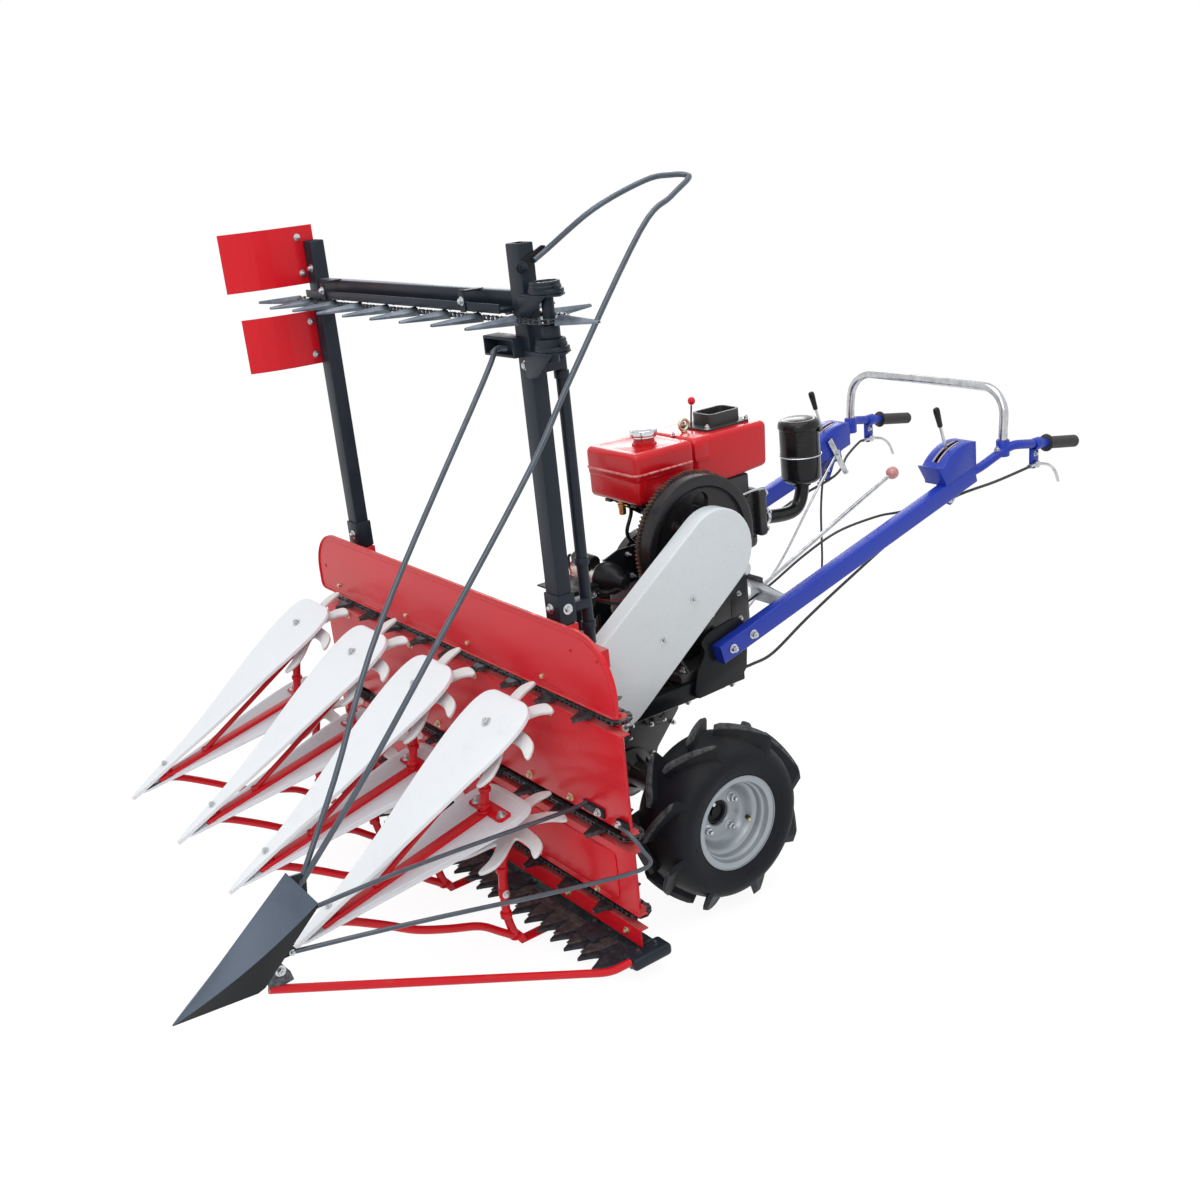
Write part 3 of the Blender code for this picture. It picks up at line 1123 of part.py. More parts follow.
def build_outer_divider(machine, black, red):
    """Folded black point with its guide rods, and the red tube that carries it."""
    x = DIVIDER_X
    tip = Vector((x, -1.285, 0.135))
    ridge = Vector((x, -1.040, 0.330))
    near_top = Vector((x + 0.036, -1.002, 0.262))
    far_top = Vector((x - 0.040, -1.002, 0.262))
    near_low = Vector((x + 0.026, -1.128, 0.140))
    far_low = Vector((x - 0.028, -1.128, 0.140))
    bm = bmesh.new()
    layers = []
    for drop in (Vector(), Vector((0.0, 0.0016, -0.0042))):
        layers.append([bm.verts.new(p + drop) for p in (tip, near_low, near_top, ridge, far_top, far_low)])
    upper, lower = layers
    for a, b, c, d in ((0, 1, 2, 3), (0, 3, 4, 5)):
        bm.faces.new((upper[a], upper[b], upper[c], upper[d]))
        bm.faces.new((lower[d], lower[c], lower[b], lower[a]))
    for i in range(6):
        bm.faces.new((upper[i], lower[i], lower[i - 5], upper[i - 5]))
    bmesh.ops.triangulate(bm, faces=bm.faces[:])
    point = finish(bm, "divider")
    ear = plate([(-1.110, 0.180), (-1.085, 0.180), (-1.010, 0.235), (-1.000, 0.318), (-1.042, 0.3264),
                 (-1.100, 0.2802)],
                x - 0.002, x + 0.002, "x")
    side = POST_X + POST_WIDTH / 2 + GAP
    loop = [(x, -1.014, 0.296), (x + 0.02, -0.876, 0.452), (x + 0.03, -0.695, 0.660),
            (x + 0.04, -0.467, 0.925),
            (x + 0.04, -0.362, 1.065), (x + 0.040, -0.172, 1.305), (x + 0.030, -0.085, 1.357),
            (x + 0.000, -0.010, 1.388), (x - 0.030, -0.075, 1.393), (x - 0.070, -0.215, 1.355),
            (x - 0.118, -0.300, 1.300), (side + 0.0068, -0.318, 1.262)]
    second = [(x, -1.020, 0.290), (x - 0.03, -0.907, 0.449), (x - 0.08, -0.745, 0.690),
              (0.46, -0.420, 1.060),
              (0.431, -0.372, 1.105), (0.431, -0.3430, 1.105)]
    low_a = [(x, -1.060, 0.240), (0.600, -0.827, 0.225), (0.570, -0.610, 0.195), (0.560, -0.420, 0.176),
             (0.560, PANEL_FACE - SHEET - 0.0025, 0.176)]
    low_b = [(x, -1.070, 0.215), (0.690, -0.851, 0.170), (0.728, -0.500, 0.110), (0.735, -0.350, 0.090),
             (0.732, -0.356, 0.130), (0.712, -0.366, 0.158), (0.680, -0.366, 0.165)]
    rods = [tube(flow(loop, 26), ROD_RADIUS, 6), tube(flow(second, 10), ROD_RADIUS, 6),
            tube(flow(low_a, 6), 0.0045, 6), tube(flow(low_b, 12), 0.0045, 6)]
    tab = block((side, -0.334, 1.246), (side + 0.006, -0.302, 1.278))
    face = PANEL_FACE - SHEET - GAP
    feet = [block((0.545, face - 0.004, 0.164), (0.578, face, 0.188)),
            block((0.660, face - 0.008, 0.156), (0.690, face, 0.174))]
    name_part(fuse(point, ear, *rods, tab, *feet), "outer_divider", black, machine, smooth=25)

    start_x = HEADER_NEAR + 0.012
    rail = tube(bend([(start_x, -0.400 - GAP, -0.121), (start_x, -0.450, -0.121), (x, -1.108, 0.122)],
                     0.04, 3),
                DIVIDER_TUBE_RADIUS, 8)
    name_part(rail, "divider_tube", red, machine)


def settle(machine):
    """Stand the finished machine with the middle of its footprint on the origin."""
    bpy.context.view_layer.update()
    graph = bpy.context.evaluated_depsgraph_get()
    low = Vector((9.0, 9.0, 9.0))
    high = -low
    for item in bpy.context.scene.objects:
        if item.type == 'EMPTY':
            continue
        seen = item.evaluated_get(graph)
        mesh = seen.to_mesh()
        for vert in mesh.vertices:
            spot = item.matrix_world @ vert.co
            low = Vector(map(min, low, spot))
            high = Vector(map(max, high, spot))
        seen.to_mesh_clear()
    machine.location.x -= (low.x + high.x) / 2
    machine.location.y -= (low.y + high.y) / 2
    machine.location.z -= low.z
    bpy.context.view_layer.update()
    print("size", high - low)


def build():
    """Make every sub-part and set the machine down."""
    clear_scene()
    red = material("red_paint", (0.62, 0.012, 0.018), 0.32)
    tank_red = material("tank_red", (0.66, 0.010, 0.016), 0.25)
    white = material("white_paint", (0.80, 0.80, 0.78), 0.42)
    black = material("black_paint", (0.018, 0.018, 0.020), 0.45)
    blue = material("blue_paint", (0.020, 0.045, 0.42), 0.33)
    rubber = material("tyre_rubber", (0.022, 0.022, 0.024), 0.85)
    grip_rubber = material("grip_rubber", (0.020, 0.020, 0.020), 0.70)
    silver = material("silver_paint", (0.60, 0.61, 0.62), 0.38, 0.6)
    zinc = material("zinc_sheet", (0.55, 0.57, 0.60), 0.42, 0.8)
    chrome = material("chrome", (0.75, 0.75, 0.76), 0.10, 1.0)
    dark = material("dark_steel", (0.10, 0.10, 0.105), 0.50, 0.7)
    grey = material("star_plastic", (0.66, 0.67, 0.66), 0.50)
    machine = empty("machine", (0.0, 0.0, AXLE_HEIGHT), (NOSE_DOWN, 0.0, 0.0))
    build_wheels(machine, rubber, silver)
    build_main_frame(machine, black)
    build_gearbox(machine, black)
    build_engine_block(machine, black)
    build_fuel_tank(machine, tank_red)
    build_water_hopper(machine, tank_red)
    build_fuel_cap(machine, chrome)
    build_air_cleaner(machine, black)
    build_starter(machine, silver)
    build_flywheel(machine, black)
    build_belt_guard(machine, white)
    build_rear_cover(machine, zinc)
    for side, name in ((1, "left"), (-1, "right")):
        build_handlebar(machine, side, name, blue)
        build_grip(machine, side, name, grip_rubber)
        build_lever(machine, side, name, dark)
        build_clutch_lever(machine, side, name, dark)
    build_arch_bar(machine, chrome)
    build_gear_lever(machine, chrome)
    build_cables(machine, grip_rubber)
    build_header_frame(machine, red)
    build_panels(machine, red)
    build_chains(machine, dark)
    build_cutter_bar(machine, dark)
    build_knife(machine, dark)
    for index, x in enumerate(ROW_X, 1):
        build_row(machine, index, x, white, red, grey)
    build_conveyor(machine, black, dark)
    build_deflectors(machine, red)
    build_outer_divider(machine, black, red)
    settle(machine)


build()
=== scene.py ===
"""Looks of the walk-behind reaper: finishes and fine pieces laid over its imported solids.

Lengths are in metres. Pieces are modelled in the machine's own frame, with its origin on the
axle's middle line, +X to the machine's left and -Y to the front, and are then stood nose-down.
"""
import json
from math import atan2, cos, pi, radians, sin, sqrt, tan

import bmesh
import bpy
from mathutils import Matrix, Vector


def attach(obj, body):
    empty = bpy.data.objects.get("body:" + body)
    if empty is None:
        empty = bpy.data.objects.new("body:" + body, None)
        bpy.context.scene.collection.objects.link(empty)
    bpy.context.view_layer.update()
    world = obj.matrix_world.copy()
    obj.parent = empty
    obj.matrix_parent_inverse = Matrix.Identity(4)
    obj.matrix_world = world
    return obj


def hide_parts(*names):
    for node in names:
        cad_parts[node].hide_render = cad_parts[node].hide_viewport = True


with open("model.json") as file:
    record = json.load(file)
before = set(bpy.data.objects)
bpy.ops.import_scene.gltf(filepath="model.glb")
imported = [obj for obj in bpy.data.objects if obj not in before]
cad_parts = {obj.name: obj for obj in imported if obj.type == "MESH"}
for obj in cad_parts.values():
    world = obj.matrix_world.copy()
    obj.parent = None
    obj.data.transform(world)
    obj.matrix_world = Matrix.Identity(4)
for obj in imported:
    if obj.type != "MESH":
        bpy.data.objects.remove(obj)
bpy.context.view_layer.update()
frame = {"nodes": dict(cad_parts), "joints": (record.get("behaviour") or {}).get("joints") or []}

# Tyres
# Moulded tyres of blue-black rubber for soft ground. Each has a round carcass, a bead that sits
# in the rim, and eight swept lugs on each side that meet in a chevron along the middle line.

UNIT_X = 0.14
HALF_TRACK = 0.4
TYRE_RADIUS = 0.2165
LUG_COUNT = 8
LUG_SWEEP = 0.5
SIDES = ((1, "left"), (-1, "right"))

joints = {joint["name"]: joint for joint in frame["joints"]}
left_hub = Vector(joints["wheel_left_spin"]["pos_m"])
axle_end = Vector((UNIT_X + HALF_TRACK, 0, 0))
STANCE = Matrix.Translation(left_hub - axle_end) @ Matrix.Rotation(radians(7), 4, "X")


class Link:
    """A node's socket in a finish. Sums on it add Math nodes."""

    def __init__(self, finish, socket):
        self.finish = finish
        self.socket = socket

    def maths(self, operation, *values):
        return self.finish.node("Math", {"operation": operation}, dict(enumerate(values)))

    def __add__(self, other):
        return self.maths("ADD", self, other)

    __radd__ = __add__

    def __sub__(self, other):
        return self.maths("SUBTRACT", self, other)

    def __rsub__(self, other):
        return self.maths("SUBTRACT", other, self)

    def __mul__(self, other):
        return self.maths("MULTIPLY", self, other)

    __rmul__ = __mul__

    def __truediv__(self, other):
        return self.maths("DIVIDE", self, other)

    def __pow__(self, other):
        return self.maths("POWER", self, other)

    def step(self, low, high):
        """Goes smoothly from 0 to 1 between two values."""
        sockets = {0: self, 1: low, 2: high, 3: 0.0, 4: 1.0}
        return self.finish.node("MapRange", {"interpolation_type": "SMOOTHSTEP", "clamp": True}, sockets)


class Finish:
    """A Principled material. Its fixed values are given first, and the rest is built by node()."""

    def __init__(self, name, colour, roughness, metallic=0.0, **fixed):
        self.material = bpy.data.materials.new(name)
        self.material.use_nodes = True
        self.tree = self.material.node_tree
        self.shader = self.tree.nodes["Principled BSDF"]
        self.colour = (*colour, 1.0)
        self.shader.inputs["Base Color"].default_value = self.colour
        self.shader.inputs["Roughness"].default_value = roughness
        self.shader.inputs["Metallic"].default_value = metallic
        for key, value in fixed.items():
            self.shader.inputs[key.replace("_", " ")].default_value = value

    def plug(self, socket, value):
        if isinstance(value, Link):
            self.tree.links.new(value.socket, socket)
        else:
            socket.default_value = value

    def node(self, kind, settings=None, sockets=None, out=0):
        """Adds one node: its settings, then the values or links of its sockets."""
        made = self.tree.nodes.new("ShaderNode" + kind)
        for key, value in (settings or {}).items():
            if key == "stops":
                ramp = made.color_ramp.elements
                while len(ramp) < len(value):
                    ramp.new(0.5)
                for stop, (place, shade) in zip(ramp, value):
                    stop.position = place
                    stop.color = shade
            else:
                setattr(made, key, value)
        for key, value in (sockets or {}).items():
            self.plug(made.inputs[key], value)
        return Link(self, made.outputs[out])

    def place(self, out=3):
        return self.node("TexCoord", out=out)

    def axes(self, place=None):
        """The three numbers of a place."""
        split = self.node("SeparateXYZ", sockets={0: place or self.place()})
        return [Link(self, socket) for socket in split.socket.node.outputs]

    def noise(self, scale, detail=3.0, rough=0.55, place=None):
        sockets = {"Vector": place or self.place(), "Scale": scale, "Detail": detail, "Roughness": rough}
        return self.node("TexNoise", sockets=sockets)

    def mix(self, share, one, two):
        """A blend of two colours, each a link or three numbers."""
        one, two = (colour if isinstance(colour, Link) else (*colour, 1) for colour in (one, two))
        return self.node("Mix", {"data_type": "RGBA"}, {0: share, 6: one, 7: two}, out=2)

    def up(self):
        """1 where a face looks up, 0 on the level, less below."""
        return self.axes(self.node("NewGeometry", out=1))[2]

    def set(self, **inputs):
        for key, value in inputs.items():
            self.plug(self.shader.inputs[key.replace("_", " ")], value)
        return self

    def bump(self, height, strength=0.3, distance=0.001, base=None):
        sockets = {"Strength": strength, "Distance": distance, "Height": height}
        if base:
            sockets["Normal"] = base
        self.set(Normal=self.node("Bump", sockets=sockets))
        return self


def select_only(*pieces):
    """Leaves just these objects selected, the last one active."""
    if bpy.context.object and bpy.context.object.mode != "OBJECT":
        bpy.ops.object.mode_set(mode="OBJECT")
    bpy.ops.object.select_all(action="DESELECT")
    for piece in pieces:
        piece.select_set(True)
        bpy.context.view_layer.objects.active = piece


def loop_of(points, fill="NOTHING"):
    """A circle primitive whose corners are moved onto the given points."""
    select_only()
    bpy.ops.mesh.primitive_circle_add(vertices=len(points), radius=1.0, fill_type=fill)
    made = bpy.context.object
    for vertex, point in zip(made.data.vertices, points):
        vertex.co = point
    return made


def close_up():
    """Merges corners that meet, turns every face outward and leaves edit mode."""
    bpy.ops.mesh.select_all(action="SELECT")
    bpy.ops.mesh.remove_doubles(threshold=0.00002)
    bpy.ops.mesh.normals_make_consistent(inside=False)
    bpy.ops.object.mode_set(mode="OBJECT")


def turned(profile, centre=(0.0, 0.0, 0.0), axis=(1, 0, 0), steps=48):
    """A closed profile of (along, radius) pairs spun about an axis through a centre."""
    axis = Vector(axis)
    centre = Vector(centre)
    side = axis.orthogonal().normalized()
    made = loop_of([centre + axis * along + side * radius for along, radius in profile])
    bpy.ops.object.mode_set(mode="EDIT")
    bpy.ops.mesh.select_all(action="SELECT")
    bpy.ops.mesh.spin(steps=steps, angle=2 * pi, center=centre, axis=axis)
    bpy.ops.mesh.select_all(action="SELECT")
    bpy.ops.mesh.remove_doubles(threshold=0.00002)
    bpy.ops.mesh.delete_loose(use_verts=True, use_edges=True, use_faces=False)
    bpy.ops.mesh.select_all(action="SELECT")
    bpy.ops.mesh.normals_make_consistent(inside=False)
    bpy.ops.object.mode_set(mode="OBJECT")
    return made


def modify(piece, kind, **settings):
    """Adds a modifier and applies it."""
    select_only(piece)
    change = piece.modifiers.new(kind, kind)
    for key, value in settings.items():
        setattr(change, key, value)
    bpy.ops.object.modifier_apply(modifier=change.name)
    return piece


def remove(*pieces):
    for piece in pieces:
        bpy.data.objects.remove(piece)


def carve(piece, tool, operation="DIFFERENCE"):
    """Takes a tool piece out of a piece, or unites them."""
    modify(piece, "BOOLEAN", operation=operation, solver="EXACT", object=tool)
    remove(tool)


def copied(piece, matrix):
    made = piece.copy()
    made.data = piece.data.copy()
    bpy.context.scene.collection.objects.link(made)
    made.data.transform(matrix)
    return made


def join(pieces):
    """One object from several."""
    select_only(*reversed(pieces))
    if len(pieces) > 1:
        bpy.ops.object.join()
    return bpy.context.object


def paint(piece, *finishes):
    piece.data.materials.clear()
    for finish in finishes:
        piece.data.materials.append(finish.material)
    return piece


def fit(piece, name, slot, finish=None, smooth=35, body="machine", whole=False):
    """Stands a piece on the machine and hangs it on its body, as the whole of a solid or a part of it."""
    if isinstance(piece, list):
        piece = join(piece)
    piece.data.transform(STANCE)
    piece.name = name
    piece.data.name = name
    select_only(piece)
    bpy.ops.object.shade_smooth_by_angle(angle=radians(smooth))
    if finish:
        paint(piece, finish)
    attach(piece, body)
    if whole:
        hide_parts(slot)
    return piece


rubber = Finish("tyre rubber", (0.012, 0.014, 0.018), 0.66, Specular_IOR_Level=0.12)
tyre_x, tyre_y, tyre_z = rubber.axes()
tyre_y = tyre_y - left_hub.y
tyre_z = tyre_z - left_hub.z
reach = (tyre_y * tyre_y + tyre_z * tyre_z) ** 0.5
lug_top = reach.step(0.2035, 0.207)
scuff = rubber.noise(60, 6, 0.7)
dust = rubber.noise(9, 5, 0.65).step(0.42, 0.75) * reach.step(0.15, 0.186) * 0.32
grey_top = lug_top * scuff.step(0.25, 0.6) * 0.75
dirt = rubber.mix(dust, (0.0105, 0.0125, 0.0165), (0.06, 0.054, 0.047))
rubber.set(Base_Color=rubber.mix(grey_top, dirt, (0.125, 0.13, 0.138)),
           Roughness=0.5 + grey_top * 0.35 + dust * 0.6)
rings = (reach * 900).maths("SINE", reach * 900) * (1 - reach.step(0.122, 0.13)) * 0.1
rubber.bump(rubber.noise(420, 4, 0.7) * 0.35 + rings + lug_top * scuff, 0.45, 0.0012)

bead_to_crown = [(0.0675, 0.0993), (0.069, 0.106), (0.07, 0.1115), (0.0745, 0.118), (0.0765, 0.1215),
                 (0.0772, 0.1245), (0.079, 0.129), (0.0812, 0.1385), (0.0819, 0.148), (0.0805, 0.157),
                 (0.0765, 0.166), (0.0695, 0.1735), (0.059, 0.1795), (0.044, 0.1845), (0.024, 0.1885)]


def both_ways(half, *middle):
    """A profile that runs the same way back: half of it, its middle, and the half mirrored."""
    return half + list(middle) + [(-along, radius) for along, radius in reversed(half)]


carcass = both_ways(bead_to_crown, (0.0, 0.19))


def lug_spot(along, across, lift, phase, side):
    """A point of a lug: how far out from the middle line, how far round, and how high."""
    x = along * 0.0835
    turn = phase - LUG_SWEEP * min(x / 0.068, 1.12)
    top = TYRE_RADIUS - 0.008 * (x / 0.068) ** 2
    foot = 0.172 - 0.04 * max(0.0, (x - 0.05) / 0.033) ** 1.5
    shoulder = max(0.0, (x - 0.066) / 0.0175)
    top -= 0.052 * shoulder ** 1.4
    radius = foot + (top - foot) * lift
    turn += across / radius
    return Vector((side * (x - 0.003), radius * cos(turn), radius * sin(turn)))


def lug(phase, side):
    """One lug: a grid bent over its own ridge, then closed underneath inside the carcass."""
    rows = 13
    section = [(-0.0165, 0.0), (-0.0125, 0.35), (-0.0098, 0.93), (-0.0085, 1.0), (0.0085, 1.0),
               (0.0098, 0.93), (0.0125, 0.35), (0.0165, 0.0)]
    select_only()
    bpy.ops.mesh.primitive_grid_add(x_subdivisions=len(section) - 1, y_subdivisions=rows - 1, size=1.0)
    made = bpy.context.object
    for index, vertex in enumerate(made.data.vertices):
        row, column = divmod(index, len(section))
        across, lift = section[column]
        along = row / (rows - 1)
        if row in (0, rows - 1):
            lift = 0.0
        along = {0: 0.0, 1: 0.035, rows - 2: 0.985}.get(row, along)
        vertex.co = lug_spot(along, across * (1 - 0.15 * along), lift, phase, side)
    bpy.ops.object.mode_set(mode="EDIT")
    bpy.ops.mesh.select_all(action="DESELECT")
    bpy.ops.mesh.select_non_manifold(extend=False)
    bpy.ops.mesh.edge_face_add()
    bpy.ops.mesh.select_all(action="SELECT")
    bpy.ops.mesh.normals_make_consistent(inside=False)
    bpy.ops.object.mode_set(mode="OBJECT")
    return made


tyre_shape = turned(carcass, steps=96)
lugs = []
for count in range(LUG_COUNT):
    first = radians(360 / LUG_COUNT * count - 3.75)
    lugs += [lug(first, 1), lug(first + pi / LUG_COUNT, -1)]
tread = join(lugs)
carve(tyre_shape, tread, "UNION")

for side, name in SIDES:
    tyre = copied(tyre_shape, Matrix.Translation((UNIT_X + side * HALF_TRACK, 0, 0)))
    fit(tyre, "tread_" + name, "tyre_" + name, rubber, smooth=32, body="wheel_" + name, whole=True)
remove(tyre_shape)

# Rims and hubs
# Pressed steel wheels in silver paint: a dished disc welded in a stepped barrel, with a rolled
# lip. Four studs hold each one on a black hub, and a valve stands in the slope of the dish.

silver = Finish("silver paint", (0.46, 0.49, 0.52), 0.36, 0.35, Coat_Weight=0.25, Coat_Roughness=0.25)
cloud = silver.noise(14, 4, 0.6)
stain = silver.noise(38, 5, 0.7).step(0.63, 0.8)
silver.set(Base_Color=silver.mix(stain * 0.45, silver.mix(cloud, (0.27, 0.31, 0.345), (0.4, 0.435, 0.465)),
                                 (0.24, 0.235, 0.22)), Roughness=0.3 + cloud * 0.16 + stain * 0.2)
silver.bump(silver.noise(260, 3, 0.6), 0.12, 0.0006)

black = Finish("black enamel", (0.01, 0.011, 0.013), 0.34, Specular_IOR_Level=0.16, Coat_Weight=0.03,
               Coat_Roughness=0.18)
film = black.noise(7, 5, 0.6).step(0.45, 0.85) * black.up().step(0.15, 0.95)
grit = black.noise(160, 3, 0.65)
black.set(Base_Color=black.mix(film * 0.45, (0.0085, 0.0095, 0.0115), (0.046, 0.046, 0.046)),
          Roughness=0.26 + film * 0.42 + grit * 0.1)
black.bump(black.noise(95, 4, 0.55), 0.1, 0.0008)

zinc_bolt = Finish("zinc plate", (0.62, 0.64, 0.66), 0.28, 1.0)
rub = zinc_bolt.noise(240, 4, 0.7)
zinc_bolt.set(Base_Color=zinc_bolt.mix(rub, (0.38, 0.4, 0.42), (0.74, 0.755, 0.77)),
              Roughness=0.2 + rub * 0.25)

brass = Finish("brass", (0.72, 0.48, 0.17), 0.3, 1.0)
brass.set(Roughness=0.22 + brass.noise(300, 3) * 0.25)


def bevelled(piece, width, segments=2, angle=30):
    return modify(piece, "BEVEL", width=width, segments=segments, limit_method="ANGLE",
                  angle_limit=radians(angle), harden_normals=False)


def rod_of(points, radius, smooth=True, sides=3, cyclic=False):
    """A round bar along points: a curve with a bevel, made a mesh."""
    select_only()
    bpy.ops.curve.primitive_nurbs_path_add()
    path = bpy.context.object
    curve = path.data
    curve.splines.clear()
    spline = curve.splines.new("NURBS" if smooth else "POLY")
    spline.points.add(len(points) - 1)
    for slot, point in zip(spline.points, points):
        slot.co = (*point, 1.0)
    if smooth:
        spline.order_u = 4
        spline.use_endpoint_u = not cyclic
    spline.use_cyclic_u = cyclic
    curve.resolution_u = 6
    curve.bevel_depth = radius
    curve.bevel_resolution = sides
    curve.use_fill_caps = not cyclic
    curve.dimensions = "3D"
    select_only(path)
    bpy.ops.object.convert(target="MESH")
    made = bpy.context.object
    bpy.ops.object.mode_set(mode="EDIT")
    close_up()
    return made


def primitive(add, **settings):
    """A primitive with its place, turn and size applied to the mesh."""
    select_only()
    add(**settings)
    bpy.ops.object.transform_apply(location=True, rotation=True, scale=True)
    return bpy.context.object


def drum(place, direction, radius, length, sides=24, bevel=0.0):
    """A short cylinder that starts at a place and points along a direction."""
    direction = Vector(direction).normalized()
    turn = direction.to_track_quat("Z", "Y").to_euler()
    middle = Vector(place) + direction * length / 2
    made = primitive(bpy.ops.mesh.primitive_cylinder_add, vertices=sides, radius=radius, depth=length,
                     location=middle, rotation=turn)
    if bevel:
        bevelled(made, bevel)
    return made


def make_bolt(across=0.012, head=0.0062, washer=0.0105, stud=0.0):
    """A hexagon bolt head on a spring washer and a flat washer, pointing along +Z from the plane Z = 0."""
    parts = [
        drum((0, 0, -0.0006), (0, 0, 1), washer, 0.002, 20, 0.0003),
        drum((0, 0, 0.0014), (0, 0, 1), across * 0.56, 0.0016, 16, 0.0003),
        drum((0, 0, 0.003), (0, 0, 1), across * 0.577, head, 6, 0.0007),
    ]
    if stud:
        parts.append(drum((0, 0, 0.003 + head - 0.001), (0, 0, 1), across * 0.3, stud, 12, 0.0006))
    return join(parts)


def set_out(master, spots, keep=False):
    """Copies of a small piece at (place, direction) spots, joined as one."""
    made = []
    for count, (place, direction, *more) in enumerate(spots):
        size = more[0] if more else 1.0
        turn = Vector(direction).to_track_quat("Z", "Y").to_matrix().to_4x4()
        spin = Matrix.Rotation(0.7 * count, 4, "Z")
        made.append(copied(master, Matrix.Translation(place) @ turn @ spin @ Matrix.Scale(size, 4)))
    if not keep:
        remove(master)
    return join(made)


def bolts(size, spots, name, slot, finish=zinc_bolt, body="machine"):
    """Bolts of one size, as make_bolt takes it, set out on a solid."""
    fit(set_out(make_bolt(*size), spots), name, slot, finish, body=body)


dish = [(-0.012, 0.03), (0.001, 0.03), (0.0035, 0.032), (0.0045, 0.036), (0.0048, 0.0575), (0.0058, 0.0625),
        (0.0085, 0.066), (0.02, 0.0718), (0.03, 0.0762), (0.0345, 0.08), (0.036, 0.0838), (0.0375, 0.0858),
        (0.048, 0.0868), (0.051, 0.0882), (0.053, 0.0918), (0.0555, 0.0935), (0.063, 0.0945),
        (0.0672, 0.0955), (0.0695, 0.099), (0.0702, 0.106), (0.0706, 0.1095), (0.0716, 0.1108),
        (0.0722, 0.11), (0.0723, 0.1085)]
lip = [(0.0721, 0.1102), (0.0706, 0.111), (0.069, 0.11), (0.0686, 0.106), (0.0683, 0.101), (0.066, 0.0992)]
back = [(-0.066, 0.0992), (-0.0683, 0.101), (-0.069, 0.11), (-0.0706, 0.111), (-0.0722, 0.1095),
        (-0.0706, 0.106), (-0.0695, 0.099), (-0.066, 0.095), (-0.03, 0.092), (-0.008, 0.088),
        (-0.003, 0.076), (-0.0045, 0.066), (-0.006, 0.058), (-0.011, 0.036)]
hub_profile = [(-0.1995, 0.0), (-0.1995, 0.0235), (-0.196, 0.0258), (-0.05, 0.0258), (-0.044, 0.03),
               (-0.026, 0.032), (-0.0215, 0.06), (-0.02, 0.062), (-0.013, 0.062), (-0.0118, 0.06),
               (-0.0118, 0.0305), (-0.006, 0.0288), (-0.006, 0.0225), (-0.01, 0.0215), (-0.01, 0.013),
               (-0.005, 0.012), (-0.005, 0.0)]
for side, name in SIDES:
    faced = Matrix.Rotation(0 if side > 0 else pi, 4, "Z")
    across = Matrix.Translation((UNIT_X + side * HALF_TRACK, 0, 0)) @ faced
    wheel = turned(dish + lip + back, steps=96)
    wheel.data.transform(across)
    fit(wheel, "wheel_disc_" + name, "rim_" + name, silver, smooth=30, body="wheel_" + name, whole=True)
    hub = turned(hub_profile, steps=40)
    hub.data.transform(across)
    fit(hub, "wheel_hub_" + name, "rim_" + name, black, smooth=30, body="wheel_" + name)
    turns = [radians(35 + 90 * count) for count in range(4)]
    nuts = set_out(make_bolt(0.0155, 0.0085, 0.0125, stud=0.01),
                   [((0.0047, 0.048 * cos(turn), 0.048 * sin(turn)), (1, 0, 0)) for turn in turns])
    nuts.data.transform(across)
    fit(nuts, "wheel_nuts_" + name, "rim_" + name, zinc_bolt, body="wheel_" + name)
    turn = radians(-22)
    arm = Vector((0, cos(turn), sin(turn)))
    root = Vector((0.024, 0, 0)) + arm * 0.0715
    out = (Vector((1, 0, 0)) - arm * 0.55).normalized()
    stem = drum(root, out, 0.005, 0.014, 16, 0.0012)
    paint(stem, black, brass)
    tip = drum(root + out * 0.013, out, 0.003, 0.013, 12, 0.0006)
    paint(tip, brass)
    valve = join([stem, tip])
    valve.data.transform(across)
    fit(valve, "wheel_valve_" + name, "rim_" + name, body="wheel_" + name)

# Row dividers: covers
# Two white covers lead the crop in at each row. The upper one is a moulded tray with a rounded
# edge, bolted at both ends. The lower one is a pressed sheet with a groove inside its border.

ROW_X = (-0.46, -0.15, 0.15, 0.45)
UPPER_SLOPE = radians(31.6)
LOWER_SLOPE = radians(13.6)
UPPER_STAR = Vector((0, -0.49, 0.345))
LOWER_STAR = Vector((0, -0.5, 0.125))
LOWER_COVER = Vector((0, -0.5314, 0.1833))
COVER_LIFT = 0.036

white = Finish("white moulding", (0.8, 0.83, 0.86), 0.3, Coat_Weight=0.2, Coat_Roughness=0.2)
speck = white.noise(330, 2, 0.5).step(0.66, 0.72)
smear = white.noise(11, 5, 0.65)
white.set(Base_Color=white.mix(speck * 0.3 + smear.step(0.5, 0.85) * 0.16, (0.79, 0.825, 0.86),
                               (0.46, 0.44, 0.4)), Roughness=0.3 + smear * 0.16)
white.bump(white.noise(70, 4, 0.6), 0.08, 0.0012)

sheet_white = Finish("painted sheet", (0.7, 0.74, 0.78), 0.4, Coat_Weight=0.1)
rubbed = sheet_white.noise(17, 6, 0.7).step(0.52, 0.8)
mark = sheet_white.noise(120, 4, 0.75).step(0.64, 0.74)
sheet_white.set(Base_Color=sheet_white.mix(rubbed * 0.35 + mark * 0.35, (0.7, 0.745, 0.79),
                                           (0.4, 0.39, 0.37)), Roughness=0.34 + rubbed * 0.25)
sheet_white.bump(sheet_white.noise(90, 3, 0.6), 0.1, 0.0008)

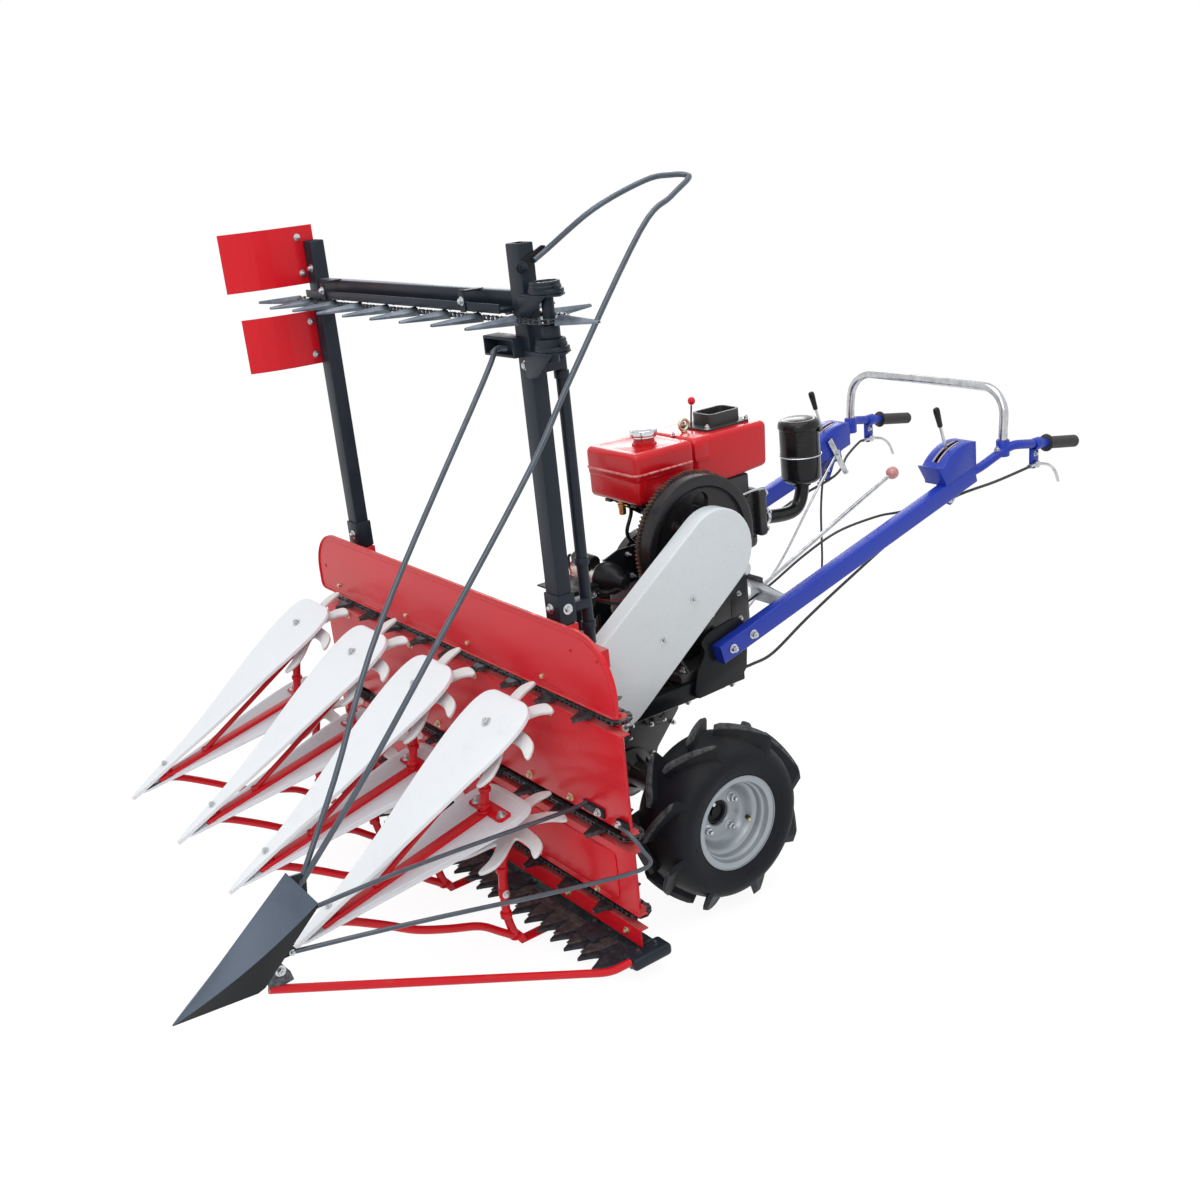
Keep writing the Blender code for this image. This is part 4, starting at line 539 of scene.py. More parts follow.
gloss_red = Finish("gloss red", (0.5, 0.005, 0.011), 0.3, Specular_IOR_Level=0.25, Coat_Weight=0.12,
                   Coat_Roughness=0.1)
tone = gloss_red.noise(5, 4, 0.55)
dusting = gloss_red.noise(13, 6, 0.7).step(0.5, 0.85) * gloss_red.up().step(0.0, 0.9)
fleck = gloss_red.noise(150, 4, 0.75).step(0.7, 0.78)
gloss_red.set(Base_Color=gloss_red.mix(dusting * 0.45 + fleck * 0.25,
                                       gloss_red.mix(tone, (0.56, 0.005, 0.012), (0.72, 0.012, 0.022)),
                                       (0.34, 0.12, 0.1)), Roughness=0.28 + tone * 0.1 + dusting * 0.35)
gloss_red.bump(gloss_red.noise(60, 2, 0.4), 0.05, 0.001)


def between(a, b, c, d, t):
    """A place from b to c on the smooth curve through a, b, c and d."""
    return 0.5 * (2 * b + (c - a) * t + (2 * a - 5 * b + 4 * c - d) * t ** 2
                  + (3 * b - a - 3 * c + d) * t ** 3)


def round_line(points, count=6, closed=True):
    """A smooth line through points, by Catmull and Rom's rule."""
    points = [Vector(point) for point in points]
    total = len(points)
    line = []
    for index in range(total if closed else total - 1):
        if closed:
            a, b, c, d = (points[(index + step) % total] for step in (-1, 0, 1, 2))
        else:
            a, b, c, d = (points[min(max(index + step, 0), total - 1)] for step in (-1, 0, 1, 2))
        line += [between(a, b, c, d, part / count) for part in range(count)]
    if not closed:
        line.append(points[-1])
    return line


def slope_frame(place, slope):
    """From a sloping sheet's own axes, forward, across and up, to the machine's."""
    forward = Vector((0, -cos(slope), -sin(slope)))
    up = Vector((0, -sin(slope), cos(slope)))
    return Matrix.Translation(place) @ Matrix((forward, (1, 0, 0), up)).transposed().to_4x4()


def extruded(points, along, bevel=0.0, segments=2, fill="NGON"):
    """A flat outline pushed out along a vector, with its edges rounded if asked."""
    made = loop_of(points, fill)
    bpy.ops.object.mode_set(mode="EDIT")
    bpy.ops.mesh.select_all(action="SELECT")
    bpy.ops.mesh.extrude_region_move(TRANSFORM_OT_translate={"value": along})
    bpy.ops.mesh.select_all(action="SELECT")
    bpy.ops.mesh.normals_make_consistent(inside=False)
    bpy.ops.object.mode_set(mode="OBJECT")
    if bevel:
        bevelled(made, bevel, segments, 40)
    return made


def side_plate(corners, low, high, bevel=0.0008):
    """A flat plate of (y, z) corners between two places along X."""
    return extruded([Vector((low, y, z)) for y, z in corners], (high - low, 0, 0), bevel)


def pick_faces(piece, test):
    """Selects the faces that pass a test, in edit mode."""
    select_only(piece)
    bpy.ops.object.mode_set(mode="EDIT")
    bpy.ops.mesh.select_mode(type="FACE")
    bpy.ops.mesh.select_all(action="DESELECT")
    bpy.ops.object.mode_set(mode="OBJECT")
    for face in piece.data.polygons:
        face.select = test(face)
    bpy.ops.object.mode_set(mode="EDIT")


def inset_faces(piece, test, *steps):
    """Insets the faces that pass a test by (thickness, depth), one step after another."""
    pick_faces(piece, test)
    for thickness, depth in steps:
        bpy.ops.mesh.inset(thickness=thickness, depth=depth)
    bpy.ops.object.mode_set(mode="OBJECT")


def hollow_end(piece, test, wall, along):
    """Sinks the faces that pass a test along a vector, inside a wall."""
    pick_faces(piece, test)
    bpy.ops.mesh.inset(thickness=wall, depth=0.0)
    bpy.ops.mesh.extrude_region_move(TRANSFORM_OT_translate={"value": along})
    bpy.ops.object.mode_set(mode="OBJECT")


def even(points, spacing):
    """The same closed line with corners at an even spacing."""
    lengths = [0.0]
    for one, two in zip(points, points[1:] + points[:1]):
        lengths.append(lengths[-1] + (two - one).length)
    count = round(lengths[-1] / spacing)
    line = []
    slot = 0
    for step in range(count):
        aim = lengths[-1] * step / count
        while lengths[slot + 1] < aim:
            slot += 1
        share = (aim - lengths[slot]) / (lengths[slot + 1] - lengths[slot])
        line.append(points[slot].lerp(points[(slot + 1) % len(points)], share))
    return line


def mirrored(half):
    return half + [(along, -across) for along, across in reversed(half) if abs(across) > 1e-6]


def grid_of(rows, columns, place):
    """A grid primitive whose corners are moved to place(row, column)."""
    select_only()
    bpy.ops.mesh.primitive_grid_add(x_subdivisions=columns - 1, y_subdivisions=rows - 1, size=1.0)
    made = bpy.context.object
    for index, vertex in enumerate(made.data.vertices):
        vertex.co = place(*divmod(index, columns))
    bpy.ops.object.mode_set(mode="EDIT")
    close_up()
    return made


def width_at(line, along):
    """Half width of an outline at a distance along it."""
    for one, two in zip(line, line[1:]):
        if along <= two.x:
            share = (along - one.x) / max(two.x - one.x, 1e-9)
            return one.y + (two.y - one.y) * min(max(share, 0.0), 1.0)
    return line[-1].y


def tray():
    """The upper cover: a crowned skin with rolled edges, then given its wall."""
    half = [(-0.074, 0.024), (-0.0735, 0.045), (-0.069, 0.066), (-0.056, 0.083), (-0.03, 0.0925),
            (0.0, 0.0948), (0.03, 0.0938), (0.075, 0.0885), (0.12, 0.08), (0.18, 0.069), (0.24, 0.057),
            (0.3, 0.045), (0.36, 0.034), (0.42, 0.024), (0.47, 0.018), (0.51, 0.014), (0.545, 0.0095),
            (0.572, 0.0055), (0.5815, 0.0016)]
    line = round_line([(along, across, 0) for along, across in half], 8, closed=False)
    stations = [-0.074 + 0.6555 * (count / 44) ** 1.35 for count in range(45)]
    rims = [(0.0, -0.01), (0.0, -0.003), (0.0007, -0.0012), (0.0022, -0.0003), (0.0042, 0.0)]
    rows = [(stations[0], drop) for drop in (-0.01, -0.003)] + [(-0.0733, -0.0012), (-0.0718, -0.0003)]
    rows += [(along, 0.0) for along in stations[1:]]
    shares = [0.8, 0.5, 0.22]
    columns = 2 * (len(rims) + len(shares)) + 1

    def place(row, column):
        along, drop = rows[row]
        wide = width_at(line, along)
        side = 1 if column < columns // 2 else -1
        step = min(column, columns - 1 - column)
        if step < len(rims):
            inset, low = rims[step]
            across = wide - min(inset, 0.55 * wide)
        else:
            share = (shares + [0.0])[step - len(rims)]
            across = (wide - min(0.0042, 0.55 * wide)) * share
            low = 0.0022 * (1 - share * share) * min(wide / 0.09, 1.0)
        sag = -0.005 * sin(pi * min(max((along - 0.12) / 0.46, 0.0), 1.0)) ** 2
        return Vector((along, side * across, min(low, drop) if drop < 0 else low + sag))

    made = grid_of(len(rows), columns, place)
    flip = sum(face.normal.z * face.area for face in made.data.polygons) < 0
    if flip:
        made.data.flip_normals()
    for vertex in made.data.vertices:
        vertex.co.z -= 0.0008
    modify(made, "SOLIDIFY", thickness=0.0024, offset=-1.0, use_even_offset=True)
    return made


def sheet():
    """The lower cover: a flat sheet whose middle stands a little proud of a grooved border."""
    half = [(-0.064, 0.0), (-0.0635, 0.04), (-0.06, 0.07), (-0.044, 0.09), (-0.012, 0.0975), (0.02, 0.097),
            (0.06, 0.0925), (0.1, 0.0855), (0.18, 0.07), (0.26, 0.0535), (0.34, 0.037), (0.4, 0.0245),
            (0.44, 0.0155), (0.4555, 0.0095), (0.46, 0.0)]
    outline = [Vector((along, across, -0.0015)) for along, across in mirrored(half)]
    outline = even(round_line(outline, 8), 0.0085)
    made = extruded(outline, (0, 0, 0.0024))
    inset_faces(made, lambda face: face.normal.z > 0.9, (0.0008, 0.0003), (0.0115, 0.0), (0.0008, -0.0007),
                (0.0014, 0.0), (0.0009, 0.001))
    return made


upper_cover_shape = tray()
lower_cover_shape = sheet()
cover_bolt = make_bolt(0.0125, 0.0055, 0.012, stud=0.004)
small_bolt = make_bolt(0.0085, 0.0035, 0.0075)
upper_frame = slope_frame(UPPER_STAR, UPPER_SLOPE)
lower_frame = slope_frame(LOWER_STAR, LOWER_SLOPE)
upper_cover_frame = upper_frame @ Matrix.Translation((0, 0, COVER_LIFT))
lower_cover_frame = slope_frame(LOWER_COVER, LOWER_SLOPE)


for row, x in enumerate(ROW_X, 1):
    aside = Matrix.Translation((x, 0, 0))
    cover = copied(upper_cover_shape, aside @ upper_cover_frame)
    fit(cover, "crop_cover_%d" % row, "upper_cover_%d" % row, white, smooth=40, whole=True)
    lower = copied(lower_cover_shape, aside @ lower_cover_frame)
    fit(lower, "crop_sheet_%d" % row, "lower_cover_%d" % row, sheet_white, smooth=25, whole=True)
    top = copied(cover_bolt, aside @ upper_cover_frame @ Matrix.Translation((0, 0, 0.0004)))
    tip = copied(small_bolt, aside @ upper_cover_frame @ Matrix.Translation((0.47, 0, -0.0006)))
    fit([top, tip], "cover_bolts_%d" % row, "upper_cover_%d" % row, zinc_bolt)

# Row dividers: frames
# Each frame is bent from red tube: a mast through the upper star, a brace below the cover, a
# flat bar along the lower cover with its T-plate, and a skid tube to a shoe on the cutter bar.

for row, x in enumerate(ROW_X, 1):
    pin_top = upper_frame @ Vector((0, 0, COVER_LIFT - 0.003))
    pin_low = upper_frame @ Vector((0, 0, -0.022))
    mast = rod_of([pin_top, pin_low, pin_low.lerp(Vector((0, -0.527, 0.3)), 0.5), (0, -0.527, 0.3),
                   (0, -0.532, 0.255), (0, -0.544, 0.181)], 0.0099, sides=4)
    collars = [drum((0, -0.5345, 0.24), (0, -0.1, -1), 0.0135, 0.01, 20, 0.002),
               drum((0, -0.5395, 0.205), (0, -0.1, -1), 0.0128, 0.012, 20, 0.002),
               drum(upper_frame @ Vector((0, 0, -0.02)), upper_frame.to_3x3() @ Vector((0, 0, 1)), 0.0135,
                    0.007, 20, 0.001)]
    low_top = lower_frame @ Vector((0, 0, 0.04))
    low_end = lower_frame @ Vector((0, 0, -0.02))
    post = rod_of([low_top, low_end, (0, -0.5195, 0.06), (0, -0.524, 0.0), (0, -0.526, -0.08),
                   (0, -0.515, -0.11), (0, -0.508, -0.128)], 0.0095, sides=4)
    post_collars = [drum((0, -0.521, 0.046), (0, -0.04, -1), 0.0135, 0.012, 20, 0.002),
                    drum((0, -0.524, -0.004), (0, 0.0, -1), 0.0125, 0.02, 6, 0.001),
                    drum((0, -0.5255, -0.06), (0, 0.0, -1), 0.013, 0.014, 20, 0.002)]
    spine = side_plate([(-0.93, 0.0975), (-0.93, 0.0885), (-0.545, 0.18), (-0.545, 0.189)], -0.013, 0.013,
                       0.0012)
    plate_half = [(-0.019, 0.01), (-0.019, 0.056), (-0.014, 0.064), (0.009, 0.064), (0.014, 0.056),
                  (0.014, 0.01)]
    tee = extruded([Vector((along, across, 0.0018)) for along, across in mirrored(plate_half)],
                   (0, 0, 0.004), 0.001)
    tee.data.transform(lower_cover_frame)
    brace = rod_of([(0, -0.802, 0.129), (0, -0.66, 0.2175), (0, -0.524, 0.303)], 0.0062, smooth=False)
    stud = drum((0, -0.899, 0.098), (0, 0, 1), 0.0048, 0.03, 12)
    under = rod_of(round_line([(0, -0.921, 0.095), (0, -0.905, 0.0895), (0, -0.868, 0.073),
                               (0, -0.8, 0.033), (0, -0.735, -0.008), (0, -0.665, -0.0385),
                               (0, -0.592, -0.066), (0, -0.545, -0.101), (0, -0.508, -0.13)], 4,
                              closed=False), 0.0088, smooth=False, sides=4)
    shoe = side_plate([(-0.514, -0.128), (-0.498, -0.12), (-0.4905, -0.1404), (-0.33, -0.1404),
                       (-0.33, -0.1442), (-0.504, -0.1442)], -0.0138, 0.0138)
    beads = []
    for place, size in (((0, -0.5445, 0.1895), 0.0125), ((0, -0.802, 0.131), 0.0095),
                        ((0, -0.524, 0.303), 0.01), ((0, -0.5085, -0.129), 0.0125),
                        ((0, -0.918, 0.0945), 0.01)):
        beads.append(primitive(bpy.ops.mesh.primitive_torus_add, major_segments=20, minor_segments=6,
                               location=place, major_radius=size, minor_radius=0.0022,
                               rotation=(0.1, 0, 0)))
    tubes = join([mast, *collars, post, *post_collars, spine, tee, brace, stud, under, shoe, *beads])
    tubes.data.transform(Matrix.Translation((x, 0, 0)))
    fit(tubes, "divider_frame_%d" % row, "row_frame_%d" % row, gloss_red, smooth=40, whole=True)
    spots = [(Matrix.Translation((x, 0, 0)) @ lower_cover_frame @ Vector((-0.0025, side * 0.047, 0.0057)),
              lower_cover_frame.to_3x3() @ Vector((0, 0, 1))) for side in (-1, 1)]
    spots += [(Vector((x + 0.011, -0.5245, -0.014)), (1, 0, 0), 0.75),
              (Vector((x, -0.42, -0.144)), (0, 0, -1), 0.7), (Vector((x, -0.36, -0.144)), (0, 0, -1), 0.7)]
    fit(set_out(cover_bolt, spots, keep=True), "frame_bolts_%d" % row, "row_frame_%d" % row, zinc_bolt)

# Star wheels
# White plastic wheels of seven fat sickle arms that the chain lugs push round. Each is one
# moulding: swept arms and a hub that turns on the frame's pin.

STAR_ARMS = 7
STAR_RADIUS = 0.138

plastic = Finish("white plastic", (0.72, 0.735, 0.74), 0.32, Subsurface_Weight=0.08, Subsurface_Scale=0.004)
soot = plastic.noise(24, 5, 0.7).step(0.52, 0.82)
plastic.set(Base_Color=plastic.mix(soot * 0.28, (0.74, 0.755, 0.76), (0.42, 0.42, 0.41)),
            Roughness=0.28 + soot * 0.25)
plastic.bump(plastic.noise(130, 3, 0.5), 0.06, 0.0008)

arm = ((0.05, -0.3), (0.074, -0.26), (0.102, -0.29), (0.126, -0.36), (0.1365, -0.355), (0.134, -0.26),
       (0.12, -0.1), (0.094, 0.05), (0.069, 0.2), (0.052, 0.42))
star_line = []
for count in range(STAR_ARMS):
    base = 2 * pi * count / STAR_ARMS
    star_line += [Vector((radius * cos(base + turn), radius * sin(base + turn), -0.0042))
                  for radius, turn in arm]
star_shape = extruded(round_line(star_line, 3), (0, 0, 0.0084))
modify(star_shape, "BEVEL", width=0.0024, segments=3, limit_method="ANGLE", angle_limit=radians(38))
hub_half = [(-0.015, 0.0108), (-0.015, 0.017), (-0.014, 0.0185), (-0.006, 0.02), (-0.005, 0.03)]
hub_ring = turned(both_ways(hub_half), axis=(0, 0, 1), steps=32)
star_shape = join([star_shape, hub_ring])
for row, x in enumerate(ROW_X, 1):
    for level, frame_of_star in (("upper", upper_frame), ("lower", lower_frame)):
        name = "star_%s_%d" % (level, row)
        wheel = copied(star_shape, Matrix.Translation((x, 0, 0)) @ frame_of_star)
        fit(wheel, "arms_%s_%d" % (level, row), name, plastic, body=name, whole=True)
remove(star_shape, upper_cover_shape, lower_cover_shape, cover_bolt, small_bolt)

# Main frame
# Two box rails carry the engine on the gearbox, tied by cross members. Welded lug plates take
# the handles, and a tongue runs back to the gear lever's post. Everything is painted black.

RAIL_OFFSET = 0.2
RAIL_FRONT = -0.2337
RAIL_REAR = 0.27
RAIL_TOP = 0.235
HANDLE_OFFSET = 0.245


def boxed(low, high, bevel=0.0, segments=2):
    """A box between two corners with its edges rounded."""
    low = Vector(low)
    high = Vector(high)
    made = primitive(bpy.ops.mesh.primitive_cube_add, size=1.0, location=(low + high) / 2, scale=high - low)
    if bevel:
        bevelled(made, bevel, segments)
    return made


def hollowed(piece, test, wall, depth=0.06):
    """Cuts a pocket behind the faces that pass a test."""
    inset_faces(piece, test, (wall, 0.0), (0.0002, -depth))
    return piece


def bead(start, stop, radius=0.0028):
    """A weld bead: a row of small overlapping ripples along a line."""
    start = Vector(start)
    stop = Vector(stop)
    along = (stop - start).normalized()
    count = max(3, round((stop - start).length / 0.0035))
    profile = [(0.0, 0.0), (0.0, radius * 0.7)]
    pitch = (stop - start).length / count
    for index in range(count):
        profile += [(pitch * (index + 0.35), radius), (pitch * (index + 1), radius * 0.75)]
    profile.append((pitch * count, 0.0))
    return turned(profile, start, along, 10)


lug_line = [(0.1045, 0.1985), (0.15, 0.1955), (0.205, 0.2015), (0.26, 0.217), (0.27, 0.25), (0.2735, 0.305),
            (0.268, 0.34), (0.245, 0.36), (0.2, 0.356), (0.16, 0.349), (0.133, 0.33), (0.14, 0.306),
            (0.133, 0.285), (0.1165, 0.264), (0.107, 0.232)]
parts = []
for side in (-1, 1):
    x = UNIT_X + side * RAIL_OFFSET
    rail = boxed((x - 0.0175, RAIL_FRONT, 0.19), (x + 0.0175, RAIL_REAR, RAIL_TOP), 0.004, 3)
    parts.append(hollowed(rail, lambda face: abs(face.normal.y) > 0.99, 0.003))
    edge = UNIT_X + side * (HANDLE_OFFSET - 0.0165)
    lug = side_plate([(p.x, p.y) for p in round_line([Vector((y, z, 0)) for y, z in lug_line], 4)],
                     edge - side * 0.006, edge, 0.001)
    parts.append(lug)
    rib = [(0.12, 0.236), (0.262, 0.236), (0.262, 0.33), (0.15, 0.338)]
    parts += [
        side_plate(rib, x + side * 0.014, edge - side * 0.0055, 0.0012),
        bead((edge - side * 0.0065, 0.12, 0.235), (edge - side * 0.0065, 0.26, 0.235)),
        bead((edge - side * 0.0065, 0.118, 0.1935), (edge - side * 0.0065, 0.2, 0.196)),
    ]
for y in (RAIL_FRONT + 0.025, 0.095, RAIL_REAR - 0.02):
    parts.append(boxed((UNIT_X - RAIL_OFFSET, y - 0.018, 0.19),
                       (UNIT_X + RAIL_OFFSET, y + 0.018, RAIL_TOP - 0.006), 0.003, 3))
    for side in (-1, 1):
        x = UNIT_X + side * (RAIL_OFFSET - 0.018)
        parts.append(bead((x, y - 0.017, RAIL_TOP - 0.0065), (x, y + 0.017, RAIL_TOP - 0.0065), 0.0024))
tongue = boxed((UNIT_X - 0.03, RAIL_REAR - 0.03, 0.206), (UNIT_X + 0.03, 0.415, 0.226), 0.003, 3)
parts.append(hollowed(tongue, lambda face: face.normal.y > 0.99, 0.003))
post_line = round_line([Vector((y, z, 0))
                        for y, z in ((0.374, 0.222), (0.408, 0.222), (0.42, 0.24), (0.431, 0.26),
                                     (0.424, 0.268), (0.415, 0.268), (0.392, 0.246))], 4)
parts.append(side_plate([(p.x, p.y) for p in post_line], UNIT_X - 0.0295, UNIT_X - 0.0182, 0.001))
fit(parts, "chassis", "main_frame", black, whole=True)

spots = [((UNIT_X + side * 0.2232, y, z), (-side, 0, 0)) for side in (-1, 1)
         for y, z in ((0.202, 0.2939), (0.252, 0.305))]
spots += [((UNIT_X + side * RAIL_OFFSET, y, 0.19), (0, 0, -1)) for side in (-1, 1) for y in (0.1, 0.24)]
bolts((0.015, 0.007, 0.013, 0.005), spots, "chassis_bolts", "main_frame")

# Gearbox
# The walking gearbox is one grey-iron casting round the axle, painted black: a ribbed body, its
# bolted bearing covers, a filler plug and the two axle housings with their end rings.

cast = Finish("painted casting", (0.014, 0.014, 0.015), 0.48, Coat_Weight=0.2, Coat_Roughness=0.35)
sand = cast.noise(420, 3, 0.6)
soot_film = cast.noise(9, 5, 0.65).step(0.42, 0.85) * cast.up().step(-0.1, 0.9)
oil = cast.noise(22, 5, 0.7).step(0.52, 0.78)
cast.set(Base_Color=cast.mix(soot_film * 0.6,
                             cast.mix(oil * 0.5, (0.013, 0.0135, 0.0145), (0.03, 0.024, 0.018)),
                             (0.08, 0.074, 0.066)),
         Roughness=0.4 + soot_film * 0.35 + sand * 0.15 - oil * 0.2)
cast.bump(sand * 0.6 + cast.noise(70, 4, 0.6) * 0.6, 0.35, 0.0011)

body_line = [(-0.075, 0.02), (-0.06, 0.11), (-0.02, 0.1894), (0.15, 0.1894), (0.165, 0.11), (0.09, 0.03)]
body_line += [(0.072 * cos(turn), 0.072 * sin(turn))
              for turn in (radians(-10 - 160 * step / 12) for step in range(13))]
parts = [
    side_plate(body_line, UNIT_X - 0.0835, UNIT_X + 0.0835, 0.006),
    side_plate([(y * 1.035 - 0.0015, min(z * 1.035, 0.1895)) for y, z in body_line], UNIT_X - 0.005,
               UNIT_X + 0.005, 0.002),
]
reach = 0.1998
axle = [(-reach, 0.0), (-reach, 0.03), (-reach + 0.003, 0.0352), (-reach + 0.014, 0.0358),
        (-reach + 0.016, 0.032), (-0.112, 0.033), (-0.098, 0.047), (-0.09, 0.058), (-0.082, 0.0598)]
parts.append(turned(both_ways(axle), (UNIT_X, 0, 0), (1, 0, 0), 48))
CASE_CAPS = ((0.08, 0.135, 0.04, 0.1145), (-0.015, 0.11, 0.03, 0.1045))
for side in (-1, 1):
    for y, z, radius, out in CASE_CAPS:
        cap = [(0.078, 0.0), (0.078, radius), (out - 0.016, radius), (out - 0.0145, radius - 0.0015),
               (out - 0.0145, radius * 0.7), (out - 0.003, radius * 0.64), (out, radius * 0.56),
               (out, radius * 0.3), (out - 0.0025, radius * 0.24), (out - 0.0025, 0.0)]
        parts.append(turned(cap, (UNIT_X, y, z), (side, 0, 0), 36))
    for turn in (35, 80, 125, 170, 215):
        arm = Vector((0, cos(radians(turn)), sin(radians(turn))))
        rib = [Vector((UNIT_X + side * out, 0, 0)) + arm * radius
               for out, radius in ((0.084, 0.052), (0.084, 0.03), (0.15, 0.03))]
        thick = arm.cross(Vector((1, 0, 0))) * 0.005
        parts.append(extruded([corner - thick / 2 for corner in rib], thick, 0.0008))
parts.append(drum((UNIT_X + 0.03, -0.064, 0.07), (0, -1, 0.15), 0.015, 0.012, 24, 0.002))
fit(parts, "gear_case", "gearbox", cast, whole=True)

spots = []
for side in (-1, 1):
    for y, z, radius, out in CASE_CAPS:
        x = UNIT_X + side * (out - 0.0143)
        turns = [2 * pi * (count + 0.25) / 5 for count in range(5)]
        spots += [((x, y + radius * 0.85 * cos(turn), z + radius * 0.85 * sin(turn)), (side, 0, 0), 0.8)
                  for turn in turns]
    for y, z in ((-0.048, 0.045), (-0.03, 0.15), (0.135, 0.165), (0.14, 0.08), (0.07, 0.02),
                 (0.035, -0.056)):
        spots.append(((UNIT_X + side * 0.0835, y, z), (side, 0, 0)))
bolts((0.009, 0.0045, 0.0075), spots, "gear_case_bolts", "gearbox")
plug = turned([(0.0, 0.0), (0.0, 0.011), (0.006, 0.011), (0.0075, 0.0095), (0.0075, 0.005), (0.005, 0.005),
               (0.005, 0.0)], (UNIT_X + 0.03, -0.0755, 0.0717), (0, -1, 0.15), 6)
fit(plug, "oil_plug", "gearbox", brass)

# Engine block
# A lying single-cylinder diesel in black enamel: a cast case on a bolted sole, a ribbed barrel, its
# head with a rocker cover, a round side cover and a boss behind the flywheel.

CRANK = Vector((0, 0.175, 0.561))
parts = [
    boxed((0.0755, 0.0855, 0.2557), (0.2845, 0.3695, 0.465), 0.016, 4),
    boxed((0.145, 0.16, 0.44), (0.2845, 0.3695, 0.5995), 0.016, 4),
    boxed((0.0735, 0.11, 0.3), (0.2865, 0.345, 0.306), 0.002),
    boxed((0.143, 0.185, 0.52), (0.2865, 0.345, 0.526), 0.002),
    boxed((UNIT_X - 0.211, 0.076, 0.2355), (UNIT_X + 0.211, 0.265, 0.261), 0.004, 3),
]
for side in (-1, 1):
    for y in (0.1, 0.238):
        web = [(0.0, 0.26), (side * 0.075, 0.26), (0.0, 0.33)]
        x = UNIT_X + side * 0.1 + (0.045 if side > 0 else -0.035)
        parts.append(extruded([Vector((x - side * 0.004 + across, y - 0.004, z)) for across, z in web],
                              (0, 0.008, 0), 0.001))
parts.append(boxed((0.106, 0.345, 0.452), (0.226, 0.465, 0.598), 0.018, 4))
for z in (0.48, 0.502, 0.546, 0.57):
    parts.append(boxed((0.1025, 0.36, z), (0.2295, 0.452, z + 0.0045), 0.0015))
parts += [
    boxed((0.092, 0.454, 0.484), (0.244, 0.48, 0.602), 0.009, 4),
    boxed((0.112, 0.474, 0.532), (0.226, 0.5, 0.594), 0.012, 4),
    boxed((0.118, 0.175, 0.59), (0.226, 0.44, 0.6514), 0.006, 3),
]
for x in (0.105, 0.205):
    parts += [
        boxed((x, 0.085, 0.645), (x + 0.022, 0.2, 0.6514), 0.001),
        side_plate([(0.18, 0.59), (0.18, 0.647), (0.095, 0.647)], x + 0.009, x + 0.013),
    ]
boss = [(0.27, 0.0), (0.27, 0.086), (0.2775, 0.0845), (0.279, 0.078), (0.29, 0.076), (0.2925, 0.072),
        (0.296, 0.052), (0.304, 0.049), (0.3043, 0.0)]
parts.append(turned(boss, (0, 0.185, 0.561), (1, 0, 0), 48))
cover = [(0.09, 0.0), (0.09, 0.111), (0.064, 0.111), (0.062, 0.1085), (0.062, 0.096), (0.056, 0.09),
         (0.0525, 0.078), (0.0525, 0.04), (0.056, 0.036), (0.056, 0.0)]
parts += [
    turned(cover, (0, 0.22, 0.43), (1, 0, 0), 48),
    turned([(0.475, 0.0), (0.475, 0.029), (0.498, 0.029), (0.4995, 0.0275), (0.4995, 0.0)],
           (0.19, 0, 0.515), (0, 1, 0), 36),
    boxed((0.27, 0.3, 0.3), (0.286, 0.356, 0.395), 0.005, 3),
    boxed((0.27, 0.12, 0.285), (0.2885, 0.245, 0.42), 0.006, 3),
]
fit(parts, "engine_case", "engine_block", cast, whole=True)

spots = []
for count in range(8):
    turn = 2 * pi * (count + 0.5) / 8
    spots.append(((0.063, 0.22 + 0.1035 * cos(turn), 0.43 + 0.1035 * sin(turn)), (-1, 0, 0)))
for y in (0.128, 0.236):
    spots += [((0.2886, y, z), (1, 0, 0), 0.8) for z in (0.295, 0.352, 0.41)]
spots += [((x, 0.4801, z), (0, 1, 0), 1.0) for x in (0.102, 0.234) for z in (0.498, 0.545, 0.59)]
spots += [((UNIT_X + side * 0.196, y, 0.2611), (0, 0, 1), 1.35) for side in (-1, 1) for y in (0.1, 0.238)]
spots += [((0.2862, 0.328, z), (1, 0, 0), 0.8) for z in (0.315, 0.38)]
bolts((0.0105, 0.0052, 0.0085, 0.003), spots, "engine_bolts", "engine_block")

injector_line = rod_of([(0.264, 0.31, 0.59), (0.27, 0.35, 0.616), (0.266, 0.42, 0.618),
                        (0.25, 0.476, 0.612), (0.215, 0.498, 0.585)], 0.0026)
return_line = rod_of([(0.125, 0.5, 0.56), (0.09, 0.512, 0.59), (0.08, 0.44, 0.618), (0.086, 0.33, 0.625),
                      (0.12, 0.28, 0.622)], 0.0032)
filler = turned([(0.0, 0.0), (0.0, 0.0135), (0.014, 0.0135), (0.014, 0.018), (0.024, 0.018), (0.026, 0.016),
                 (0.026, 0.0)], (0.283, 0.335, 0.44), (1, 0.2, 0.3), 10)
dipstick = rod_of([(0.283, 0.1, 0.3), (0.292, 0.094, 0.33), (0.294, 0.092, 0.372), (0.294, 0.086, 0.384),
                   (0.294, 0.076, 0.38), (0.294, 0.078, 0.368), (0.294, 0.09, 0.366)], 0.0018)
fit([injector_line, return_line, filler, dipstick], "engine_pipes", "engine_block", zinc_bolt)

# Fuel line and tap
# A brass tap with its bowl hangs under the tank, and a black hose loops from its stub to the case.
# Both are round forms, turned or drawn along a line.

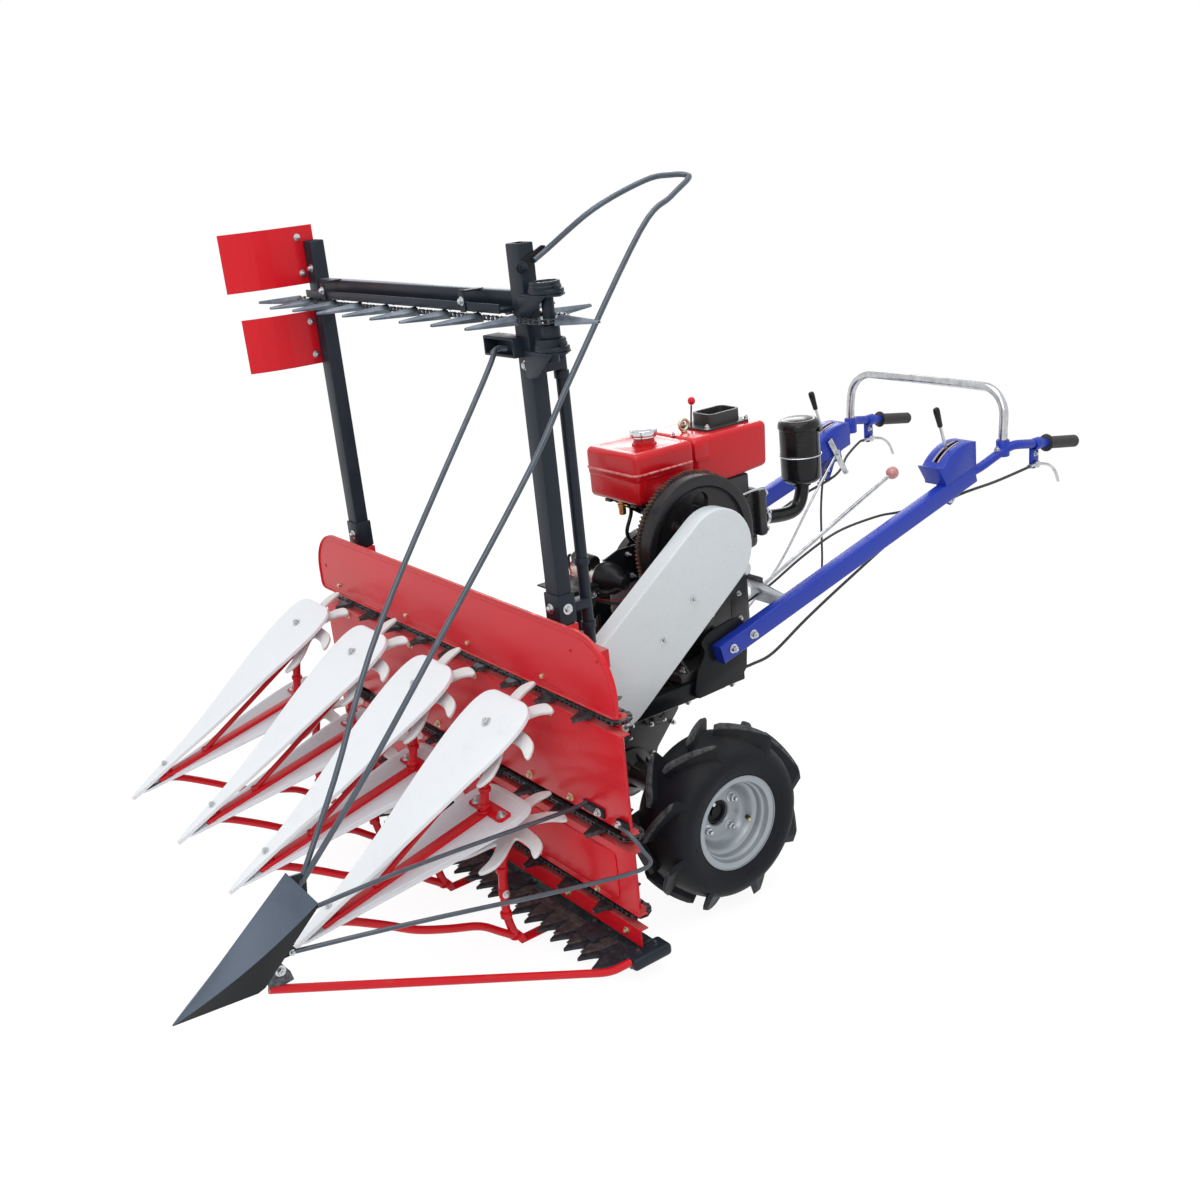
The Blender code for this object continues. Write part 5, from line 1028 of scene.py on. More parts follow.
gloss_black = Finish("gloss black", (0.008, 0.009, 0.011), 0.22, Specular_IOR_Level=0.2, Coat_Weight=0.1,
                     Coat_Roughness=0.08)
smudge = gloss_black.noise(16, 5, 0.7).step(0.45, 0.8)
grain = gloss_black.noise(130, 5, 0.75).step(0.66, 0.76)
gloss_black.set(Base_Color=gloss_black.mix(smudge * 0.25 + grain * 0.3, (0.009, 0.0095, 0.0105),
                                           (0.075, 0.072, 0.068)),
                Roughness=0.2 + smudge * 0.25 + grain * 0.2)
gloss_black.bump(gloss_black.noise(26, 3, 0.5), 0.08, 0.0012)

tap = turned([(0.0, 0.0), (0.0, 0.007), (0.008, 0.007), (0.009, 0.0105), (0.016, 0.0105), (0.017, 0.009),
              (0.033, 0.0088), (0.035, 0.006), (0.035, 0.0)], (0.135, 0.112, 0.6445), (0, 0, -1), 28)
stub = drum((0.135, 0.112, 0.634), (1, 0.2, 0), 0.0035, 0.022, 12, 0.0006)
fit([tap, stub], "fuel_tap", "engine_block", brass, smooth=40)
hose = rod_of([(0.157, 0.116, 0.634), (0.172, 0.114, 0.632), (0.186, 0.096, 0.612), (0.18, 0.08, 0.58),
               (0.176, 0.1, 0.545), (0.19, 0.14, 0.535), (0.21, 0.162, 0.54)], 0.0046, sides=4)
fit(hose, "fuel_hose", "engine_block", gloss_black, smooth=60)

# Fuel tank and cap
# A tank of two deep-drawn red shells, joined by a rolled seam, with a red filler neck. Its cap is
# a chromed pressing with a scalloped edge, screwed on the neck.

TANK_LOW = Vector((0.055, 0.075, 0.652))
TANK_HIGH = Vector((0.25, 0.255, 0.775))
SEAM_Z = 0.7255

tank_red = Finish("tank red", (0.5, 0.006, 0.012), 0.24, Specular_IOR_Level=0.3, Coat_Weight=0.14,
                  Coat_Roughness=0.06)
shade = tank_red.noise(5, 3, 0.5)
dull = tank_red.noise(12, 5, 0.65).step(0.5, 0.85) * tank_red.up().step(0.2, 0.9)
nick = tank_red.noise(95, 6, 0.8).step(0.715, 0.755)
tank_red.set(Base_Color=tank_red.mix(nick * 0.4 + dull * 0.22,
                                     tank_red.mix(shade, (0.5, 0.004, 0.01), (0.66, 0.009, 0.016)),
                                     (0.5, 0.2, 0.18)), Roughness=0.22 + shade * 0.08 + dull * 0.35)
tank_red.bump(tank_red.noise(22, 2, 0.4) * 1.6 + tank_red.noise(240, 2, 0.4) * 0.1, 0.1, 0.0016)

pale_red = Finish("rubbed red", (0.66, 0.13, 0.13), 0.35, Coat_Weight=0.4)
rub = pale_red.noise(60, 5, 0.7).step(0.35, 0.65)
pale_red.set(Base_Color=pale_red.mix(rub, (0.58, 0.02, 0.028), (0.74, 0.3, 0.28)),
             Roughness=0.25 + rub * 0.2)

lower = boxed(TANK_LOW + Vector((0.0015, 0.0015, 0.0002)),
              (TANK_HIGH.x - 0.0015, TANK_HIGH.y - 0.001, SEAM_Z), 0.014, 5)
upper = boxed((TANK_LOW.x, TANK_LOW.y, SEAM_Z - 0.025), TANK_HIGH, 0.015, 5)
inset_faces(upper, lambda face: face.normal.z > 0.99, (0.01, 0.0), (0.0025, -0.0012))
lap = boxed((TANK_HIGH.x - 0.003, 0.095, TANK_LOW.z + 0.016), (TANK_HIGH.x - 0.0004, 0.101, SEAM_Z - 0.002),
            0.0006)
neck = turned([(0.77, 0.0), (0.77, 0.03), (0.7765, 0.0296), (0.779, 0.0255), (0.7885, 0.024),
               (0.7905, 0.0232), (0.7905, 0.019), (0.772, 0.019), (0.772, 0.0)], (0.165, 0.172, 0),
              (0, 0, 1), 40)
fit([lower, upper, lap, neck], "tank_shells", "fuel_tank", tank_red, smooth=40, whole=True)


def rounded_rim(low, high, radius, z, steps=6):
    """Corners of a rectangle with round corners, at one height."""
    line = []
    for x, y, first in ((high[0] - radius, high[1] - radius, 0.0),
                        (low[0] + radius, high[1] - radius, pi / 2), (low[0] + radius, low[1] + radius, pi),
                        (high[0] - radius, low[1] + radius, 3 * pi / 2)):
        turns = [first + pi / 2 * count / steps for count in range(steps + 1)]
        line += [Vector((x + radius * cos(turn), y + radius * sin(turn), z)) for turn in turns]
    return line


seam_line = rounded_rim((TANK_LOW.x + 0.0005, TANK_LOW.y + 0.0005),
                        (TANK_HIGH.x - 0.0005, TANK_HIGH.y - 0.004), 0.014, SEAM_Z)
seam = rod_of(seam_line, 0.0033, smooth=False, sides=3, cyclic=True)
fit(seam, "tank_seam", "fuel_tank", pale_red, smooth=60)

chrome = Finish("chrome", (0.58, 0.59, 0.61), 0.12, 1.0)
spots_of = chrome.noise(190, 4, 0.7).step(0.6, 0.78)
chrome.set(Base_Color=chrome.mix(spots_of * 0.5, (0.6, 0.61, 0.63), (0.34, 0.31, 0.27)),
           Roughness=0.1 + spots_of * 0.3)
chrome.bump(chrome.noise(35, 2, 0.5), 0.04, 0.0006)

plated = Finish("plated steel", (0.5, 0.51, 0.53), 0.22, 1.0)
haze = plated.noise(45, 4, 0.6)
plated.set(Base_Color=plated.mix(haze.step(0.3, 0.8), (0.56, 0.57, 0.59), (0.36, 0.36, 0.36)),
           Roughness=0.17 + haze * 0.14)
plated.bump(plated.noise(200, 2, 0.5), 0.05, 0.0004)

cap_line = []
for turn in (2 * pi * count / 64 for count in range(64)):
    scallop = 0.0312 + 0.0014 * abs(cos(4 * turn)) ** 0.5
    cap_line.append(Vector((0.165, 0.172, 0.7945)) + Vector((cos(turn), sin(turn), 0)) * scallop)
cap = extruded(cap_line, (0, 0, 0.015), 0.003, 3)
inset_faces(cap, lambda face: face.normal.z > 0.99, (0.002, 0.001), (0.004, 0.0018), (0.006, 0.0008),
            (0.002, -0.0006))
skirt = turned([(0.7917, 0.0235), (0.7917, 0.03), (0.7955, 0.03), (0.7955, 0.0235)], (0.165, 0.172, 0),
               (0, 0, 1), 40)
fit([cap, skirt], "cap_pressing", "fuel_cap", chrome, smooth=40, body="fuel_cap", whole=True)

# Water hopper
# The red hopper behind the tank holds the cooling water. A black cast collar stands open on its
# bolted flange, beside a plated lifting eye and the red ball of the level float.

yellow_bolt = Finish("yellow plate", (0.66, 0.56, 0.34), 0.3, 1.0)
patina = yellow_bolt.noise(260, 4, 0.7)
yellow_bolt.set(Base_Color=yellow_bolt.mix(patina, (0.42, 0.34, 0.2), (0.78, 0.7, 0.5)),
                Roughness=0.22 + patina * 0.3)

side_line = [(0.2556, 0.6545), (0.375, 0.6545), (0.488, 0.6625), (0.4935, 0.7745), (0.2556, 0.7745)]
tub = side_plate(side_line, 0.0592, 0.2458, 0.0)
bevelled(tub, 0.015, 5, 50)
lap = boxed((0.244, 0.257, 0.7225), (0.2475, 0.298, 0.762), 0.0008)
foot = boxed((0.244, 0.257, 0.722), (0.25, 0.302, 0.7252), 0.001)
fit([tub, lap, foot], "hopper_shell", "water_hopper", tank_red, smooth=40, whole=True)

flange = extruded(rounded_rim((0.1055, 0.3255), (0.2145, 0.4695), 0.016, 0.7735, 3), (0, 0, 0.0065), 0.0012)
collar = extruded(rounded_rim((0.1225, 0.3525), (0.1975, 0.4545), 0.018, 0.778, 3), (0, 0, 0.0305))
inset_faces(collar, lambda face: face.normal.z > 0.99, (0.0014, 0.0004), (0.005, 0.0), (0.0016, -0.028))
fit([flange, collar], "hopper_collar", "water_hopper", cast, smooth=30)
spots = [((x, y, 0.78), (0, 0, 1)) for x in (0.114, 0.206) for y in (0.3345, 0.4605)]
spots.append(((0.165, 0.262, 0.7744), (0, 0, 1), 0.8))
bolts((0.01, 0.005, 0.008, 0.004), spots, "hopper_bolts", "water_hopper")
eye_line = [(0.16, 0.3 + 0.0133 * cos(turn), 0.7925 + 0.0133 * sin(turn))
            for turn in (2 * pi * count / 28 for count in range(28))]
ring = rod_of(eye_line, 0.0035, smooth=False, sides=4, cyclic=True)
nut = drum((0.16, 0.3, 0.774), (0, 0, 1), 0.0085, 0.0045, 6, 0.0008)
fit([ring, nut], "lifting_eye", "water_hopper", yellow_bolt, smooth=50)
float_rod = rod_of([(0.15, 0.33, 0.774), (0.15, 0.3322, 0.795), (0.15, 0.3366, 0.832)], 0.0022)
fit(float_rod, "float_rod", "water_hopper", cast)
ball_half = [(0.8425 - 0.01 * cos(turn), 0.0092 * sin(turn))
             for turn in (pi * step / 14 for step in range(15))]
ball = turned(ball_half, (0.15, 0.338, 0), (0, 0, 1), 28)
fit(ball, "float_ball", "water_hopper", gloss_red, smooth=60)

# Battery tray
# A small black tray in front of the starter: a folded top on an upright plate, with its bolts.

parts = [boxed((0.13, -0.15, 0.5), (0.25, -0.058, 0.504), 0.0012),
         boxed((0.246, -0.15, 0.49), (0.25, -0.058, 0.503), 0.0012)]
upright = [(-0.138, 0.3), (-0.138, 0.501), (-0.06, 0.501), (-0.06, 0.47), (-0.086, 0.43), (-0.086, 0.3)]
parts += [
    side_plate(upright, 0.238, 0.242, 0.0008),
    boxed((0.15, -0.142, 0.44), (0.2, -0.09, 0.499), 0.004),
]
fit(parts, "battery_tray", "engine_block", black)
spots = [((0.2422, -0.074, 0.483), (1, 0, 0), 1.1), ((0.2422, -0.1, 0.46), (1, 0, 0), 1.0),
         ((0.2422, -0.12, 0.4), (1, 0, 0), 1.0)]
bolts((0.0105, 0.0052, 0.0085, 0.003), spots, "battery_tray_bolts", "engine_block")

# Air cleaner
# An oil-bath cleaner in glossy black: a domed can clamped round its middle by a plated band, on a
# bent intake pipe with a clip where it meets the head.

FILTER = Vector((0.19, 0.652, 0))
can = [(0.576, 0.0), (0.576, 0.038), (0.577, 0.043), (0.583, 0.049), (0.59, 0.0515), (0.643, 0.0515),
       (0.6445, 0.0535), (0.6495, 0.0535), (0.651, 0.0515), (0.715, 0.0515), (0.7165, 0.0535),
       (0.718, 0.0545), (0.726, 0.0542), (0.733, 0.052), (0.7385, 0.046), (0.74, 0.04), (0.7392, 0.037),
       (0.741, 0.033), (0.7416, 0.0)]
parts = [turned(can, FILTER, (0, 0, 1), 64)]
elbow = [(0.19, 0.653, 0.58), (0.19, 0.653, 0.556), (0.19, 0.646, 0.528), (0.19, 0.63, 0.508),
         (0.19, 0.606, 0.5), (0.19, 0.56, 0.5035), (0.19, 0.496, 0.515)]
parts += [
    rod_of(elbow, 0.018, sides=6),
    drum((0.19, 0.652, 0.565), (0, 0, 1), 0.024, 0.011, 36, 0.0015),
]
fit(parts, "cleaner_can", "air_cleaner", gloss_black, whole=True)
band = turned([(0.6452, 0.0528), (0.6452, 0.0548), (0.6465, 0.0558), (0.6478, 0.0548), (0.6478, 0.0528)],
              FILTER, (0, 0, 1), 64)
knob = drum((0.238, 0.672, 0.713), (0.85, 0.5, 0.0), 0.0065, 0.006, 6, 0.0012)
clip = turned([(0.0, 0.018), (0.0, 0.02), (0.009, 0.02), (0.009, 0.018)], (0.19, 0.512, 0.513),
              (0, 1, -0.18), 40)
clip_screw = drum((0.203, 0.516, 0.534), (1, 0, -0.4), 0.0032, 0.014, 10, 0.0006)
fit([band, clip, clip_screw], "cleaner_band", "air_cleaner", zinc_bolt, smooth=40)
fit(knob, "cleaner_knob", "air_cleaner", black, smooth=40)

# Starter motor
# A bright motor body with a black drive-end bell and its nose, held by a steel arm on the block.
# The solenoid rides on top, and a short loom of sleeved wires runs back to the case.

STARTER = Vector((0, -0.012, 0.5))
brushed = Finish("bright alloy", (0.78, 0.76, 0.7), 0.34, 0.6)
rings = brushed.noise(60, 3, 0.6)
tarnish = brushed.noise(20, 5, 0.7).step(0.5, 0.8)
brushed.set(Base_Color=brushed.mix(tarnish * 0.4, (0.8, 0.78, 0.73), (0.42, 0.36, 0.28)),
            Roughness=0.24 + rings * 0.14 + tarnish * 0.2)
brushed.bump(brushed.noise(300, 3, 0.6), 0.08, 0.0005)

body = [(0.1105, 0.0), (0.1105, 0.029), (0.113, 0.0335), (0.118, 0.0355), (0.214, 0.0355), (0.214, 0.0)]
motor = turned(body, STARTER, (1, 0, 0), 56)
fit(motor, "starter_body", "starter_motor", brushed, whole=True)
bell = [(0.2142, 0.0), (0.2142, 0.0405), (0.22, 0.0405), (0.2215, 0.0385), (0.233, 0.0375), (0.246, 0.034),
        (0.256, 0.0285), (0.264, 0.0225), (0.27, 0.0185), (0.284, 0.0165), (0.287, 0.015), (0.289, 0.012),
        (0.289, 0.0)]
parts = [turned(bell, STARTER, (1, 0, 0), 48)]
arm_line = [(-0.04, 0.475), (-0.034, 0.52), (-0.01, 0.542), (0.03, 0.556), (0.084, 0.556), (0.084, 0.47),
            (0.02, 0.462), (-0.025, 0.46)]
parts += [
    side_plate(arm_line, 0.208, 0.2145, 0.0012),
    boxed((0.145, 0.005, 0.478), (0.208, 0.0845, 0.52), 0.003),
    turned([(0.13, 0.0), (0.13, 0.015), (0.133, 0.0168), (0.2, 0.0168), (0.205, 0.015), (0.205, 0.0)],
           (0, -0.032, 0.54), (1, 0, 0), 32),
    boxed((0.145, -0.042, 0.515), (0.195, -0.018, 0.53), 0.002),
]
fit(parts, "starter_bell", "starter_motor", black)
spots = [((0.13, -0.039, 0.545), (-1, 0, 0)), ((0.13, -0.025, 0.537), (-1, 0, 0)),
         ((0.2146, 0.056, 0.54), (1, 0, 0), 1.2), ((0.2146, 0.064, 0.486), (1, 0, 0), 1.2),
         ((0.2225, -0.044, 0.495), (1, 0, 0), 0.9), ((0.2225, 0.02, 0.499), (1, 0, 0), 0.9)]
bolts((0.008, 0.004, 0.006, 0.008), spots, "starter_bolts", "starter_motor")
sleeve = Finish("wire sleeve", (0.02, 0.02, 0.022), 0.55)
twist = sleeve.node("TexWave", {"wave_type": "BANDS", "bands_direction": "DIAGONAL"},
                    {"Vector": sleeve.place(), "Scale": 90.0, "Distortion": 1.5}, out=1)
sleeve.set(Base_Color=sleeve.mix(twist.step(0.55, 0.8) * 0.5, (0.015, 0.015, 0.017), (0.1, 0.1, 0.11)),
           Roughness=0.5 + twist * 0.1)
sleeve.bump(twist, 0.4, 0.001)
loom = rod_of([(0.125, -0.039, 0.545), (0.112, -0.044, 0.548), (0.108, -0.04, 0.52), (0.13, -0.046, 0.48),
               (0.19, -0.05, 0.455), (0.235, -0.02, 0.44), (0.262, 0.04, 0.43), (0.27, 0.09, 0.42)], 0.0036,
              sides=3)
fit(loom, "starter_loom", "starter_motor", sleeve, smooth=60)
live = Finish("red wire", (0.55, 0.01, 0.012), 0.45)
live.set(Base_Color=live.mix(live.noise(90, 3), (0.42, 0.008, 0.01), (0.62, 0.02, 0.022)),
         Roughness=0.38 + live.noise(200) * 0.15)
lead = rod_of([(0.125, -0.025, 0.537), (0.112, -0.03, 0.536), (0.114, -0.05, 0.51), (0.15, -0.055, 0.47),
               (0.215, -0.042, 0.452), (0.25, 0.0, 0.448), (0.268, 0.06, 0.438), (0.276, 0.092, 0.432)],
              0.0015, sides=3)
fit(lead, "starter_lead", "starter_motor", live, smooth=60)

# Flywheel
# A cast wheel with three round holes through its dished web. A steel ring gear is shrunk on the
# engine side, and a grooved pulley is bolted on the outer face.

RING_TEETH = 104
FLYWHEEL_PADS = [(0.086 * cos(turn), 0.086 * sin(turn))
                 for turn in (radians(22 + 120 * count) for count in range(3))]

iron = Finish("turned iron", (0.03, 0.028, 0.027), 0.34, 0.55)
rust = iron.noise(16, 6, 0.7).step(0.55, 0.78)
film = iron.noise(55, 4, 0.65)
iron.set(Base_Color=iron.mix(rust * 0.55, (0.024, 0.024, 0.026), (0.11, 0.045, 0.022)),
         Roughness=0.26 + rust * 0.35 + film * 0.12)
iron.bump(iron.noise(180, 3, 0.6), 0.15, 0.0007)

toothed = Finish("ring gear steel", (0.12, 0.07, 0.045), 0.5, 0.7)
orange = toothed.noise(45, 5, 0.7)
toothed.set(Base_Color=toothed.mix(orange.step(0.35, 0.7), (0.06, 0.055, 0.052), (0.23, 0.095, 0.045)),
            Roughness=0.4 + orange * 0.3)
toothed.bump(orange, 0.3, 0.0006)

web = [(0.3065, 0.0), (0.3065, 0.046), (0.308, 0.048), (0.318, 0.05), (0.323, 0.06), (0.323, 0.123),
       (0.317, 0.13), (0.306, 0.134), (0.3055, 0.14), (0.3055, 0.1595), (0.318, 0.1598), (0.344, 0.16),
       (0.348, 0.159), (0.3497, 0.156), (0.35, 0.15), (0.35, 0.137), (0.3494, 0.1345), (0.344, 0.131),
       (0.339, 0.125), (0.3368, 0.116), (0.336, 0.104), (0.336, 0.068), (0.3375, 0.06), (0.342, 0.054),
       (0.35, 0.049), (0.3525, 0.047), (0.353, 0.044), (0.353, 0.0)]
wheel = turned(web, CRANK, (1, 0, 0), 96)
for count in range(3):
    turn = radians(82 + 120 * count)
    hole = drum(CRANK + Vector((0.29, 0.094 * cos(turn), 0.094 * sin(turn))), (1, 0, 0), 0.024, 0.08, 40)
    carve(wheel, hole)
pad = [(0.334, 0.0), (0.334, 0.014), (0.34, 0.0125), (0.3425, 0.011), (0.3425, 0.0)]
pads = [turned(pad, CRANK + Vector((0, y, z)), (1, 0, 0), 28) for y, z in FLYWHEEL_PADS]
fit([wheel, *pads], "flywheel_casting", "flywheel", iron, body="flywheel", whole=True)

teeth = []
for count in range(RING_TEETH):
    for share, radius in ((0.0, 0.1612), (0.18, 0.1612), (0.36, 0.1655), (0.62, 0.1655), (0.8, 0.1612)):
        turn = 2 * pi * (count + share) / RING_TEETH
        teeth.append(CRANK + Vector((0.3052, radius * cos(turn), radius * sin(turn))))
ring = extruded(teeth, (0.0108, 0, 0))
bore = drum(CRANK + Vector((0.29, 0, 0)), (1, 0, 0), 0.159, 0.08, 96)
carve(ring, bore)
fit(ring, "ring_gear", "flywheel", toothed, smooth=25, body="flywheel")

groove = [(0.3502, 0.0), (0.3502, 0.06), (0.3512, 0.0618), (0.353, 0.0618)]
for start in (0.354, 0.3625, 0.371):
    groove += [(start, 0.0616), (start + 0.0028, 0.053), (start + 0.0048, 0.053), (start + 0.0076, 0.0616)]
groove += [(0.3796, 0.0618), (0.38, 0.06), (0.38, 0.03), (0.379, 0.028), (0.379, 0.0205), (0.401, 0.02),
           (0.4018, 0.019), (0.4018, 0.0)]
pulley = turned(groove, CRANK, (1, 0, 0), 64)
fit(pulley, "flywheel_pulley", "flywheel", iron, smooth=30, body="flywheel")
spots = [(CRANK + Vector((0.3425, y, z)), (1, 0, 0)) for y, z in FLYWHEEL_PADS]
bolts((0.011, 0.0055, 0.009, 0.002), spots, "flywheel_bolts", "flywheel", cast, body="flywheel")

# Belt guard
# A shallow pan pressed from sheet and sprayed bluish white covers both pulleys. It is open to the
# engine, bolted to the strut from the frame rail, and its rim has a rounded edge.

GUARD_TOP = (0.155, 0.56, 0.1)
GUARD_BOTTOM = (-0.165, 0.33, 0.105)
guard_white = Finish("guard white", (0.66, 0.71, 0.73), 0.34, Coat_Weight=0.3, Coat_Roughness=0.2)
spray = guard_white.noise(300, 2, 0.5).step(0.645, 0.7)
grime = guard_white.noise(11, 6, 0.7).step(0.48, 0.85)
guard_white.set(Base_Color=guard_white.mix(spray * 0.35 + grime * 0.18, (0.655, 0.71, 0.735),
                                           (0.36, 0.37, 0.37)), Roughness=0.28 + grime * 0.25)
guard_white.bump(guard_white.noise(120, 3, 0.6), 0.08, 0.0008)


def stadium(first, second, x, steps=20):
    """Outline round two circles of (y, z, radius), joined by their outer tangents."""
    (ya, za, ra), (yb, zb, rb) = first, second
    base = atan2(za - zb, ya - yb)
    lean = pi / 2 - (rb - ra) / sqrt((ya - yb) ** 2 + (za - zb) ** 2)
    line = []
    for y, z, radius, first, swing in ((ya, za, ra, lean - pi, pi - lean), (yb, zb, rb, pi - lean, lean)):
        for step in range(steps + 1):
            turn = base + first + 2 * swing * step / steps
            line.append(Vector((x, y + radius * cos(turn), z + radius * sin(turn))))
    return line


pan = extruded(stadium(GUARD_TOP, GUARD_BOTTOM, 0.3855), (0.0462, 0, 0))
modify(pan, "BEVEL", width=0.005, segments=4, limit_method="ANGLE", angle_limit=radians(60))
inset_faces(pan, lambda face: face.normal.x < -0.99, (0.002, 0.0), (0.0005, -0.038))
strut = rod_of([(x, -0.15, 0.2262) for x in (0.3582, 0.37, 0.428)], 0.0083, smooth=False, sides=5)
fit([pan, strut], "guard_pan", "belt_guard", guard_white, whole=True)
spots = [((0.4316, y, z), (1, 0, 0)) for y, z in ((0.0692, 0.4719), (-0.0254, 0.4021), (-0.15, 0.24))]
bolts((0.0105, 0.0055, 0.011, 0.004), spots, "guard_bolts", "belt_guard")

# Rear cover
# A galvanised sheet behind the engine, folded down over the gear linkage, with turned edges and
# two bolts through its flange.

galvanised = Finish("galvanised sheet", (0.5, 0.53, 0.56), 0.36, 0.8)
cells = galvanised.node("TexVoronoi", sockets={"Vector": galvanised.place(), "Scale": 55.0}, out=1)
flakes = galvanised.axes(cells)[0]
galvanised.set(Base_Color=galvanised.mix(flakes, (0.4, 0.43, 0.47), (0.6, 0.63, 0.66)),
               Roughness=0.28 + flakes * 0.16)
galvanised.bump(galvanised.noise(30, 2, 0.4), 0.06, 0.0015)
thin = 0.0024
face = 0.3704
bent = [(face, 0.4178), (face, 0.4045), (face + 0.0015, 0.401), (0.4655, 0.3325), (0.468, 0.3285),
        (0.468, 0.301), (0.468 + thin, 0.301), (0.468 + thin, 0.33), (0.467 + thin * 0.7, 0.3345),
        (face + 0.003, 0.403), (face + thin, 0.405), (face + thin, 0.4178)]
cover = side_plate(bent, 0.1725, 0.3295, 0.0004)
fit(cover, "rear_sheet", "rear_cover", galvanised, smooth=40, whole=True)
bolts((0.009, 0.0045, 0.008), [((x, 0.3729, 0.4112), (0, 1, 0), 0.75) for x in (0.192, 0.262)],
      "rear_sheet_bolts", "rear_cover")

# Handlebars
# Each blue handle is a box beam bolted to the frame. A round tube bends out of its end to the
# grip, and a welded quadrant with a curved slot guides the hand lever.

HANDLE_START = (0.15, 0.29)
HANDLE_END = (1.09, 0.527)
GRIP_OFFSET = 0.3
GRIP_START = (1.325, 0.563)
GRIP_DROP = radians(9.6)

blue = Finish("royal blue", (0.014, 0.04, 0.42), 0.34, Specular_IOR_Level=0.3, Coat_Weight=0.12,
              Coat_Roughness=0.2)
tone = blue.noise(4, 4, 0.55)
chip = blue.noise(70, 6, 0.8).step(0.705, 0.745)
dusty = blue.noise(10, 5, 0.65).step(0.45, 0.85) * blue.up().step(0.2, 0.9)
blue.set(Base_Color=blue.mix(chip * 0.6,
                             blue.mix(dusty * 0.35,
                                      blue.mix(tone, (0.01, 0.034, 0.36), (0.017, 0.05, 0.47)),
                                      (0.07, 0.11, 0.42)), (0.035, 0.03, 0.045)),
         Roughness=0.32 + tone * 0.1 + dusty * 0.25)
blue.bump(blue.noise(18, 2, 0.4), 0.06, 0.001)

bare = Finish("worn slot edge", (0.56, 0.44, 0.3), 0.45, 0.2)
bare.set(Base_Color=bare.mix(bare.noise(120, 4, 0.7), (0.6, 0.5, 0.36), (0.3, 0.24, 0.2)),
         Roughness=0.36 + bare.noise(60) * 0.2)

handle_aim = Vector((0, HANDLE_END[0] - HANDLE_START[0], HANDLE_END[1] - HANDLE_START[1])).normalized()
handle_up = Vector((0, -handle_aim.z, handle_aim.y))
grip_aim = Vector((0, cos(GRIP_DROP), -sin(GRIP_DROP)))


def along_handle(x, distance, lift=0.0):
    """A place beside a handle's centre line, at a distance from its front end."""
    return Vector((x, *HANDLE_START)) + handle_aim * distance + handle_up * lift


def on_quadrant(radius, degrees):
    """A (y, z) place on a circle round the quadrant's centre."""
    return 1.058 + radius * cos(radians(degrees)), 0.478 + radius * sin(radians(degrees))


def quadrant_line(shrink):
    """The lever box's side view, drawn in by an amount: a curved top on straight flanks."""
    line = [(0.964 + shrink, 0.519), (0.9612 + shrink, 0.53), (0.935 + shrink * 1.6, 0.572 - shrink * 0.4)]
    line += [on_quadrant(0.138 - shrink, 139 - 6 * count) for count in range(11)]
    return line + [(1.0835 - shrink, 0.613 - shrink), (1.0845 - shrink, 0.5495)]


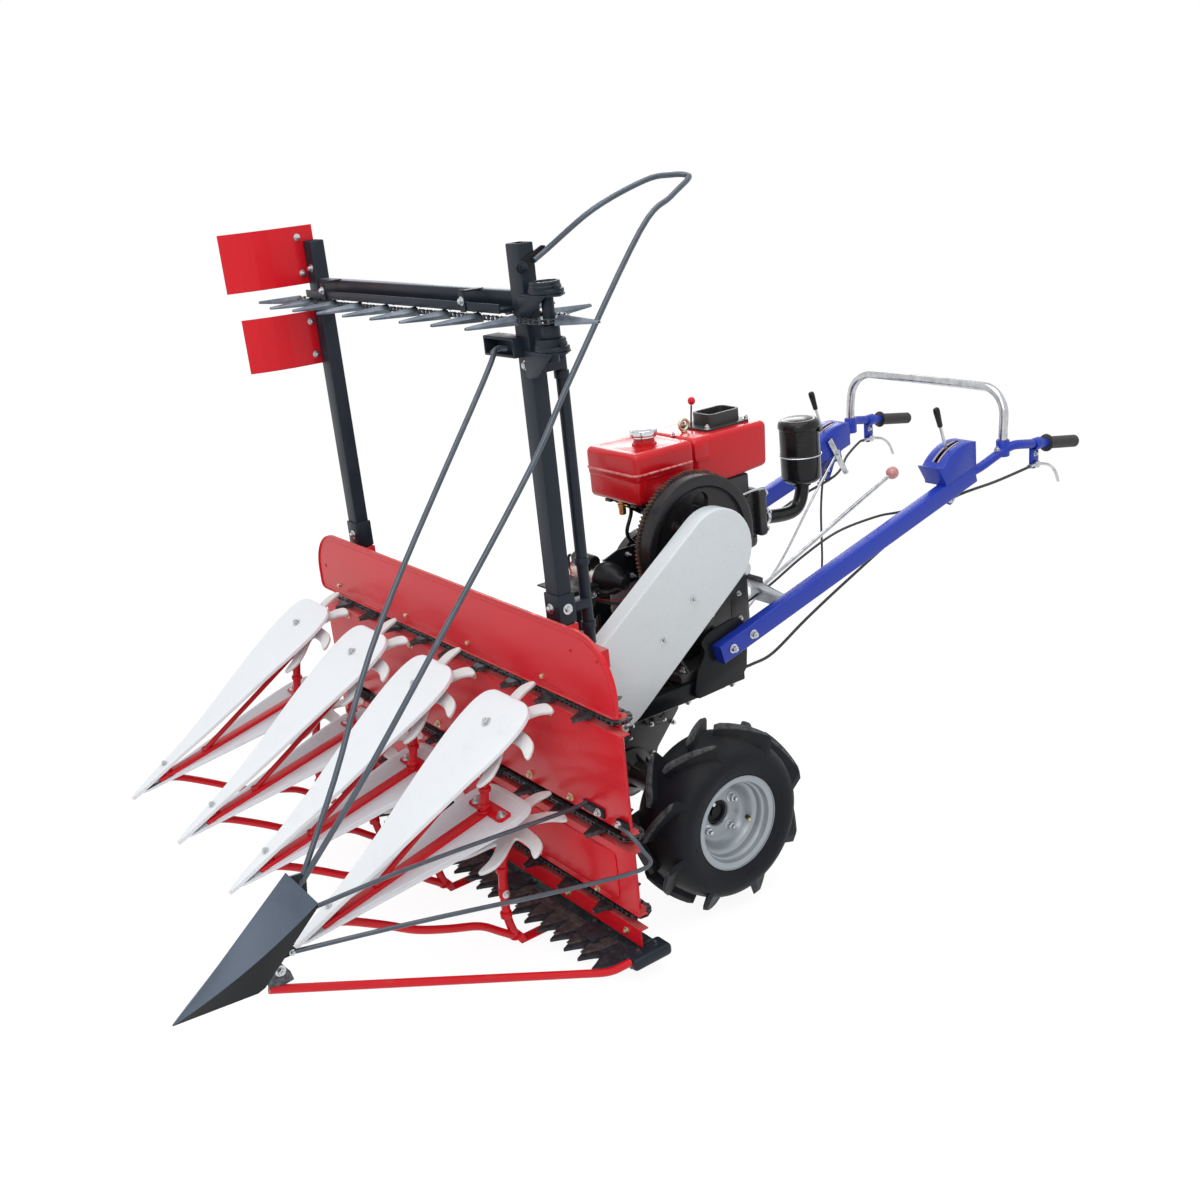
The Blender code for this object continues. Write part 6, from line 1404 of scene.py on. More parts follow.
for side, name in SIDES:
    x = UNIT_X + side * HANDLE_OFFSET
    corner = 0.0045
    section = []
    for across, lift, first in ((1, 1, 0), (-1, 1, 90), (-1, -1, 180), (1, -1, 270)):
        for step in range(4):
            turn = radians(first + 30 * step)
            section.append(along_handle(x + across * (0.016 - corner) + corner * cos(turn), 0.018,
                                        lift * (0.0237 - corner) + corner * sin(turn)))
    beam = extruded(section, handle_aim * 0.944)
    grip_x = UNIT_X + side * GRIP_OFFSET
    end = Vector((grip_x, *GRIP_START)) - grip_aim * 0.0006
    path = [(x, 1.04, 0.527), (x, 1.085, 0.5285), (x + side * 0.004, 1.108, 0.5325),
            (x + side * 0.018, 1.14, 0.552), (x + side * 0.034, 1.168, 0.5715),
            (grip_x - side * 0.01, 1.192, 0.5835), (grip_x - side * 0.001, 1.215, 0.5822),
            end - grip_aim * 0.08, end]
    tube = rod_of(path, 0.0125, sides=5)
    foot = Vector((UNIT_X + side * (HANDLE_OFFSET + 0.03), 1.176, 0.6))
    collar = turned([(-0.044, 0.0), (-0.044, 0.0165), (-0.042, 0.0178), (-0.002, 0.0178), (0.0, 0.0165),
                     (0.0, 0.0128), (-0.01, 0.0128), (-0.01, 0.0)], foot, (0, 0, 1), 32)
    nib = drum(foot + Vector((0, -0.0165, -0.022)), (0, -1, 0), 0.0075, 0.006, 20, 0.0012)
    inner = UNIT_X + side * 0.1905
    outer = UNIT_X + side * 0.261
    box = side_plate(quadrant_line(0.0), min(inner, outer), max(inner, outer), 0.0)
    middle = (inner + outer) / 2
    core = side_plate(quadrant_line(0.003), min(inner, outer) + 0.003, max(inner, outer) - 0.003, 0.0)
    slot = boxed((middle - 0.0064, 0.962, 0.578), (middle + 0.0064, 1.06, 0.65))
    carve(box, core)
    carve(box, slot)
    bevelled(box, 0.0009, 2, 40)
    weld_x = x - side * 0.0165
    welds = [bead(along_handle(weld_x, distance, 0.023), along_handle(weld_x, distance + 0.03, 0.023),
                  0.0026) for distance in (0.86, 0.91)]
    ear_line = [(1.272, 0.56), (1.303, 0.559), (1.3045, 0.525), (1.3, 0.503), (1.29, 0.4985), (1.278, 0.5),
                (1.2712, 0.508)]
    ear = side_plate(ear_line, grip_x - 0.0138, grip_x - 0.0062, 0.0012)
    ring = turned([(1.2705, 0.0126), (1.2705, 0.0158), (1.2725, 0.0168), (1.2975, 0.0168), (1.2995, 0.0158),
                   (1.2995, 0.0126)], (grip_x, 0, 0.569), (0, 1, 0), 36)
    hang = [(0.972, 0.472), (0.966, 0.52), (1.064, 0.543), (1.06, 0.51), (1.032, 0.456), (1.018, 0.45),
            (1.006, 0.456)]
    pivot_plate = side_plate(hang, x - side * 0.0164, x - side * 0.0194, 0.0006)
    parts = [beam, tube, collar, nib, box, pivot_plate, *welds, ear, ring]
    fit(parts, "handle_" + name, "handlebar_" + name, blue, smooth=38, whole=True)

    liner = [on_quadrant(0.1388, 133 - 5 * row) for row in range(9)]
    liner += [on_quadrant(0.1366, 93 + 5 * row) for row in range(9)]
    strips = [side_plate(liner, middle + low, middle + low + 0.0045, 0.0) for low in (-0.0105, 0.006)]
    fit(strips, "slot_edge_" + name, "handlebar_" + name, bare, smooth=40)

    spots = [(along_handle(x + side * 0.016, distance, 0.0), (side, 0, 0)) for distance in (0.053, 0.12)]
    spots += [
        ((x - side * 0.0163, 1.018, 0.465), (side, 0, 0), 0.8),
        (foot + Vector((0, -0.0225, -0.022)), (0, -1, 0), 0.75),
        ((grip_x - 0.006, 1.288, 0.54), (1, 0, 0), 0.62),
    ]
    bolts((0.014, 0.0075, 0.0115, 0.005), spots, "handle_bolts_" + name, "handlebar_" + name)

# Grips
# Moulded rubber grips with rows of small ribs and a thumb flange, pushed over the tube's end.

grip_rubber = Finish("grip rubber", (0.016, 0.016, 0.017), 0.58)
polish = grip_rubber.noise(18, 4, 0.6).step(0.35, 0.8)
grip_rubber.set(Base_Color=grip_rubber.mix(polish, (0.012, 0.012, 0.013), (0.045, 0.045, 0.047)),
                Roughness=0.42 + polish * 0.25)
grip_rubber.bump(grip_rubber.noise(380, 2, 0.5), 0.2, 0.0005)

for side, name in SIDES:
    profile = [(0.0, 0.0), (0.0, 0.0205), (0.001, 0.0232), (0.003, 0.0239), (0.005, 0.0232),
               (0.0064, 0.0185), (0.0085, 0.0168)]
    for count in range(15):
        start = 0.012 + 0.0072 * count
        profile += [(start, 0.016), (start + 0.001, 0.0168), (start + 0.0042, 0.0168),
                    (start + 0.0052, 0.016)]
    profile += [(0.1215, 0.015), (0.123, 0.0168), (0.128, 0.0168), (0.1308, 0.015), (0.1318, 0.011),
                (0.1318, 0.0)]
    grip = turned(profile, (UNIT_X + side * GRIP_OFFSET, *GRIP_START), grip_aim, 40)
    fit(grip, "hand_grip_" + name, "grip_" + name, grip_rubber, whole=True)

# Arch bar
# A bent tube of bright steel joins the two handles above their ends, pushed in the blue collars.

near = Vector((UNIT_X + HANDLE_OFFSET + 0.03, 1.176, 0.6004))
wide = 2 * (HANDLE_OFFSET + 0.03)
rise = [Vector((0, 0, 0)), Vector((0, 0.0015, 0.028))]
for count in range(9):
    turn = radians(90 * count / 8)
    rise.append(Vector((-0.07 + 0.07 * cos(turn) - 0.004 * count / 8, 0.006 + 0.008 * sin(turn),
                        0.061 + 0.0735 * sin(turn))))
fall = [Vector((-wide - point.x, point.y, point.z)) for point in reversed(rise)]
line = [near + point for point in rise + fall]
fit(rod_of(line, 0.0118, sides=6), "arch_tube", "arch_bar", plated, smooth=60, whole=True)

# Hand levers
# A flat plated lever pivots in each quadrant, with its lower end in a clevis and a moulded black
# handle pushed on top.

for side, name in SIDES:
    pivot = Vector((UNIT_X + side * 0.2255, 1.027, 0.545))
    aim = Vector((0, -0.036, 0.109)).normalized()
    flat = Vector((0, aim.z, -aim.y))
    stem_line = [pivot + aim * along + flat * wide
                 for along, wide in ((-0.008, -0.005), (-0.008, 0.005), (0.06, 0.0048), (0.13, 0.0036),
                                     (0.13, -0.0036), (0.06, -0.0048))]
    stem = extruded([corner - Vector((0.0025, 0, 0)) for corner in stem_line], (0.005, 0, 0), 0.001)
    bush_half = [(-0.032, 0.0), (-0.032, 0.0088), (-0.031, 0.0098), (-0.006, 0.0098), (-0.005, 0.0085)]
    bush = turned(both_ways(bush_half), pivot, (1, 0, 0), 28)
    fit([stem, bush], "lever_stem_" + name, "lever_" + name, zinc_bolt, body="lever_" + name, whole=True)
    root = pivot + Vector((0, -0.041, 0.124))
    lean = Vector((0, -0.024, 0.078)).normalized()
    knob = turned([(0.0, 0.0), (0.0, 0.0062), (0.003, 0.007), (0.012, 0.0072), (0.035, 0.0085),
                   (0.045, 0.0089), (0.052, 0.008), (0.0552, 0.0045), (0.0556, 0.0)], root, lean, 28)
    fit(knob, "lever_knob_" + name, "lever_" + name, gloss_black, smooth=50, body="lever_" + name)

# Clutch levers
# Curved plated levers hang below the grips, each with a round eye on the handle's ear and a
# flattened finger.

steel = Finish("dark steel", (0.07, 0.076, 0.085), 0.36, 0.75)
oil = steel.noise(30, 5, 0.7)
rust = steel.noise(17, 6, 0.75).step(0.6, 0.78)
shine = steel.noise(150, 3, 0.6).step(0.35, 0.75)
steel.set(Base_Color=steel.mix(rust * 0.15, steel.mix(shine, (0.048, 0.053, 0.06), (0.12, 0.13, 0.145)),
                               (0.095, 0.045, 0.025)), Roughness=0.28 + oil * 0.18 + rust * 0.2)
steel.bump(steel.noise(120, 3, 0.6), 0.1, 0.0006)

for side, name in SIDES:
    pivot = Vector((UNIT_X + side * GRIP_OFFSET + 0.0005, 1.288, 0.512))
    curve = round_line([(0, -0.03, 0), (0, 0, 0), (0, 0.048, -0.012), (0, 0.078, -0.036),
                        (0, 0.095, -0.072)], 8, closed=False)
    count = len(curve)

    def blade_place(row, column):
        here = curve[row]
        lean = (curve[min(row + 1, count - 1)] - curve[max(row - 1, 0)]).normalized()
        out = Vector((0, -lean.z, lean.y))
        share = row / (count - 1)
        width = 0.0046 + 0.0012 * sin(pi * share)
        thick = 0.005 - 0.0022 * share
        turn = 2 * pi * column / 12
        if row in (0, count - 1):
            width *= 0.15
            thick *= 0.15
        return pivot + here + Vector((1, 0, 0)) * width * cos(turn) + out * thick * sin(turn)

    blade = grid_of(count, 13, blade_place)
    eye = turned([(-0.0053, 0.0), (-0.0053, 0.0085), (-0.0042, 0.0098), (0.0042, 0.0098), (0.0053, 0.0085),
                  (0.0053, 0.004), (0.006, 0.0038), (0.006, 0.0)], pivot, (1, 0, 0), 28)
    fit([blade, eye], "squeeze_" + name, "clutch_lever_" + name, plated, smooth=50,
        body="clutch_lever_" + name, whole=True)

# Gear lever
# A long plated rod with a faded red ball, welded to an eye that turns on the frame's rear post.

post_pin = Vector((UNIT_X - 0.0169, 0.42, 0.2556))
end = post_pin + Vector((0.005, 0.641, 0.2394))
rod = rod_of([post_pin + Vector((0.005, 0.0, 0.0)), post_pin.lerp(end, 0.5) + Vector((0.0025, 0, 0)),
              end - Vector((0, 0.01, 0.004))], 0.0058, smooth=False, sides=5)
eye = turned([(0.0002, 0.0), (0.0002, 0.0118), (0.0012, 0.0129), (0.0088, 0.0129), (0.0098, 0.0118),
              (0.0098, 0.0)], post_pin, (1, 0, 0), 32)
fit([rod, eye], "gear_rod", "gear_lever", plated, smooth=40, body="gear_lever", whole=True)
faded = Finish("faded ball", (0.56, 0.2, 0.2), 0.35, Coat_Weight=0.3)
worn = faded.noise(30, 5, 0.7)
faded.set(Base_Color=faded.mix(worn.step(0.35, 0.7), (0.5, 0.13, 0.13), (0.66, 0.33, 0.32)),
          Roughness=0.28 + worn * 0.25)
turns = [radians(35 + 145 * count / 14) for count in range(14)]
ball_line = [(-0.018, 0.0), (-0.018, 0.0075), (-0.0165, 0.0085)]
ball_line += [(-0.018 * cos(turn), 0.018 * sin(turn)) for turn in turns] + [(0.018, 0.0)]
ball = turned(ball_line, end, Vector((0, 0.937, 0.35)), 36)
fit(ball, "gear_ball", "gear_lever", faded, smooth=60, body="gear_lever")

# Clutch cables
# Each sheathed cable runs from its lever under the handle to the rear end of the frame rail. Its
# points are the ones given for the solid part, and a plated adjuster is at each end.

sheath = Finish("cable sheath", (0.022, 0.022, 0.024), 0.45)
sheath.set(Base_Color=sheath.mix(sheath.noise(60, 4), (0.016, 0.016, 0.018), (0.055, 0.055, 0.058)),
           Roughness=0.36 + sheath.noise(200, 3) * 0.2)
sheath.bump(sheath.noise(350, 2), 0.15, 0.0004)
for side, name in SIDES:
    x = UNIT_X + side * GRIP_OFFSET
    near_x = UNIT_X + side * (HANDLE_OFFSET - 0.03)
    rail_x = UNIT_X + side * RAIL_OFFSET
    route = [(x, 1.255, 0.512), (x, 1.235, 0.51), (x - side * 0.03, 1.15, 0.49), (near_x, 1.04, 0.462),
             (near_x, 0.86, 0.425), (near_x, 0.64, 0.345), (rail_x, 0.5, 0.275), (rail_x, 0.38, 0.22),
             (rail_x, 0.31, 0.2125), (rail_x, RAIL_REAR + 0.0003, 0.2125)]
    route = [Vector(point) for point in route]
    ends = [2 * route[0] - route[1], *route, 2 * route[-1] - route[-2]]
    line = []
    for index in range(1, len(ends) - 2):
        line += [between(*ends[index - 1:index + 3], part / 6) for part in range(6)]
    line.append(route[-1])
    fit(rod_of(line, 0.0039, smooth=False), "sheath_" + name, "cable_" + name, sheath, smooth=60,
        whole=True)
    first = line[0]
    adjuster = turned([(0.0, 0.0), (0.0, 0.0046), (0.006, 0.0046), (0.0062, 0.0064), (0.011, 0.0064),
                       (0.0112, 0.0052), (0.026, 0.0052), (0.0285, 0.0042), (0.0285, 0.0)], first,
                      line[3] - first, 6)
    last = line[-1]
    nut = turned([(0.0, 0.0), (0.0, 0.0072), (0.0055, 0.0072), (0.0057, 0.0052), (0.02, 0.0048),
                  (0.024, 0.0042), (0.024, 0.0)], last, line[-4] - last, 6)
    fit([adjuster, nut], "adjusters_" + name, "cable_" + name, zinc_bolt)

# Control rods
# A plated rod with a turnbuckle comes down from the far lever's arm to the frame's tongue. Two
# black cables hang inside the handles, one from the far handle and one from under the near beam.

rod_line = [Vector(point)
            for point in [(-0.045, 1.02, 0.536), (-0.045, 0.94, 0.456), (0.02, 0.7795, 0.3656),
                          (0.1, 0.6063, 0.2894), (0.13, 0.44, 0.23)]]
aim = (rod_line[1] - rod_line[0]).normalized()
buckle = [turned([(0.0, 0.0), (0.0, 0.0052), (0.004, 0.0062), (0.026, 0.0062), (0.03, 0.0052), (0.03, 0.0)],
                 rod_line[0] + aim * 0.066, aim, 6)]
for start in (0.052, 0.1):
    buckle.append(turned([(0.0, 0.0), (0.0, 0.007), (0.005, 0.007), (0.005, 0.0)],
                         rod_line[0] + aim * start, aim, 6))
arm = side_plate([(0.985, 0.578), (1.001, 0.587), (1.057, 0.485), (1.057, 0.474), (1.048, 0.468),
                  (1.041, 0.476)], -0.044, -0.0405, 0.001)
fork = boxed((-0.049, 1.012, 0.524), (-0.04, 1.03, 0.548), 0.0012)
fit([rod_of(rod_line, 0.0036, sides=4), *buckle, arm, fork], "control_rod", "handlebar_right", plated,
    smooth=40)
bolts((0.011, 0.005, 0.0085, 0.003),
      [((-0.0405, 1.049, 0.4775), (1, 0, 0)), ((-0.0398, 1.021, 0.536), (1, 0, 0), 0.8)],
      "control_rod_bolts", "handlebar_right")
far_line = [(-0.056, 0.99, 0.52), (-0.042, 0.962, 0.49), (-0.04, 0.9436, 0.3879), (-0.035, 0.9323, 0.225),
            (-0.01, 0.8833, 0.175), (0.03, 0.7641, 0.1767), (0.08, 0.5977, 0.1751), (0.12, 0.4728, 0.1709)]
near_line = [(0.16, 0.43, 0.28), (0.22, 0.4968, 0.3427), (0.26, 0.5721, 0.4032), (0.31, 0.6506, 0.4589),
             (0.35, 0.7484, 0.4811), (0.356, 0.8199, 0.476), (0.356, 0.88, 0.47)]
cables = [rod_of(round_line(line, closed=False), 0.0033, smooth=False) for line in (far_line, near_line)]
fit(cables, "control_cables", "handlebar_right", sheath, smooth=60)

# Header panels
# Red sheet panels across the front, with a slot between each two for a chain. The top one has
# a rolled rim and an embossed field. The others are sheets with a flange turned back.

HEADER_FAR = -0.605
HEADER_NEAR = 0.7
PANEL_FACE = -0.355
FRAME_FRONT = -0.262

worn_red = Finish("header red", (0.5, 0.005, 0.011), 0.24, Specular_IOR_Level=0.25, Coat_Weight=0.06,
                  Coat_Roughness=0.06)
ripple = worn_red.noise(4, 3, 0.5)
lip_wear = worn_red.up().step(0.55, 0.95) * worn_red.noise(26, 6, 0.75).step(0.28, 0.62)
drip = worn_red.noise(18, 6, 0.75).step(0.62, 0.84)
chip = worn_red.noise(110, 5, 0.75).step(0.7, 0.76)
even_red = worn_red.mix(ripple, (0.58, 0.0055, 0.014), (0.74, 0.01, 0.022))
pale_lip = worn_red.mix(lip_wear * 0.55, even_red, (0.4, 0.2, 0.18))
worn_red.set(Base_Color=worn_red.mix(chip * 0.35 + drip * 0.14, pale_lip, (0.2, 0.025, 0.022)),
             Roughness=0.22 + ripple * 0.08 + lip_wear * 0.4)
edges = worn_red.node("Bevel", {"samples": 4}, {"Radius": 0.0014})
worn_red.bump(worn_red.noise(7, 2, 0.4), 0.12, 0.003, base=edges)


def panel_line(y, bottom=0.401, top=0.564, radius=0.115):
    """The top panel's outline: small lower corners and big round upper ends."""
    line = [Vector((HEADER_FAR + x, y, bottom + z)) for x, z in ((0.016, 0), (0.0047, 0.0047), (0, 0.016))]
    for x, first in ((HEADER_FAR + radius, pi), (HEADER_NEAR - radius, pi / 2)):
        for count in range(19):
            turn = first - count * pi / 36
            line.append(Vector((x + radius * cos(turn), y, top - radius + radius * sin(turn))))
    return line + [Vector((HEADER_NEAR - x, y, bottom + z))
                   for x, z in ((0, 0.016), (0.0047, 0.0047), (0.016, 0))]


top_panel = extruded(panel_line(PANEL_FACE - 0.0002), (0, -0.0068, 0))
inset_faces(top_panel, lambda face: face.normal.y < -0.9, (0.0012, 0.0012), (0.0016, 0.0), (0.001, -0.0034),
            (0.01, 0.0), (0.0012, 0.0011), (0.003, 0.0))
for x, z in ((0.5625, 0.514), (0.6515, 0.513), (-0.56, 0.47)):
    hole = drum((x, -0.3, z), (0, -1, 0), 0.0048, 0.1, 20)
    carve(top_panel, hole)
stay_x = (HEADER_FAR + 0.07, UNIT_X - 0.2, UNIT_X + 0.2, HEADER_NEAR - 0.205)
stays = [boxed((x - 0.012, PANEL_FACE - 0.001, 0.428), (x + 0.012, FRAME_FRONT - 0.0003, 0.462), 0.002)
         for x in stay_x]
fit([top_panel, *stays], "header_top", "top_panel", worn_red, whole=True)


def bent_sheet(low, high):
    """A panel's section, with rounded bends, pushed along the header."""
    front = PANEL_FACE - 0.0025
    outer = [(PANEL_FACE + 0.02, high), (front + 0.0045, high)]
    outer += [(front + 0.0045 - 0.0045 * sin(turn), high - 0.0045 + 0.0045 * cos(turn))
              for turn in (pi / 6, pi / 3, pi / 2)]
    outer += [(y, low + high - z) for y, z in reversed(outer)]
    inner = [(PANEL_FACE + 0.02, low + 0.0025), (front + 0.0045, low + 0.0025)]
    inner += [(front + 0.0045 - 0.002 * sin(turn), low + 0.0045 - 0.002 * cos(turn))
              for turn in (pi / 6, pi / 3, pi / 2)]
    inner += [(y, low + high - z) for y, z in reversed(inner)]
    section = [Vector((HEADER_FAR, y, z)) for y, z in outer + inner]
    return extruded(section, (HEADER_NEAR - HEADER_FAR, 0, 0))


stay_x = (HEADER_FAR + 0.075, UNIT_X - 0.2, UNIT_X + 0.2, HEADER_NEAR - 0.205)
stays = [boxed((x - 0.012, PANEL_FACE - 0.001, 0.225), (x + 0.012, FRAME_FRONT + 0.0017, 0.29), 0.002)
         for x in stay_x]
fit([bent_sheet(0.146, 0.367), *stays], "header_middle", "middle_panel", worn_red, whole=True)

paint(frame["nodes"]["header_frame"], worn_red)


def rounded_field(low_x, high_x, low_z, high_z, radius, y):
    """Corners of a flat field with round ends, facing the front."""
    line = []
    for x, z, first in ((low_x + radius, high_z - radius, pi), (high_x - radius, high_z - radius, pi / 2),
                        (high_x - radius, low_z + radius, 0.0), (low_x + radius, low_z + radius, -pi / 2)):
        turns = [first - count * pi / 12 for count in range(7)]
        line += [Vector((x + radius * cos(turn), y, z + radius * sin(turn))) for turn in turns]
    return line


field = extruded(rounded_field(-0.57, 0.64, -0.024, 0.086, 0.016, PANEL_FACE - 0.0024), (0, -0.002, 0))
inset_faces(field, lambda face: face.normal.y < -0.9, (0.0016, 0.001))
fit(field, "header_field", "header_frame", worn_red, smooth=40)

face = PANEL_FACE - 0.0024
spots = [((x, face - 0.0012, 0.429), (0, -1, 0)) for x in (-0.494, -0.136, 0.15, 0.447)]
spots += [((x, face, 0.349), (0, -1, 0)) for x in (-0.48, -0.143, 0.15, 0.453)]
spots += [((x, face, 0.164), (0, -1, 0)) for x in (-0.48, -0.06, 0.34, 0.495)]
spots += [((x, face, -0.031), (0, -1, 0), 0.85) for x in (-0.5, -0.06, 0.34, 0.56)]
spots += [((x, face, -0.093), (0, -1, 0), 0.85) for x in (-0.5, -0.2, 0.12, 0.44, 0.65)]
spots += [((x, -0.2322, 0.445), (0, 1, 0)) for x in (-0.53, -0.06, 0.34, 0.495)]
spots += [((x, -0.234, z), (0, 1, 0)) for x in (-0.06, 0.34) for z in (0.175, 0.25)]
bolts((0.01, 0.0048, 0.0095, 0.003), spots, "header_bolts", "header_frame", yellow_bolt)

# Conveyor chains
# Three roller chains run round the header in the slots between its panels. Each is made of
# pairs of link plates on rollers, with a folded steel lug riveted on at an even pitch.

CHAIN_Z = (("upper", 0.384), ("middle", 0.124), ("lower", -0.0565))
CHAIN_PITCH = 0.0159
CHAIN_HEIGHT = 0.0118
LUG_PITCH = 0.132


def belt_path(low_x, high_x, front, back):
    """Places and headings of a chain's links round its two sprockets, evenly spaced."""
    radius = (back - front) / 2
    middle = (back + front) / 2
    run = (high_x - low_x) - 2 * radius
    total = 2 * run + 2 * pi * radius
    count = 2 * round(total / CHAIN_PITCH / 2)
    stops = []
    for index in range(count):
        gone = total * (index + 0.5) / count
        if gone < run:
            stops.append((low_x + radius + gone, front, 0.0))
        elif gone < run + pi * radius:
            turn = (gone - run) / radius
            stops.append((high_x - radius + radius * sin(turn), middle - radius * cos(turn), turn))
        elif gone < 2 * run + pi * radius:
            stops.append((high_x - radius - (gone - run - pi * radius), back, pi))
        else:
            turn = (gone - 2 * run - pi * radius) / radius
            stops.append((low_x + radius - radius * sin(turn), middle + radius * cos(turn), pi + turn))
    return stops


def link_shape(inner):
    """Two waisted plates over a roller, drawn lengthways along X."""
    height = CHAIN_HEIGHT
    reach = CHAIN_PITCH * 0.5
    lift = height / 2 - (0.0026 if inner else 0.0012)
    wide = height * 0.42
    line = []
    for side in (1, -1):
        for turn in (-60, -20, 20, 60):
            angle = radians(turn + (0 if side > 0 else 180))
            line.append(Vector((side * reach * 0.8 + wide * cos(angle), wide * sin(angle), 0)))
    plates = [extruded([point + Vector((0, 0, level)) for point in line], (0, 0, 0.0012))
              for level in (lift - 0.0012, -lift)]
    for x in (reach, -reach):
        if inner:
            plates.append(drum((x, 0, -lift), (0, 0, 1), height * 0.3, 2 * lift, 8))
        else:
            plates.append(drum((x, 0, -height / 2), (0, 0, 1), height * 0.13, height, 6))
    return join(plates)


def roller_chain(stops, z):
    """One closed chain of alternate inner and outer links."""
    shapes = [link_shape(inner) for inner in (True, False)]
    links = [copied(shapes[index % 2], Matrix.Translation((x, y, z)) @ Matrix.Rotation(turn, 4, "Z"))
             for index, (x, y, turn) in enumerate(stops)]
    remove(*shapes)
    return join(links)


def folded_lug(reach, root, tip, fold):
    """A lug that points to -Y: a tapered flat with a lip folded down along one side, on a riveted foot."""
    line = [(-root, 0.004), (root * 0.35 - tip, -reach), (root * 0.35 + tip, -reach), (root, 0.004)]
    flat = extruded([Vector((x, y, -0.0011)) for x, y in line], (0, 0, 0.0022), 0.0006, 1)
    edge = Vector((root - 0.0022, 0.004, 0.001))
    corner = Vector((root * 0.35 + tip - 0.0022, -reach, 0.001))
    lip = extruded([edge, corner, corner - Vector((0, 0, fold * 0.8)), edge - Vector((0, 0, fold))],
                   (0.0022, 0, 0), 0.0006, 1)
    foot = boxed((-root, 0.0, -0.0045), (root, 0.0025, 0.005), 0.0006, 1)
    rivets = [drum((x, 0.001, 0.001), (0, -1, 0), 0.0022, 0.0035, 10, 0.0006)
              for x in (-root * 0.6, root * 0.6)]
    return join([flat, lip, foot, *rivets])


lug_shape = folded_lug(0.042, 0.019, 0.004, 0.011)
run_middle = (HEADER_FAR + 0.03 + HEADER_NEAR - 0.02) / 2
lug_x = [run_middle + LUG_PITCH * (count - 4) for count in range(9)]
for level, z in CHAIN_Z:
    stops = belt_path(HEADER_FAR + 0.033, HEADER_NEAR - 0.023, -0.349, -0.303)
    chain = roller_chain(stops, z)
    lugs = [copied(lug_shape, Matrix.Translation((x, -0.353, z))) for x in lug_x]
    lugs += [copied(lug_shape, Matrix.Translation((x, -0.299, z)) @ Matrix.Rotation(pi, 4, "Z"))
             for x in lug_x]
    fit([chain, *lugs], "lug_chain_" + level, "chain_" + level, steel, smooth=30, whole=True)
remove(lug_shape)
# Black strips between the front and back runs of each chain: painted shade that fills the slots behind the
# chains.
slot_shade_strips = [boxed((HEADER_FAR + 0.062, -0.3272, z - 0.029), (HEADER_NEAR - 0.052, -0.325, z + 0.029), 0.0004)
          for level, z in CHAIN_Z]
fit(slot_shade_strips, "chain_slot_shade", "header_frame", black)

# Cutter bar
# A flat steel bar under the header carries a row of forged, pointed guards. Bolted clips hold the
# knife down, and a rounded block closes the near end.

BAR_TOP = -0.129
FINGER_PITCH = 0.05

forged = Finish("forged steel", (0.026, 0.031, 0.038), 0.5, 0.1, Specular_IOR_Level=0.25)
scale_marks = forged.noise(60, 5, 0.75)
earth = forged.noise(24, 6, 0.75).step(0.5, 0.74)
forged.set(Base_Color=forged.mix(earth * 0.14,
                                 forged.mix(scale_marks.step(0.35, 0.75), (0.016, 0.021, 0.028),
                                            (0.05, 0.056, 0.064)), (0.085, 0.068, 0.055)),
           Roughness=0.38 + earth * 0.3)
forged.bump(scale_marks, 0.3, 0.0009)

slate = Finish("slate enamel", (0.018, 0.025, 0.036), 0.38, Specular_IOR_Level=0.2, Coat_Weight=0.04,
               Coat_Roughness=0.3)
haze = slate.noise(6, 5, 0.65).step(0.35, 0.85)
scratch = slate.noise(90, 6, 0.8).step(0.66, 0.76)
slate.set(Base_Color=slate.mix(scratch * 0.3 + haze * 0.35, (0.012, 0.018, 0.028), (0.042, 0.053, 0.07)),
          Roughness=0.36 + haze * 0.2)
slate.bump(slate.noise(120, 4, 0.6), 0.12, 0.0008)

bar = boxed((HEADER_FAR, -0.398, BAR_TOP - 0.011), (HEADER_NEAR + 0.012, -0.305, BAR_TOP - 0.0002), 0.0015)
guard_half = [(0.0, -0.464), (0.002, -0.4615), (0.0105, -0.4445), (0.017, -0.4335), (0.0215, -0.4275),
              (0.0242, -0.4235), (0.0242, -0.37)]
guard_line = guard_half + [(-across, y) for across, y in reversed(guard_half[1:])]
guard = extruded([Vector((across, y, BAR_TOP - 0.0086)) for across, y in guard_line], (0, 0, 0.0081),
                 0.0022, 2)
rib = side_plate([(-0.459, BAR_TOP - 0.0012), (-0.446, BAR_TOP + 0.001), (-0.445, BAR_TOP - 0.006),
                  (-0.459, BAR_TOP - 0.006)], -0.0022, 0.0022)
guard = join([guard, rib])
parts = [bar]
count = int((HEADER_NEAR - 0.008 - HEADER_FAR - 0.067) / FINGER_PITCH) + 1
for index in range(count):
    parts.append(copied(guard, Matrix.Translation((HEADER_FAR + 0.067 + index * FINGER_PITCH, 0, 0))))
remove(guard)
block_end = boxed((HEADER_NEAR - 0.0195, -0.3995, BAR_TOP - 0.0118),
                  (HEADER_NEAR + 0.0295, -0.3005, BAR_TOP + 0.0155), 0.0095, 5)
clip_x = [HEADER_NEAR - 0.137 - 0.3 * index for index in range(4)]
for x in clip_x:
    parts += [
        boxed((x - 0.038, -0.368, BAR_TOP - 0.0004), (x + 0.038, -0.352, BAR_TOP + 0.004), 0.001),
        boxed((x - 0.034, -0.41, BAR_TOP + 0.004), (x + 0.034, -0.36, BAR_TOP + 0.0072), 0.0014),
        boxed((x - 0.038, -0.369, BAR_TOP + 0.001), (x + 0.038, -0.364, BAR_TOP + 0.007), 0.0012),
    ]
shoe = extruded([Vector((x, y, BAR_TOP - 0.0002))
                 for x, y in ((HEADER_NEAR - 0.085, -0.362), (HEADER_NEAR + 0.006, -0.362),
                              (HEADER_NEAR + 0.008, -0.396), (HEADER_NEAR - 0.03, -0.408))], (0, 0, 0.0022),
                0.0006)
